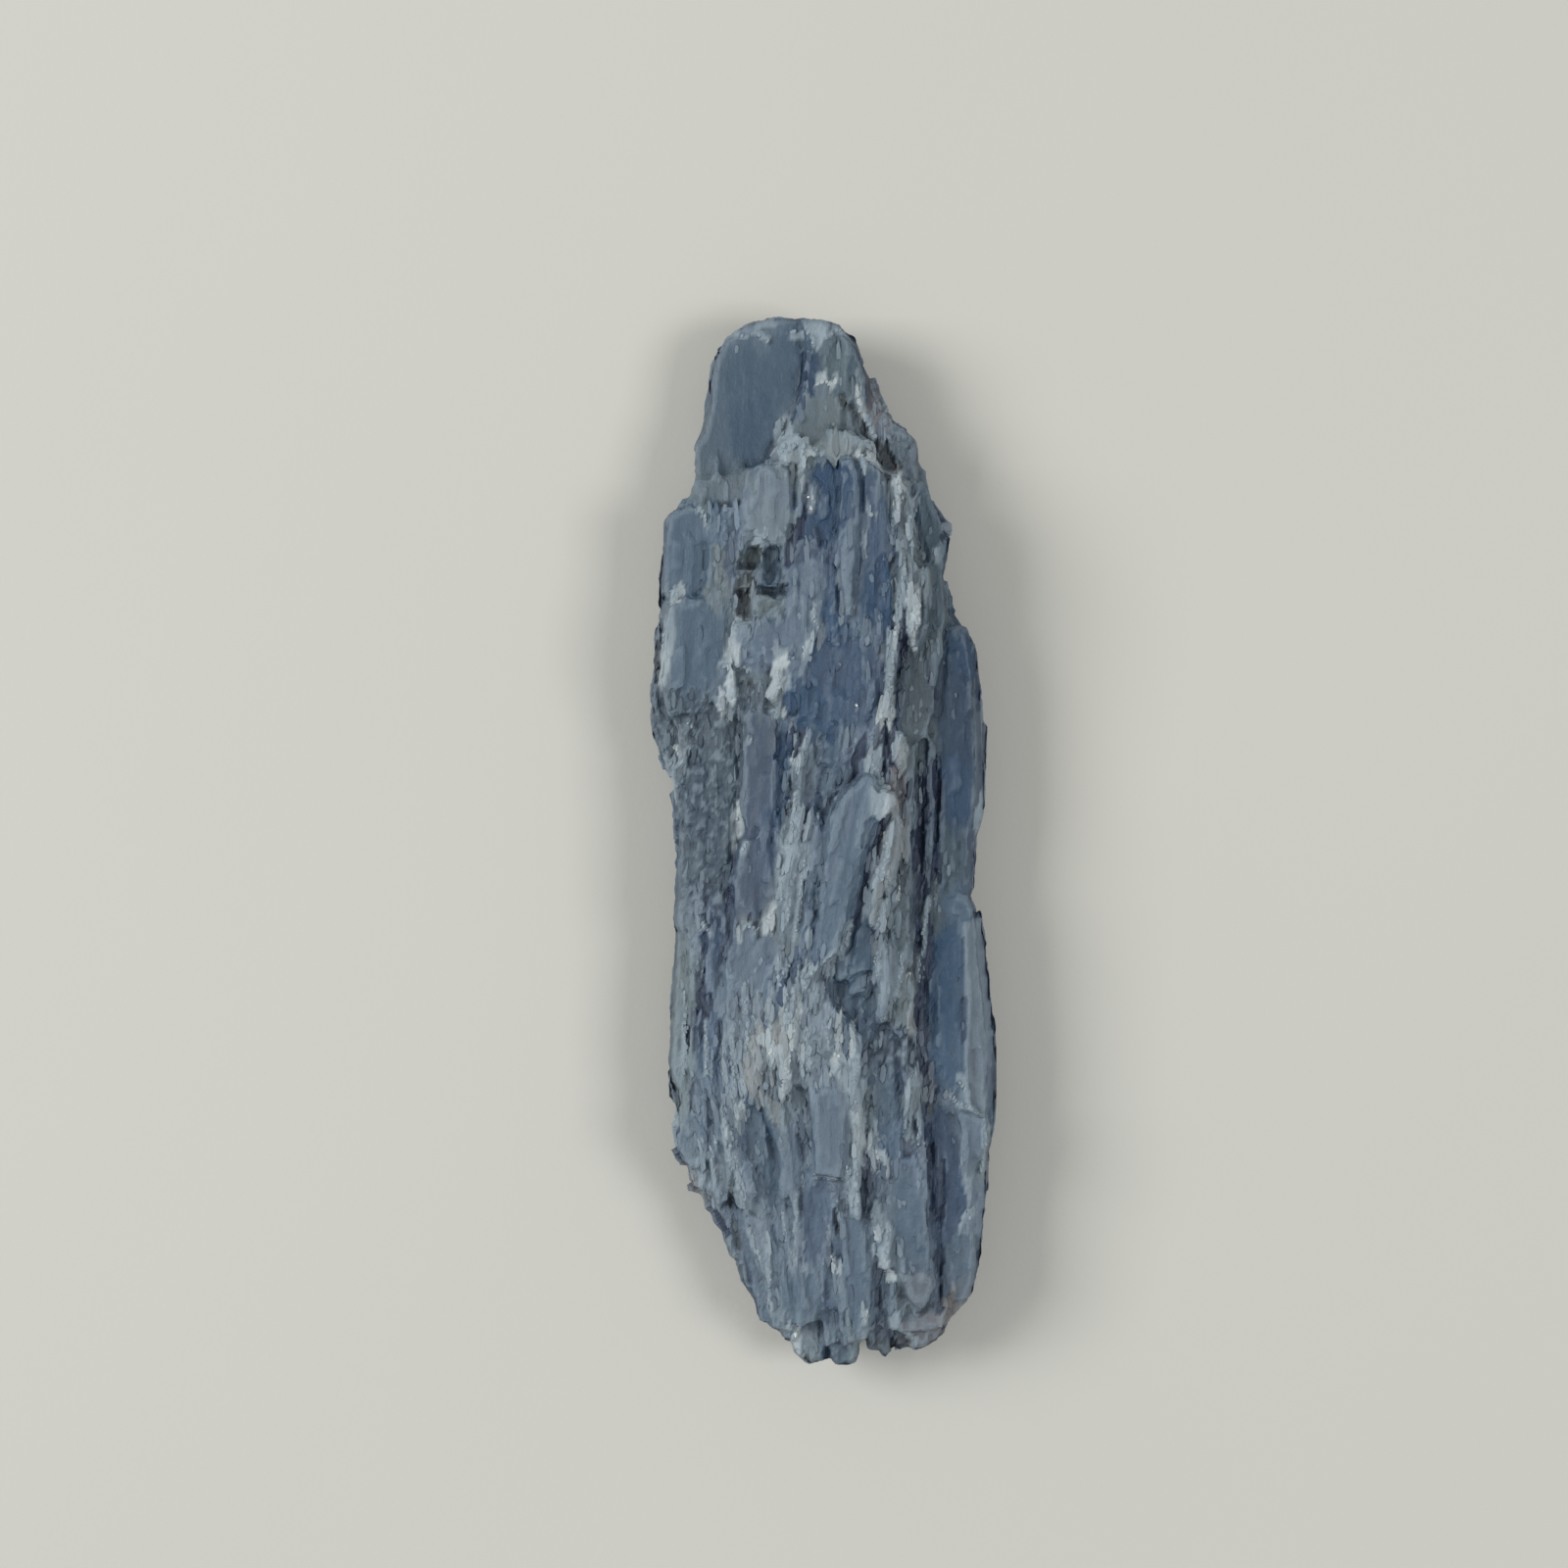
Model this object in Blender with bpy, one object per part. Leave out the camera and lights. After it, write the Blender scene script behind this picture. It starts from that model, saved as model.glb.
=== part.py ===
"""Kyanite blade cluster: a hand specimen of flat blue blades grown together side by side.

The blades run along Y, the specimen lies on its back on z = 0 and its best face looks up, +Z.
Everything is drawn in plan in millimetres, as a mineral draughtsman would: each blade is a
closed flat-faced prism with its own outline, height and lean. All of them overlap, as
intergrown crystals do, so a Boolean union fuses them into one solid.
"""

import random
from collections import namedtuple

import bmesh
import bpy
from mathutils import Matrix, Vector
from mathutils.geometry import intersect_line_line_2d

MM = 0.001

# Driving dimensions of the real specimen, in millimetres. The plan below is drawn at this
# size, and the finished solid is fitted to it.
WIDTH = 24.0
LENGTH = 72.0
THICKNESS = 9.3

# A blade's sides lean in by this much for each millimetre that they rise.
SIDE_DRAFT = 0.12
# Blades of the upper face reach down to this level, inside the mass.
ROOT_LEVEL = 4.1
# Keeps the point of a sharp corner from running off when its two sides move in.
SHARPEST_CORNER = 0.7
# An outline that folds when its sides move in is tried again with this share of the distance.
FOLD_RETREAT = 0.7
# Widest level of the specimen: below it the sides turn in towards the back.
BELT = 2.3
# The cleavage face that it rests on.
REST_LEVEL = 0.0
KYANITE_BLUE = (0.13, 0.18, 0.29, 1.0)

# top: height of the middle of the top face. lean: rise of that face per mm along X and Y.
# root: the level of its foot, where that isn't ROOT_LEVEL.
Blade = namedtuple("Blade", "name top lean outline root", defaults=(ROOT_LEVEL,))

# The silhouette's two long edges, as (y, x).
LEFT_EDGE = [
    (35.4, -5.0), (34.4, -6.5), (33.0, -7.2), (31.0, -7.7), (29.0, -7.8), (27.9, -8.1),
    (26.5, -8.8), (24.0, -8.7), (23.1, -9.2), (22.2, -10.6), (19.0, -10.8), (15.5, -11.1),
    (12.0, -11.7), (10.0, -11.9), (7.0, -11.7), (5.3, -10.9), (3.5, -10.5), (1.5, -10.0),
    (-2.5, -10.1), (-5.0, -9.7), (-10.0, -10.1), (-16.3, -10.4), (-18.5, -10.2),
    (-21.0, -10.3), (-24.0, -9.0), (-26.0, -7.4), (-29.0, -6.0), (-31.2, -4.7), (-33.0, -4.2),
    (-35.0, -1.9),
]
RIGHT_EDGE = [
    (35.4, 1.2), (34.2, 2.5), (32.0, 3.6), (29.5, 4.6), (28.3, 6.2), (27.0, 7.0), (24.8, 7.0),
    (23.4, 7.8), (21.6, 9.0), (19.0, 8.7), (15.3, 8.8), (14.7, 9.8), (13.2, 10.6), (8.0, 11.05),
    (4.0, 11.2), (1.3, 10.8), (-3.0, 10.3), (-5.0, 11.0), (-10.5, 11.6), (-16.5, 12.0),
    (-21.5, 11.5), (-27.0, 11.1), (-31.0, 10.7), (-32.8, 9.0), (-34.2, 8.2), (-35.0, 6.8),
]

# Long blades that fill the specimen's middle, and the lower ones that fill its two ends.
HEART = [
    Blade("heart_left", 5.3, (0.05, 0.0), [
        (-10.0, 21.4), (-8.6, 23.4), (-6.0, 23.6), (-5.6, 8.0), (-5.8, -22.0), (-7.3, -22.6),
        (-9.2, -20.0), (-9.6, -15.0), (-9.2, -5.0), (-9.4, 2.0), (-10.8, 8.0), (-10.4, 14.0),
    ], 1.1),
    Blade("heart_middle_left", 6.1, (0.02, 0.0), [
        (-6.8, 22.8), (-5.0, 24.6), (-1.0, 25.2), (-1.3, 12.0), (-0.8, 0.0), (-1.0, -20.0),
        (-1.3, -27.4), (-4.4, -24.0), (-6.2, -22.0), (-6.5, -9.0), (-6.4, 5.0),
    ], 0.8),
    Blade("heart_middle_right", 6.3, (-0.02, 0.0), [
        (-1.5, 25.3), (0.4, 25.5), (4.4, 24.4), (6.0, 22.0), (5.9, 10.0), (6.0, -5.0),
        (5.5, -20.0), (4.6, -27.6), (-0.8, -28.4), (-1.2, -20.0), (-1.3, 0.0),
    ], 0.9),
    Blade("heart_right", 4.6, (-0.05, 0.0), [
        (5.6, 24.6), (6.9, 24.2), (8.1, 21.2), (8.2, 14.4), (9.8, 13.2), (10.4, 8.6), (10.5, 4.0),
        (9.8, -1.2), (10.5, -6.4), (11.2, -14.0), (11.0, -22.0), (10.2, -29.4), (8.5, -31.2),
        (5.0, -30.0), (5.8, -15.0), (5.7, 0.0),
    ], 1.2),
    Blade("crown_core", 4.9, (-0.05, -0.03), [
        (-8.3, 22.4), (-8.3, 26.4), (-7.3, 29.4), (-7.2, 31.4), (-6.2, 33.9), (-3.2, 35.2),
        (1.0, 34.6), (2.9, 32.2), (4.1, 29.4), (6.1, 27.6), (6.4, 24.0), (0.0, 21.6),
    ], 1.3),
    Blade("foot_core", 4.2, (0.0, 0.02), [
        (-6.6, -22.0), (6.0, -24.0), (9.6, -28.0), (9.0, -31.6), (7.6, -33.6), (5.4, -33.6),
        (3.0, -34.4), (-0.6, -35.0), (-1.8, -33.4), (-3.8, -32.2), (-5.0, -29.8),
    ], 1.5),
]

# The face that looks up, from the crown down to the broken lower end.
CROWN = [
    Blade("crown_slab", 5.5, (-0.05, -0.05), [
        (-8.9, 25.6), (-8.8, 26.8), (-8.1, 27.9), (-7.8, 29.4), (-7.7, 31.2), (-7.3, 33.0),
        (-6.5, 34.4), (-5.2, 35.3), (-3.0, 35.9), (-1.0, 35.7), (-0.4, 34.0), (-0.7, 32.0),
        (-1.1, 30.0), (-2.0, 28.2), (-3.0, 27.0), (-3.7, 25.4), (-4.4, 24.2), (-8.7, 24.0),
    ], 3.2),
    Blade("crown_right", 5.9, (-0.09, -0.05), [
        (-1.7, 35.8), (1.2, 35.4), (1.9, 34.8), (2.9, 33.8), (3.5, 32.2), (4.1, 31.4),
        (4.4, 30.2), (4.9, 29.2), (3.6, 28.0), (0.4, 28.0), (-2.6, 26.6), (-1.7, 30.2),
        (-1.3, 33.0),
    ], 3.6),
    Blade("crown_spine", 6.1, (-0.12, 0.0), [
        (1.3, 34.6), (2.5, 33.8), (3.2, 31.6), (3.3, 29.4), (2.4, 28.6), (1.3, 30.2),
    ], 4.7),
    Blade("shoulder_right", 5.6, (-0.12, 0.06), [
        (4.5, 29.6), (5.3, 29.0), (6.2, 28.4), (6.8, 27.6), (7.05, 26.9), (6.9, 25.6),
        (6.9, 24.2), (5.2, 24.4), (4.0, 26.2), (3.2, 27.6), (3.3, 28.6),
    ], 3.5),
    Blade("ledge_flake", 7.0, (0.06, 0.12), [
        (0.2, 28.0), (1.8, 27.8), (3.6, 26.9), (3.9, 26.0), (1.9, 25.4), (0.2, 25.4), (0.1, 27.0),
    ]),
    Blade("ledge_fringe", 6.7, (0.05, 0.12), [
        (-3.5, 26.0), (-2.5, 27.1), (-1.5, 27.4), (-0.6, 26.8), (0.3, 26.6), (0.0, 25.2),
        (-3.4, 25.0),
    ]),
]

UPPER = [
    Blade("grey_tile", 7.6, (0.03, 0.02), [
        (-5.6, 22.6), (-5.2, 25.2), (-4.0, 25.7), (-1.9, 25.4), (-1.7, 22.0), (-2.1, 20.4),
        (-3.0, 20.0), (-5.5, 20.6),
    ]),
    Blade("green_shoulder", 6.3, (0.05, -0.08), [
        (-8.8, 24.9), (-6.2, 25.1), (-5.0, 25.5), (-4.9, 22.6), (-6.4, 22.2), (-8.0, 22.2),
        (-8.9, 23.2),
    ], 3.3),
    Blade("left_shoulder", 6.6, (-0.08, 0.03), [
        (-10.8, 19.8), (-10.65, 22.1), (-9.9, 22.75), (-8.8, 23.25), (-7.9, 22.8), (-7.4, 21.4),
        (-7.4, 18.6), (-7.6, 16.8), (-11.0, 16.6),
    ], 3.7),
    Blade("pit_band", 7.15, (0.05, 0.0), [
        (-7.7, 22.8), (-5.4, 22.8), (-5.3, 20.2), (-5.6, 18.0), (-5.8, 15.0), (-7.7, 15.2),
        (-7.9, 17.2), (-7.6, 19.0),
    ]),
    Blade("pit_floor_blade", 7.3, (0.02, 0.02), [
        (-5.8, 21.0), (-2.0, 20.8), (-1.2, 20.0), (-0.6, 18.4), (-1.8, 15.2), (-6.0, 14.6),
    ]),
    Blade("window", 7.35, (-0.04, 0.0), [
        (-1.5, 25.9), (0.9, 26.0), (1.3, 24.0), (1.1, 21.4), (0.6, 19.4), (-0.6, 18.8),
        (-1.7, 19.8), (-1.7, 23.0),
    ]),
    Blade("lavender_a", 8.25, (-0.05, 0.0), [
        (1.0, 25.9), (2.3, 26.2), (2.8, 25.0), (2.8, 21.4), (2.5, 17.0), (2.1, 14.6), (1.2, 15.8),
        (0.8, 19.4), (1.15, 22.0),
    ]),
    Blade("lavender_b", 8.0, (0.04, -0.02), [
        (2.4, 26.2), (3.6, 25.6), (4.6, 24.6), (4.8, 22.0), (3.4, 19.6), (2.7, 21.0),
        (2.6, 24.6),
    ]),
    Blade("slate_step", 7.8, (-0.06, 0.0), [
        (2.6, 22.2), (4.9, 22.4), (5.2, 19.0), (5.0, 15.0), (4.3, 12.0), (2.9, 11.4), (2.3, 14.4),
        (2.5, 18.0),
    ]),
    Blade("pale_band_upper", 8.4, (-0.08, 0.0), [
        (4.5, 24.8), (5.6, 24.7), (6.2, 23.0), (6.5, 20.4), (6.4, 17.4), (5.7, 15.8), (5.0, 17.4),
        (4.8, 21.0),
    ]),
    Blade("pale_band_lower", 8.1, (-0.10, 0.0), [
        (5.6, 18.0), (7.4, 19.0), (7.7, 16.2), (7.2, 13.8), (6.4, 12.1), (5.8, 12.9), (5.4, 15.2),
    ]),
    Blade("right_rim_upper", 6.8, (-0.16, 0.0), [
        (5.8, 25.0), (7.2, 24.6), (7.9, 23.2), (9.05, 21.6), (8.9, 19.8), (8.7, 17.6),
        (8.9, 14.8), (8.0, 13.0), (7.0, 15.0), (6.8, 19.6), (6.0, 22.0),
    ], 3.9),
]

MIDDLE = [
    Blade("steel_left", 7.2, (-0.07, 0.02), [
        (-10.4, 15.8), (-9.0, 16.7), (-7.6, 16.4), (-5.8, 15.3), (-6.2, 13.2), (-5.8, 11.6),
        (-6.8, 9.4), (-8.5, 8.4), (-10.3, 8.2), (-10.8, 10.8), (-10.6, 13.2),
    ]),
    Blade("left_bulge", 5.9, (-0.20, 0.03), [
        (-11.1, 15.8), (-10.4, 17.2), (-9.6, 16.0), (-9.4, 8.0), (-8.6, 5.6), (-10.2, 5.0),
        (-11.2, 5.8), (-11.7, 7.0), (-11.95, 9.6), (-11.7, 12.2),
    ], 3.6),
    Blade("plum_plate", 7.75, (0.02, 0.01), [
        (-5.9, 15.0), (-4.6, 14.9), (-3.0, 16.2), (-1.8, 16.4), (-0.9, 18.9), (0.2, 19.2),
        (0.4, 16.5), (0.0, 13.4), (-1.3, 12.0), (-3.2, 11.6), (-6.0, 11.3), (-6.2, 13.4),
    ]),
    Blade("deep_centre", 7.55, (-0.03, 0.0), [
        (0.0, 19.8), (1.2, 19.4), (1.5, 16.0), (2.5, 14.6), (2.8, 11.6), (3.5, 10.6), (2.8, 8.6),
        (0.2, 7.4), (-2.4, 8.2), (-2.5, 10.6), (-1.0, 12.2), (-0.2, 13.8),
    ]),
    Blade("step_right_of_centre", 8.0, (-0.05, 0.02), [
        (2.4, 15.6), (3.2, 16.2), (4.9, 15.0), (4.8, 12.0), (4.3, 8.4), (3.3, 8.0), (2.6, 10.5),
    ]),
    Blade("white_streak", 8.75, (0.10, 0.0), [
        (4.6, 14.0), (5.35, 14.4), (5.3, 12.2), (5.0, 10.0), (4.7, 8.8), (4.0, 8.0), (4.0, 9.2),
        (4.3, 11.4),
    ]),
    Blade("olive_plate", 7.2, (-0.12, 0.0), [
        (5.2, 14.0), (6.4, 12.9), (7.2, 14.8), (8.4, 14.2), (7.8, 9.6), (7.3, 6.8), (6.4, 4.8),
        (5.4, 3.8), (4.8, 7.8), (4.9, 10.2),
    ]),
    Blade("pale_chip", 8.2, (0.06, 0.0), [
        (4.9, 7.6), (5.6, 7.3), (5.7, 5.8), (5.4, 4.5), (4.8, 4.8),
    ]),
    Blade("brown_patch", 7.1, (0.0, 0.03), [
        (-7.2, 9.2), (-6.1, 11.7), (-4.4, 11.8), (-3.2, 9.9), (-3.8, 8.2), (-5.8, 8.2),
    ]),
    Blade("fringe_above_brown", 7.9, (0.02, 0.06), [
        (-3.4, 12.2), (-1.6, 12.7), (-1.2, 13.4), (-1.0, 12.0), (-2.2, 10.6), (-3.0, 8.8),
        (-4.0, 9.6), (-3.4, 10.8),
    ]),
    Blade("left_field", 6.95, (0.06, 0.0), [
        (-10.5, 4.8), (-9.4, 5.8), (-8.4, 8.4), (-6.9, 9.5), (-5.2, 9.0), (-5.2, 6.0),
        (-5.5, 2.0), (-5.7, -1.5), (-5.8, -4.4), (-7.6, -5.4), (-9.8, -4.8), (-10.05, 0.0),
        (-10.2, 2.6),
    ], 4.0),
    Blade("mauve_plate", 7.6, (0.03, 0.0), [
        (-5.5, 8.9), (-2.9, 8.8), (-2.5, 6.0), (-2.8, 3.0), (-3.1, 0.4), (-5.0, -0.2),
        (-5.6, 2.4), (-5.4, 6.0),
    ]),
    Blade("indigo_streak", 7.4, (0.10, 0.0), [
        (-2.9, 8.6), (-1.2, 7.6), (-1.4, 5.8), (-2.0, 4.6), (-2.3, 1.6), (-2.9, -1.0),
        (-3.8, -0.4), (-3.2, 3.2), (-2.8, 6.0),
    ]),
    Blade("centre_blotch", 7.8, (0.0, -0.02), [
        (-1.5, 7.8), (0.6, 8.5), (2.6, 9.4), (4.3, 8.6), (4.5, 6.0), (4.0, 3.6), (1.4, 3.2),
        (0.2, 2.4), (-1.0, 3.8), (-1.5, 6.0),
    ]),
    Blade("pale_fibre", 8.25, (-0.10, 0.02), [
        (-1.5, 6.8), (-0.8, 6.0), (-0.9, 3.0), (-1.1, 0.8), (-1.6, -1.5), (-2.1, -4.0),
        (-3.0, -6.6), (-3.1, -3.4), (-2.5, -0.4), (-2.3, 1.8), (-2.0, 4.6),
    ]),
    Blade("lens_blade", 9.0, (0.05, 0.02), [
        (3.0, 5.1), (4.0, 4.5), (4.1, 2.5), (3.9, 0.9), (3.3, -0.6), (2.7, -3.0), (2.1, -5.5),
        (1.5, -7.8), (0.8, -8.2), (-0.1, -9.2), (-1.6, -9.7), (-0.9, -8.0), (-0.5, -5.0),
        (0.0, -1.0), (0.2, 1.8), (1.4, 3.6),
    ]),
    Blade("fibre_beside_lens", 8.35, (0.08, 0.0), [
        (-0.5, 2.2), (0.3, 2.4), (0.4, -1.0), (-0.1, -5.0), (-0.6, -8.4), (-1.6, -9.6),
        (-1.5, -6.0), (-1.0, -2.0),
    ]),
    Blade("violet_gutter", 7.7, (0.0, 0.0), [
        (-2.0, 2.2), (-0.4, 2.6), (-0.8, -2.0), (-1.0, -6.0), (-1.6, -9.0), (-2.5, -8.6),
        (-2.2, -5.0), (-1.7, -1.4),
    ]),
    Blade("white_knob", 9.2, (0.06, 0.06), [
        (3.5, 3.4), (4.3, 3.7), (5.3, 3.3), (5.4, 2.3), (4.2, 1.1), (3.5, 0.9), (3.6, 2.2),
    ]),
    Blade("pale_blade_right", 8.6, (0.08, 0.0), [
        (4.3, 2.2), (5.2, 2.6), (5.9, 1.2), (5.6, -1.0), (5.1, -2.9), (4.4, -3.6), (4.0, -5.4),
        (3.2, -6.3), (2.8, -5.2), (3.2, -3.0), (3.6, -1.0), (4.0, 0.6),
    ]),
    Blade("olive_strip", 7.75, (-0.10, 0.0), [
        (5.4, 6.8), (6.6, 6.6), (6.5, 3.0), (6.3, -0.5), (6.4, -4.6), (5.8, -6.4), (4.6, -4.4),
        (5.2, -1.2), (5.6, 1.4), (5.4, 4.0),
    ]),
    Blade("septum", 6.7, (0.0, 0.0), [
        (7.0, 7.2), (7.8, 7.0), (7.75, -1.0), (7.5, -4.4), (7.2, -8.0), (6.9, -10.5), (6.6, -9.0),
        (6.8, -5.0), (7.0, -1.0),
    ]),
    Blade("outer_right_upper", 6.0, (-0.06, 0.0), [
        (7.4, 14.2), (9.1, 14.9), (9.8, 14.3), (10.1, 13.4), (10.3, 12.4), (10.6, 9.8),
        (10.8, 5.0), (10.7, 2.4), (10.3, 0.4), (10.1, -3.0), (9.2, -4.4), (7.6, -5.4),
        (7.8, 0.0), (7.9, 5.0), (7.2, 8.0), (7.3, 11.0),
    ], 4.4),
    Blade("outer_right_rim", 5.5, (-0.30, 0.0), [
        (8.9, 15.1), (10.0, 14.8), (10.75, 13.3), (11.1, 10.0), (11.3, 5.0), (11.25, 2.0),
        (10.8, 0.2), (10.5, -3.6), (9.4, -4.0), (9.0, 2.0), (9.3, 8.0),
    ], 4.0),
]

LOWER = [
    Blade("green_column", 6.3, (-0.05, 0.0), [
        (-9.8, -4.4), (-8.8, -4.2), (-8.7, -10.0), (-8.8, -14.0), (-8.7, -19.2), (-9.8, -20.0),
        (-10.2, -18.0), (-10.4, -16.0), (-10.2, -12.0), (-10.0, -8.5),
    ], 4.0),
    Blade("blue_column", 6.9, (0.06, 0.0), [
        (-9.0, -6.8), (-7.7, -8.2), (-7.6, -12.0), (-7.1, -17.0), (-7.3, -21.5), (-7.9, -22.6),
        (-9.4, -22.4), (-10.3, -21.1), (-10.4, -19.6), (-9.0, -18.4), (-8.9, -14.0),
    ], 4.2),
    Blade("lilac_tip", 6.95, (-0.04, -0.04), [
        (-9.7, -3.8), (-8.0, -2.8), (-7.5, -5.0), (-7.8, -7.4), (-8.9, -6.9), (-9.8, -5.6),
    ]),
    Blade("slate_column", 7.25, (-0.04, 0.0), [
        (-8.0, -5.6), (-6.0, -5.4), (-6.0, -9.5), (-6.7, -13.0), (-6.6, -17.5), (-6.7, -21.6),
        (-7.4, -20.8), (-7.3, -16.0), (-7.8, -11.5), (-7.6, -8.0),
    ]),
    Blade("pale_column", 7.8, (0.06, 0.0), [
        (-6.4, -8.2), (-5.8, -10.0), (-5.2, -11.6), (-5.0, -15.0), (-5.1, -18.0), (-5.5, -21.5),
        (-6.2, -23.8), (-6.5, -21.0), (-6.9, -17.0), (-6.6, -13.0),
    ]),
    Blade("indigo_plate", 8.0, (0.03, 0.04), [
        (-5.3, 0.4), (-3.2, 0.4), (-2.9, -2.5), (-3.1, -4.3), (-4.7, -5.5), (-6.1, -4.9),
        (-6.1, -2.2),
    ]),
    Blade("ash_plate", 7.8, (-0.03, -0.02), [
        (-6.2, -4.8), (-4.6, -5.0), (-2.8, -4.4), (-2.4, -7.5), (-3.0, -9.5), (-3.8, -12.0),
        (-5.0, -12.8), (-5.9, -11.0), (-6.3, -8.5),
    ]),
    Blade("fine_rib_a", 7.9, (0.08, 0.0), [
        (-5.0, -11.8), (-4.2, -11.2), (-3.9, -15.0), (-4.2, -18.2), (-5.1, -18.0), (-5.2, -15.0),
    ]),
    Blade("frayed_white_left", 8.5, (0.07, 0.0), [
        (-4.0, -7.8), (-2.2, -7.8), (-1.5, -9.4), (-1.1, -13.0), (-1.7, -16.8), (-2.8, -17.7),
        (-3.7, -15.2), (-4.2, -11.0),
    ]),
    Blade("frayed_white_right", 8.35, (-0.04, 0.0), [
        (-1.7, -9.2), (0.0, -9.8), (2.2, -12.0), (2.9, -13.2), (3.0, -15.6), (1.5, -16.8),
        (-0.6, -16.2), (-1.6, -12.6),
    ]),
    Blade("dark_plate", 7.5, (0.02, -0.02), [
        (-0.2, -8.6), (1.8, -7.0), (3.4, -7.8), (3.8, -10.5), (3.9, -12.4), (3.0, -13.8),
        (1.8, -12.4), (0.2, -10.6),
    ]),
    Blade("teal_gap", 7.2, (0.0, 0.0), [
        (1.7, -4.4), (3.4, -5.6), (3.8, -7.6), (3.2, -8.6), (1.3, -8.0),
    ]),
    Blade("pale_blade_lower", 8.5, (0.07, 0.0), [
        (3.4, -6.9), (4.6, -6.0), (5.1, -8.5), (5.3, -10.0), (4.7, -11.8), (3.8, -12.8),
        (3.7, -10.6), (3.2, -9.2),
    ]),
    Blade("brown_blade", 7.75, (-0.08, 0.0), [
        (4.8, -4.4), (6.3, -4.4), (6.5, -7.5), (6.7, -10.0), (6.3, -12.8), (4.9, -13.6),
        (4.6, -10.4), (4.6, -7.6),
    ]),
    Blade("rough_field", 7.0, (-0.04, 0.0), [
        (2.8, -13.0), (4.4, -12.4), (6.9, -12.6), (7.1, -17.6), (5.2, -16.6), (3.0, -15.6),
    ]),
    Blade("outer_right_lower", 6.3, (0.03, 0.0), [
        (7.4, -5.2), (9.0, -3.9), (10.2, -4.4), (10.2, -11.0), (10.0, -17.0), (9.4, -18.8),
        (8.0, -18.0), (7.2, -16.8), (7.3, -10.0),
    ]),
    Blade("outer_right_strip", 6.0, (-0.14, 0.0), [
        (9.0, -3.1), (10.2, -3.5), (10.6, -5.4), (11.2, -10.7), (11.5, -14.2), (11.6, -17.9),
        (11.0, -19.2), (9.9, -17.4), (9.8, -10.0), (9.5, -5.8), (8.6, -4.6),
    ], 4.4),
    Blade("outer_right_skirt", 5.0, (-0.25, 0.0), [
        (10.9, -4.4), (11.65, -10.4), (12.05, -14.2), (12.1, -18.5), (11.75, -20.6),
        (10.4, -20.2), (10.0, -12.0), (9.9, -6.0),
    ], 3.7),
]

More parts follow.
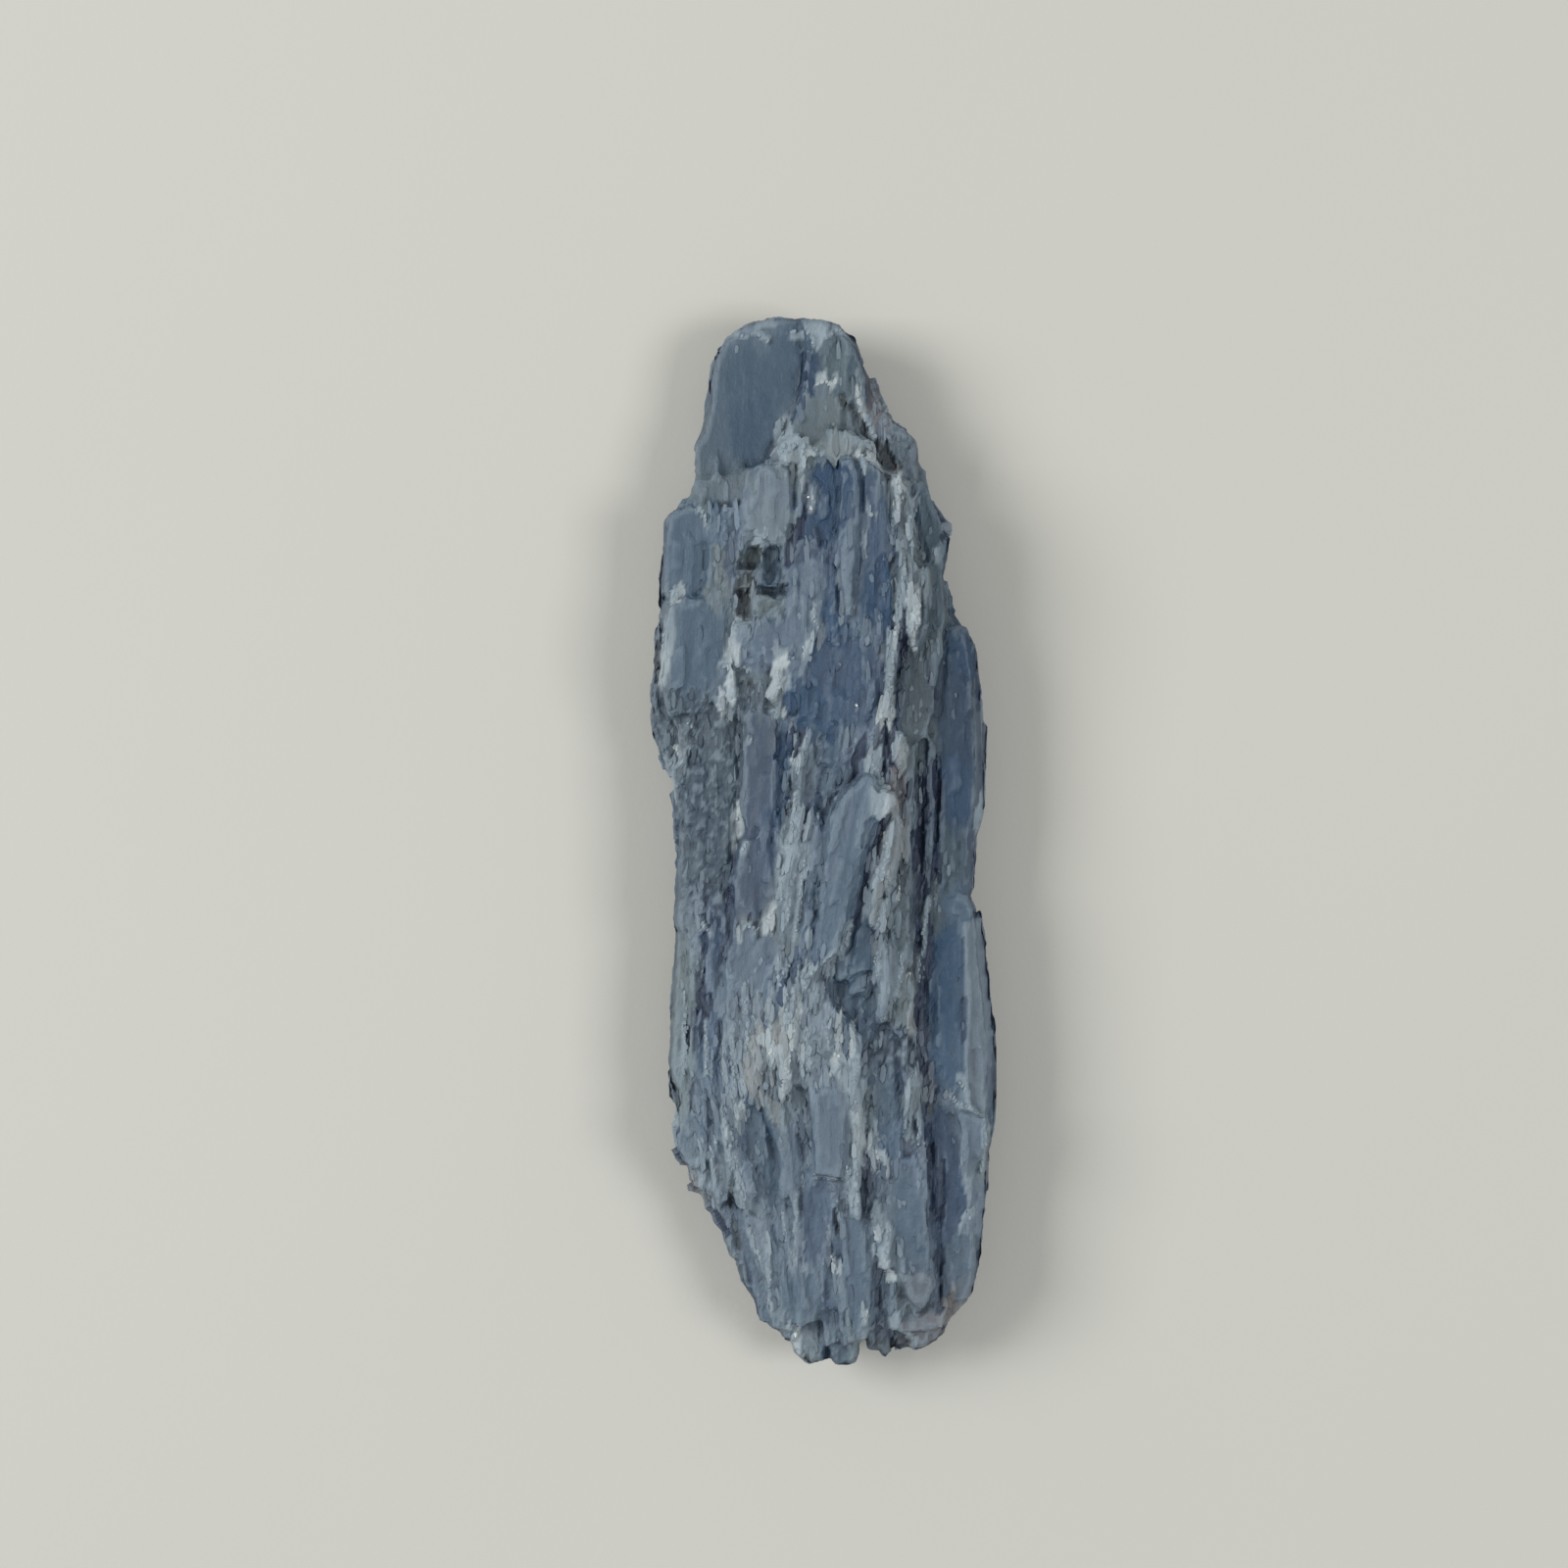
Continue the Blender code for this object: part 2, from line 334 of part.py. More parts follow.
FOOT = [
    Blade("left_end_lilac", 5.9, (0.02, 0.05), [
        (-9.2, -21.2), (-7.4, -21.4), (-7.2, -23.4), (-8.0, -24.3), (-9.1, -24.1), (-9.6, -22.8),
    ], 3.6),
    Blade("left_end_grey", 5.8, (0.05, 0.05), [
        (-7.8, -22.8), (-6.0, -22.6), (-5.6, -25.5), (-5.9, -28.6), (-6.4, -28.2), (-7.0, -26.6),
        (-7.5, -26.0), (-7.7, -24.6),
    ], 3.5),
    Blade("left_end_low", 5.4, (0.05, 0.04), [
        (-6.4, -26.0), (-4.8, -26.0), (-4.6, -29.6), (-5.4, -30.4), (-5.7, -29.0), (-6.2, -28.6),
    ], 3.5),
    Blade("dark_lens", 7.0, (-0.05, 0.0), [
        (-5.1, -17.4), (-4.0, -17.7), (-3.1, -20.0), (-2.8, -21.8), (-2.9, -25.2), (-3.7, -25.4),
        (-4.2, -22.5), (-5.2, -21.0), (-5.7, -20.0),
    ]),
    Blade("pale_left_low", 7.4, (0.06, 0.03), [
        (-6.0, -20.0), (-4.9, -20.8), (-4.2, -23.0), (-4.3, -25.4), (-5.6, -25.0), (-6.2, -23.5),
    ]),
    Blade("olive_wedge", 7.6, (0.02, 0.02), [
        (-4.3, -17.4), (-1.9, -17.2), (-1.6, -20.5), (-1.6, -23.4), (-2.4, -24.6), (-3.0, -24.2),
        (-2.8, -21.5), (-3.5, -19.5),
    ]),
    Blade("blue_pillar", 7.1, (0.03, 0.0), [
        (-2.0, -17.8), (-0.5, -17.6), (-0.4, -22.4), (-1.0, -25.8), (-1.9, -25.0),
    ]),
    Blade("lavender_tile", 8.4, (0.02, 0.0), [
        (-0.8, -16.8), (0.6, -15.8), (2.0, -17.2), (2.0, -20.0), (1.75, -22.95), (-0.65, -22.75),
    ]),
    Blade("pale_pillar", 8.05, (-0.05, 0.02), [
        (1.9, -14.8), (2.9, -14.4), (3.0, -19.5), (2.85, -23.5), (2.65, -26.0), (1.9, -24.8),
        (1.7, -22.0), (1.9, -18.0),
    ]),
    Blade("blue_slate_low", 7.25, (-0.04, 0.0), [
        (2.7, -14.6), (5.3, -14.8), (5.3, -18.0), (5.1, -21.0), (5.1, -26.8), (4.4, -29.2),
        (3.4, -26.4), (2.7, -22.0),
    ]),
    Blade("rib_low_right", 7.0, (0.0, 0.0), [
        (4.8, -16.4), (6.9, -16.0), (7.3, -20.0), (7.4, -23.6), (6.2, -22.6), (5.0, -22.6),
    ]),
    Blade("pale_finger", 8.05, (0.08, 0.0), [
        (5.3, -15.6), (6.3, -15.2), (6.4, -17.0), (6.1, -19.0), (5.7, -20.3), (5.2, -19.4),
    ]),
    Blade("navy_wedge", 6.1, (0.06, 0.0), [
        (7.2, -17.0), (8.4, -17.0), (9.4, -18.6), (10.4, -21.2), (10.2, -24.0), (9.4, -27.0),
        (8.1, -26.4), (7.6, -23.0), (7.2, -20.0),
    ]),
    Blade("lavender_facet", 6.6, (-0.08, 0.12), [
        (8.9, -18.0), (11.2, -18.6), (11.4, -20.4), (10.8, -21.8), (10.0, -21.3), (9.3, -19.8),
    ]),
    Blade("right_rim_lower", 5.5, (-0.14, 0.0), [
        (10.6, -18.4), (11.9, -18.6), (11.6, -21.5), (11.35, -25.0), (11.05, -28.0),
        (10.0, -28.6), (9.5, -25.6), (10.2, -22.0),
    ], 3.6),
    Blade("right_plate_low", 5.9, (-0.05, 0.04), [
        (8.0, -25.2), (9.6, -25.4), (10.7, -26.6), (10.95, -28.6), (10.7, -31.1), (9.6, -31.6),
        (8.1, -31.4), (7.9, -28.0),
    ], 3.6),
    Blade("round_ended_plate", 6.9, (0.03, 0.04), [
        (4.8, -22.2), (6.8, -22.0), (7.35, -25.0), (7.75, -28.0), (7.8, -30.4), (7.4, -31.4),
        (6.8, -31.9), (5.9, -31.3), (5.2, -29.5), (4.8, -26.0),
    ]),
    Blade("slate_low_left", 7.0, (-0.04, 0.03), [
        (-1.6, -22.4), (1.3, -22.4), (1.1, -25.2), (0.5, -27.6), (0.1, -29.6), (-0.1, -32.6),
        (-1.7, -32.8), (-1.6, -28.0),
    ]),
    Blade("slate_low_right", 6.95, (-0.03, 0.04), [
        (1.2, -24.8), (2.9, -25.2), (3.4, -27.6), (3.7, -31.2), (3.1, -33.8), (1.4, -34.4),
        (1.0, -31.0), (1.2, -28.0),
    ]),
    Blade("chip_low", 7.4, (0.0, 0.05), [
        (0.3, -22.8), (1.4, -23.2), (1.0, -24.8), (0.5, -25.2), (0.2, -24.2),
    ]),
    Blade("lavender_low", 6.5, (0.05, 0.05), [
        (-4.9, -24.6), (-3.4, -25.0), (-1.8, -25.0), (-1.5, -30.6), (-1.8, -33.3), (-3.3, -33.1),
        (-3.7, -29.8), (-4.8, -27.6),
    ]),
    Blade("left_slope_low", 5.7, (0.05, 0.05), [
        (-5.9, -25.0), (-4.5, -26.2), (-3.5, -30.0), (-3.0, -33.1), (-4.3, -33.0), (-4.7, -31.3),
        (-5.6, -30.1), (-5.8, -27.6),
    ], 3.8),
    Blade("low_middle", 6.0, (0.0, 0.04), [
        (3.3, -28.4), (4.9, -27.6), (5.8, -31.4), (5.4, -33.2), (4.2, -33.2), (3.5, -31.4),
    ]),
    Blade("under_rounded_end", 5.7, (0.0, 0.05), [
        (4.9, -29.6), (8.2, -29.8), (8.5, -31.6), (8.2, -33.2), (5.3, -33.4),
    ]),
    Blade("right_end", 5.2, (-0.05, 0.08), [
        (7.9, -30.4), (10.7, -30.9), (10.4, -31.5), (9.7, -32.1), (9.0, -32.9), (8.6, -33.4),
        (7.6, -32.8),
    ], 3.3),
    Blade("tooth_a", 5.1, (0.05, 0.12), [
        (-2.9, -32.4), (0.4, -32.4), (0.5, -35.6), (-0.3, -35.85), (-0.9, -36.0), (-1.4, -35.5),
        (-1.95, -34.9), (-2.2, -34.1), (-3.0, -33.4),
    ], 3.4),
    Blade("tooth_b", 4.8, (-0.03, 0.12), [
        (0.0, -32.0), (3.0, -33.2), (2.9, -35.2), (2.6, -35.9), (2.1, -36.1), (1.1, -36.1),
        (0.6, -35.6),
    ], 3.1),
    Blade("tooth_c", 4.6, (0.05, 0.12), [
        (2.9, -32.6), (4.8, -32.4), (5.25, -34.3), (5.0, -35.1), (4.55, -35.75), (4.1, -35.4),
        (3.9, -35.0), (3.1, -35.1),
    ], 3.1),
    Blade("tooth_d", 4.7, (0.0, 0.14), [
        (5.1, -32.8), (8.3, -32.6), (8.7, -33.6), (8.2, -34.25), (7.5, -34.7), (6.8, -35.05),
        (6.0, -34.9), (5.45, -34.0),
    ], 3.2),
]

# Clefts and pits, as (name, floor level, outline). Each is cut down from above the specimen
# and is wider by the flare all round at its mouth.
CLEFT_FLARE = 0.25
CLEFTS = [
    ("long_cleft", 4.5, [
        (6.75, 6.9), (7.15, 6.8), (6.95, 0.0), (6.75, -5.0), (7.05, -9.0), (7.2, -13.0),
        (7.3, -16.4), (7.7, -20.0), (7.9, -25.6), (7.5, -25.8), (7.15, -20.0), (6.85, -16.4),
        (6.45, -13.0), (6.65, -9.6), (6.3, -5.0), (6.45, 0.0),
    ]),
    ("side_cleft", 4.7, [
        (7.7, 4.7), (8.0, 4.6), (7.95, 0.0), (7.65, -4.6), (7.4, -4.8), (7.6, 0.0),
    ]),
    ("low_cleft", 4.6, [
        (0.1, -29.4), (0.6, -28.0), (1.05, -30.4), (1.0, -32.4), (0.3, -32.6), (0.2, -31.0),
    ]),
    ("low_right_cleft", 4.6, [
        (3.45, -29.4), (3.75, -29.2), (4.35, -32.6), (4.0, -33.2), (3.5, -32.8), (3.75, -31.2),
    ]),
    ("left_slot", 5.6, [
        (-7.35, -20.8), (-7.0, -21.2), (-6.9, -22.6), (-7.2, -22.9), (-7.4, -22.0),
    ]),
    ("left_nick", 5.4, [
        (-6.35, -24.1), (-6.05, -24.3), (-5.8, -25.2), (-6.1, -25.4), (-6.3, -24.8),
    ]),
    ("mica_pit_a", 6.75, [
        (-5.75, 18.4), (-4.2, 18.3), (-4.1, 19.9), (-5.1, 20.2), (-5.75, 19.6),
    ]),
    ("mica_pit_b", 6.7, [
        (-3.85, 17.5), (-2.8, 17.3), (-2.7, 20.0), (-3.85, 20.1),
    ]),
    ("mica_pit_c", 6.75, [
        (-5.85, 15.1), (-4.9, 15.3), (-4.8, 16.6), (-5.1, 17.4), (-5.75, 17.2),
    ]),
    ("mica_pit_d", 6.9, [
        (-4.4, 17.4), (-2.9, 17.1), (-2.2, 16.7), (-2.3, 16.2), (-3.9, 16.6),
    ]),
]

# The wide cleavage face on the back, on which the specimen lies.
REST_BLADE = Blade("rest_blade", REST_LEVEL, (0.0, 0.0), [
    (-4.0, 20.0), (-2.4, 25.5), (0.4, 26.0), (2.9, 18.5), (3.9, 6.0), (4.9, -9.0), (4.6, -21.0),
    (2.8, -26.5), (-0.4, -25.0), (-3.4, -17.0), (-4.6, -2.0), (-4.9, 9.0),
], 2.0)

# The sides. A tier is the level of an edge blade's middle and how far it stands in from the
# silhouette.
EDGE_SEED = 11
EDGE_BLADES_PER_SIDE = 25
EDGE_TIERS = [(2.5, 0.0), (3.8, 0.15), (1.5, 0.55), (3.1, 0.1), (4.4, 0.3)]
EDGE_SPANS = 3
EDGE_REACH = 2.8
# How much the edge blades differ, each from the last.
EDGE_DRIFT = 1.0
EDGE_HALF_LENGTHS = (3.0, 7.5)
EDGE_END_CLEAR = 1.0
EDGE_LEVEL_SPREAD = 0.2
EDGE_SINK_SPREAD = 0.3
EDGE_THICKNESSES = (0.8, 1.4)
EDGE_SKEW = 1.2
EDGE_DRAWN_IN = (0.1, 0.3)
EDGE_LEAN_ACROSS = 0.12
EDGE_LEAN_ALONG = 0.02
# The upper face's outer blades stand in by this much from the silhouette, and the feet of its
# inner ones reach this much under their neighbours.
EDGE_SETBACK = 0.15
FOOT_OVERLAP = 0.12
NUDGE_SEED = 3
NUDGE = 0.05
LEAN_SPREAD = 0.07
LEAN_ALONG_SHARE = 0.25

# The back's columns of blades.
BACK_SEED = 5
BACK_COLUMN_WIDTHS = [2.6, 1.9, 3.1, 2.2, 2.8, 2.0, 3.0, 2.3, 2.0]
BACK_REACH = 33.5
BACK_SETBACK = 1.1
NARROWEST_BLADE = 0.8
SHORTEST_BACK_BLADE = 4.0
# How much the back's blades differ, each from the last.
BACK_STAGGER = 3.0
BACK_LENGTHS = (7.0, 17.0)
BACK_DRIFT = 0.12
BACK_SKEW = 0.9
BACK_STEP = 0.45
BACK_LEAN = 0.04
BACK_GAPS = (-0.3, 0.8)
BACK_DRAWN_IN = 0.15
BACK_INSIDE = (0.6, 0.9)
# The back's rise off the table: along its middle, at its sides and at its two ends.
HULL_MIDDLE = 0.25
HULL_SIDES = 1.3
HULL_ENDS = 0.8
# A cutter stands this far above the upper face.
CUTTER_ABOVE = 1.0


def clear_scene():
    for old in list(bpy.data.objects):
        bpy.data.objects.remove(old, do_unlink=True)


def edge_at(edge, y):
    """The silhouette's x at a height y on the plan, between its two nearest points."""
    for (y0, x0), (y1, x1) in zip(edge, edge[1:]):
        if y1 <= y <= y0:
            return x0 + (x1 - x0) * (y0 - y) / (y0 - y1)
    return edge[0][1] if y > edge[0][0] else edge[-1][1]


def middle_of(outline):
    return Vector((
        sum(x for x, _ in outline) / len(outline),
        sum(y for _, y in outline) / len(outline),
    ))


def turns_left(outline):
    pairs = zip(outline, list(outline[1:]) + [outline[0]])
    return sum(x0 * y1 - x1 * y0 for (x0, y0), (x1, y1) in pairs) > 0


def shifted(points, by):
    """The points of an outline with all its sides moved inwards by a distance."""
    to_inside = 1 if turns_left(points) else -1
    moved = []
    for before, point, after in zip(points[-1:] + points[:-1], points, points[1:] + points[:1]):
        sides = [(point - before).normalized(), (after - point).normalized()]
        normals = [Vector((-side.y, side.x)) * to_inside for side in sides]
        spread = max(1 + normals[0].dot(normals[1]), SHARPEST_CORNER)
        moved.append(point + (normals[0] + normals[1]) * (by / spread))
    return moved


def folded(points, moved):
    """Whether moving the sides has turned one of them round or made two of them cross."""
    was = list(zip(points, points[1:] + points[:1]))
    now = list(zip(moved, moved[1:] + moved[:1]))
    if any((b - a).dot(d - c) <= 0 for (a, b), (c, d) in zip(was, now)):
        return True
    return any(
        intersect_line_line_2d(*now[i], *now[j])
        for i in range(len(now)) for j in range(i + 2, len(now)) if (j + 1) % len(now) != i
    )


def drawn_in(outline, by):
    """The outline with its sides moved in by a distance, or as far as its short sides allow."""
    points = [Vector(p) for p in outline]
    moved = shifted(points, by)
    while folded(points, moved):
        by *= FOLD_RETREAT
        moved = shifted(points, by)
    return moved


def leaning(outline, level, lean):
    """The outline's points in space, on a face through its middle that leans as given."""
    middle = middle_of(outline)
    return [
        Vector((x, y, level + lean[0] * (x - middle.x) + lean[1] * (y - middle.y)))
        for x, y in outline
    ]


def prism(name, foot, foot_level, head, head_level, lean=(0.0, 0.0), foot_lean=(0.0, 0.0)):
    """A closed prism from the foot outline up to the head outline, on faces that lean."""
    bm = bmesh.new()
    low = [bm.verts.new(point) for point in leaning(foot, foot_level, foot_lean)]
    floor = bm.faces.new(low)
    made = bmesh.ops.extrude_face_region(bm, geom=[floor], use_keep_orig=True)
    high = [v for v in made["geom"] if isinstance(v, bmesh.types.BMVert)]
    high_points = leaning(head, head_level, lean)
    for vert in high:
        below = next(e.other_vert(vert) for e in vert.link_edges if e.other_vert(vert) in low)
        vert.co = high_points[low.index(below)]
    bmesh.ops.triangulate(bm, faces=[f for f in bm.faces if len(f.verts) == 4])
    bmesh.ops.scale(bm, vec=(MM, MM, MM), verts=bm.verts)
    bmesh.ops.recalc_face_normals(bm, faces=bm.faces)
    mesh = bpy.data.meshes.new(name)
    bm.to_mesh(mesh)
    bm.free()
    return bpy.data.objects.new(name, mesh)


def rising_blades(blades):
    """The upper face's blades: widest at the foot, their top faces leaning as given.

    Neighbours are drawn with shared sides. A small nudge each keeps their walls from
    coinciding, and inside the mass their feet run into each other.
    """
    draw = random.Random(NUDGE_SEED)
    made = []
    for blade in blades:
        nudge = Vector((draw.uniform(-NUDGE, NUDGE), draw.uniform(-NUDGE, NUDGE)))
        root = blade.root + draw.uniform(-NUDGE, NUDGE)
        lean = (
            blade.lean[0] + draw.uniform(-LEAN_SPREAD, LEAN_SPREAD),
            blade.lean[1] + draw.uniform(-LEAN_SPREAD, LEAN_SPREAD) * LEAN_ALONG_SHARE,
        )
        set_in = -FOOT_OVERLAP if blade.root == ROOT_LEVEL else EDGE_SETBACK
        foot = [point + nudge for point in drawn_in(blade.outline, set_in)]
        head = drawn_in(foot, SIDE_DRAFT * (blade.top - root))
        made.append(prism(blade.name, foot, root, head, blade.top, lean))
    return made


def rest_blade():
    """The blade on the back: its wide flat face looks down and the specimen lies on it."""
    upper = REST_BLADE.outline
    lower = drawn_in(upper, SIDE_DRAFT * (REST_BLADE.root - REST_BLADE.top))
    return prism(REST_BLADE.name, lower, REST_BLADE.top, upper, REST_BLADE.root)


def edge_blades():
    """Thin blades stacked along both sides, like the leaves of a book seen edge on."""
    draw = random.Random(EDGE_SEED)
    made = []
    for side, edge in ((1, LEFT_EDGE), (-1, RIGHT_EDGE)):
        reach = edge[0][0] - edge[-1][0]
        step = reach / (EDGE_BLADES_PER_SIDE + 1)
        for i in range(EDGE_BLADES_PER_SIDE):
            middle = edge[0][0] - step * (i + 1) + draw.uniform(-EDGE_DRIFT, EDGE_DRIFT)
            half = draw.uniform(*EDGE_HALF_LENGTHS)
            top = min(edge[0][0] - EDGE_END_CLEAR, middle + half)
            foot = max(edge[-1][0] + EDGE_END_CLEAR, middle - half)
            level, sink = EDGE_TIERS[i % len(EDGE_TIERS)]
            level += draw.uniform(-EDGE_LEVEL_SPREAD, EDGE_LEVEL_SPREAD)
            sink += draw.uniform(0.0, EDGE_SINK_SPREAD)
            thick = draw.uniform(*EDGE_THICKNESSES)
            stations = [top + (foot - top) * k / EDGE_SPANS for k in range(EDGE_SPANS + 1)]
            outer = [(edge_at(edge, y) + side * sink, y) for y in stations]
            skew = draw.uniform(-EDGE_SKEW, EDGE_SKEW)
            inner = [(x + side * EDGE_REACH, y + skew) for x, y in reversed(outer)]
            outline = outer + inner
            head = drawn_in(outline, draw.uniform(*EDGE_DRAWN_IN))
            name = f"edge_{'left' if side > 0 else 'right'}_{i}"
            lean = (
                side * draw.uniform(0.0, EDGE_LEAN_ACROSS),
                draw.uniform(-EDGE_LEAN_ALONG, EDGE_LEAN_ALONG),
            )
            low = level - thick / 2
            made.append(prism(name, outline, low, head, low + thick, lean, lean))
    return made


def hull_level(x, y):
    """How high the back is off the table: it rises towards the sides and the two ends."""
    left, right = edge_at(LEFT_EDGE, y), edge_at(RIGHT_EDGE, y)
    across = abs(x - (left + right) / 2) / ((right - left) / 2)
    along = abs(y) / (LENGTH / 2)
    return HULL_MIDDLE + HULL_SIDES * across ** 2 + HULL_ENDS * along ** 4


def back_blades():
    """Flat blades on the back, in columns, which step up from the cleavage face."""
    draw = random.Random(BACK_SEED)
    made = []
    left = -sum(BACK_COLUMN_WIDTHS) / 2
    for column, width in enumerate(BACK_COLUMN_WIDTHS):
        right = left + width
        head_y = BACK_REACH - draw.uniform(0.0, BACK_STAGGER)
        row = 0
        while head_y - SHORTEST_BACK_BLADE > -BACK_REACH:
            foot_y = max(head_y - draw.uniform(*BACK_LENGTHS), -BACK_REACH)
            drift = draw.uniform(-BACK_DRIFT, BACK_DRIFT)
            skew = draw.uniform(-BACK_SKEW, BACK_SKEW)
            level = draw.uniform(0.0, BACK_STEP)
            lean_more = draw.uniform(-BACK_LEAN, BACK_LEAN)
            near_side, far_side = [], []
            for y in (head_y, (head_y + foot_y) / 2, foot_y):
                low_x = max(left, edge_at(LEFT_EDGE, y) + BACK_SETBACK) + drift
                high_x = min(right, edge_at(RIGHT_EDGE, y) - BACK_SETBACK) + drift
                near_side.append((low_x, y))
                far_side.append((high_x, y + skew))
            head_y = foot_y + draw.uniform(*BACK_GAPS)
            row += 1
            if min(b[0] - a[0] for a, b in zip(near_side, far_side)) < NARROWEST_BLADE:
                continue
            outline = near_side + far_side[::-1]
            x, y = middle_of(outline)
            hull_lean = (hull_level(x + 0.5, y) - hull_level(x - 0.5, y) + lean_more, 0.0)
            foot = drawn_in(outline, BACK_DRAWN_IN)
            low = hull_level(x, y) + level
            name = f"back_{column}_{row}"
            inside = BELT + draw.uniform(*BACK_INSIDE)
            made.append(prism(name, foot, low, outline, inside, foot_lean=hull_lean))
        left = right
    return made


def cleft(name, floor, outline):
    """A cutter that opens a cleft or a pit from above; it is wider at its mouth."""
    mouth = drawn_in(outline, -CLEFT_FLARE)
    return prism(name, outline, floor, mouth, THICKNESS + CUTTER_ABOVE)


def helper_collection(name, objects):
    """A collection of Boolean operands that a render leaves out."""
    collection = bpy.data.collections.new(name)
    bpy.context.scene.collection.children.link(collection)
    for obj in objects:
        obj.hide_render = True
        obj.display_type = "WIRE"
        collection.objects.link(obj)
    return collection


def boolean(obj, operation, collection):
    modifier = obj.modifiers.new(f"{operation.lower()} {collection.name}", "BOOLEAN")
    modifier.operation = operation
    modifier.operand_type = "COLLECTION"
    modifier.solver = "EXACT"
    modifier.collection = collection


def kyanite_material():
    material = bpy.data.materials.new("kyanite")
    material.use_nodes = True
    shader = material.node_tree.nodes["Principled BSDF"]
    shader.inputs["Base Color"].default_value = KYANITE_BLUE
    shader.inputs["Roughness"].default_value = 0.5
    shader.inputs["Metallic"].default_value = 0.0
    return material


def fused(obj, collections):
    """The object with its Booleans applied and their operands gone, as one mesh."""
    graph = bpy.context.evaluated_depsgraph_get()
    mesh = bpy.data.meshes.new_from_object(obj.evaluated_get(graph))
    obj.modifiers.clear()
    obj.data = mesh
    for collection in collections:
        for operand in list(collection.objects):
            bpy.data.objects.remove(operand, do_unlink=True)
        bpy.data.collections.remove(collection)
    return obj


def without_sealed_hollows(obj):
    """Keeps the outer skin and drops the skins of hollows that the blades shut in."""
    bm = bmesh.new()
    bm.from_mesh(obj.data)
    unseen = set(bm.verts)
    skins = []
    while unseen:
        skin, edge = set(), {unseen.pop()}
        while edge:
            skin |= edge
            edge = {e.other_vert(v) for v in edge for e in v.link_edges} - skin
        unseen -= skin
        skins.append(skin)
    outer = max(skins, key=lambda skin: max(v.co.y for v in skin) - min(v.co.y for v in skin))
    bmesh.ops.delete(bm, geom=[v for v in bm.verts if v not in outer], context="VERTS")
    bm.to_mesh(obj.data)
    bm.free()


def fit_to_size(obj):
    """Gives the specimen its real size, with the origin under the middle of its box."""
    points = [v.co for v in obj.data.vertices]
    low = Vector([min(p[axis] for p in points) for axis in range(3)])
    high = Vector([max(p[axis] for p in points) for axis in range(3)])
    origin = Vector(((low.x + high.x) / 2, (low.y + high.y) / 2, low.z))
    real_size = Vector((WIDTH, LENGTH, THICKNESS)) * MM
    fit = Matrix.Diagonal([real / drawn for real, drawn in zip(real_size, high - low)]).to_4x4()
    obj.data.transform(fit @ Matrix.Translation(-origin))


def build():
    clear_scene()
    blades = rising_blades(HEART + CROWN + UPPER + MIDDLE + LOWER + FOOT)
    blades += edge_blades()
    blades += back_blades()
    cluster = rest_blade()
    cluster.name = "kyanite_cluster"
    bpy.context.scene.collection.objects.link(cluster)
    grown = helper_collection("intergrown blades", blades)
    clefts = helper_collection("clefts", [cleft(*c) for c in CLEFTS])
    boolean(cluster, "UNION", grown)
    boolean(cluster, "DIFFERENCE", clefts)
    fused(cluster, [grown, clefts])
    without_sealed_hollows(cluster)
    cluster.data.materials.clear()
    cluster.data.materials.append(kyanite_material())
    fit_to_size(cluster)


build()
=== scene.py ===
# %% [markdown]
# # A kyanite blade cluster, dressed for its portrait
# Kyanite grows as long flat blades that lie side by side and grow into each other, like a
# bundle of thin slats. When such a bundle is broken from its rock, the blades split along
# their length, so the piece shows long steps, splinters and frayed pale ends.
# The solid model already has the blades that make the outline and the big steps. This
# script adds what the eye sees on them: fibres, splinters, flakes, mica and colour.
# One of Blender's noises starts from the clock unless it is given a seed, so it gets one.

# %% Load the solid model
import math
import random

import bmesh
import bpy
import numpy as np
from mathutils import Matrix, Vector, noise
from mathutils.bvhtree import BVHTree
from mathutils.kdtree import KDTree


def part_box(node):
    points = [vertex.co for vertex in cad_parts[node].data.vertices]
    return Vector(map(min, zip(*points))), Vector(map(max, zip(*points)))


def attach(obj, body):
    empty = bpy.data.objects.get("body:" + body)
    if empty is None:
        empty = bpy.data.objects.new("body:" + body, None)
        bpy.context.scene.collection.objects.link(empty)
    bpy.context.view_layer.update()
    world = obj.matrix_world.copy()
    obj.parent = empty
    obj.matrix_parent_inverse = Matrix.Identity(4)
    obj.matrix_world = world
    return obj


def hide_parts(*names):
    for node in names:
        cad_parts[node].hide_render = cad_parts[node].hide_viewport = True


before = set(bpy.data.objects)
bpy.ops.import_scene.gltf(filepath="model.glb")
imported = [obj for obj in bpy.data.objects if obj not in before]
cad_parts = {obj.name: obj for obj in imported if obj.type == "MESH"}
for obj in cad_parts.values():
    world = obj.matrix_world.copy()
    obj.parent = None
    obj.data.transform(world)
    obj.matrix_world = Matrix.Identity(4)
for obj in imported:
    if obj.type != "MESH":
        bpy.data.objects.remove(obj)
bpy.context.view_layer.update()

NOISE_SEED = 5
noise.seed_set(NOISE_SEED)

MM = 0.001
SOLID = "kyanite_cluster"
low_corner, high_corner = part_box(SOLID)
print("solid model, mm:", [round(side / MM, 2) for side in high_corner - low_corner])

# %% Two helpers that every piece needs


def mesh_of(bm, name):
    """A new mesh with the points and faces of a bmesh."""
    mesh = bpy.data.meshes.new(name)
    bm.to_mesh(mesh)
    return mesh


def object_of(data, name):
    """A new object in the scene that shows this mesh, light or camera."""
    made = bpy.data.objects.new(name, data)
    bpy.context.scene.collection.objects.link(made)
    return made


# %% [markdown]
# ## The table, the light and the camera
# The specimen lies on a plain pale surface and is seen from straight above. One wide soft
# light from the upper left gives the broad, dim shadow on its right. A second, weaker one
# and an even pale sky fill the rest, so no cleft goes black.

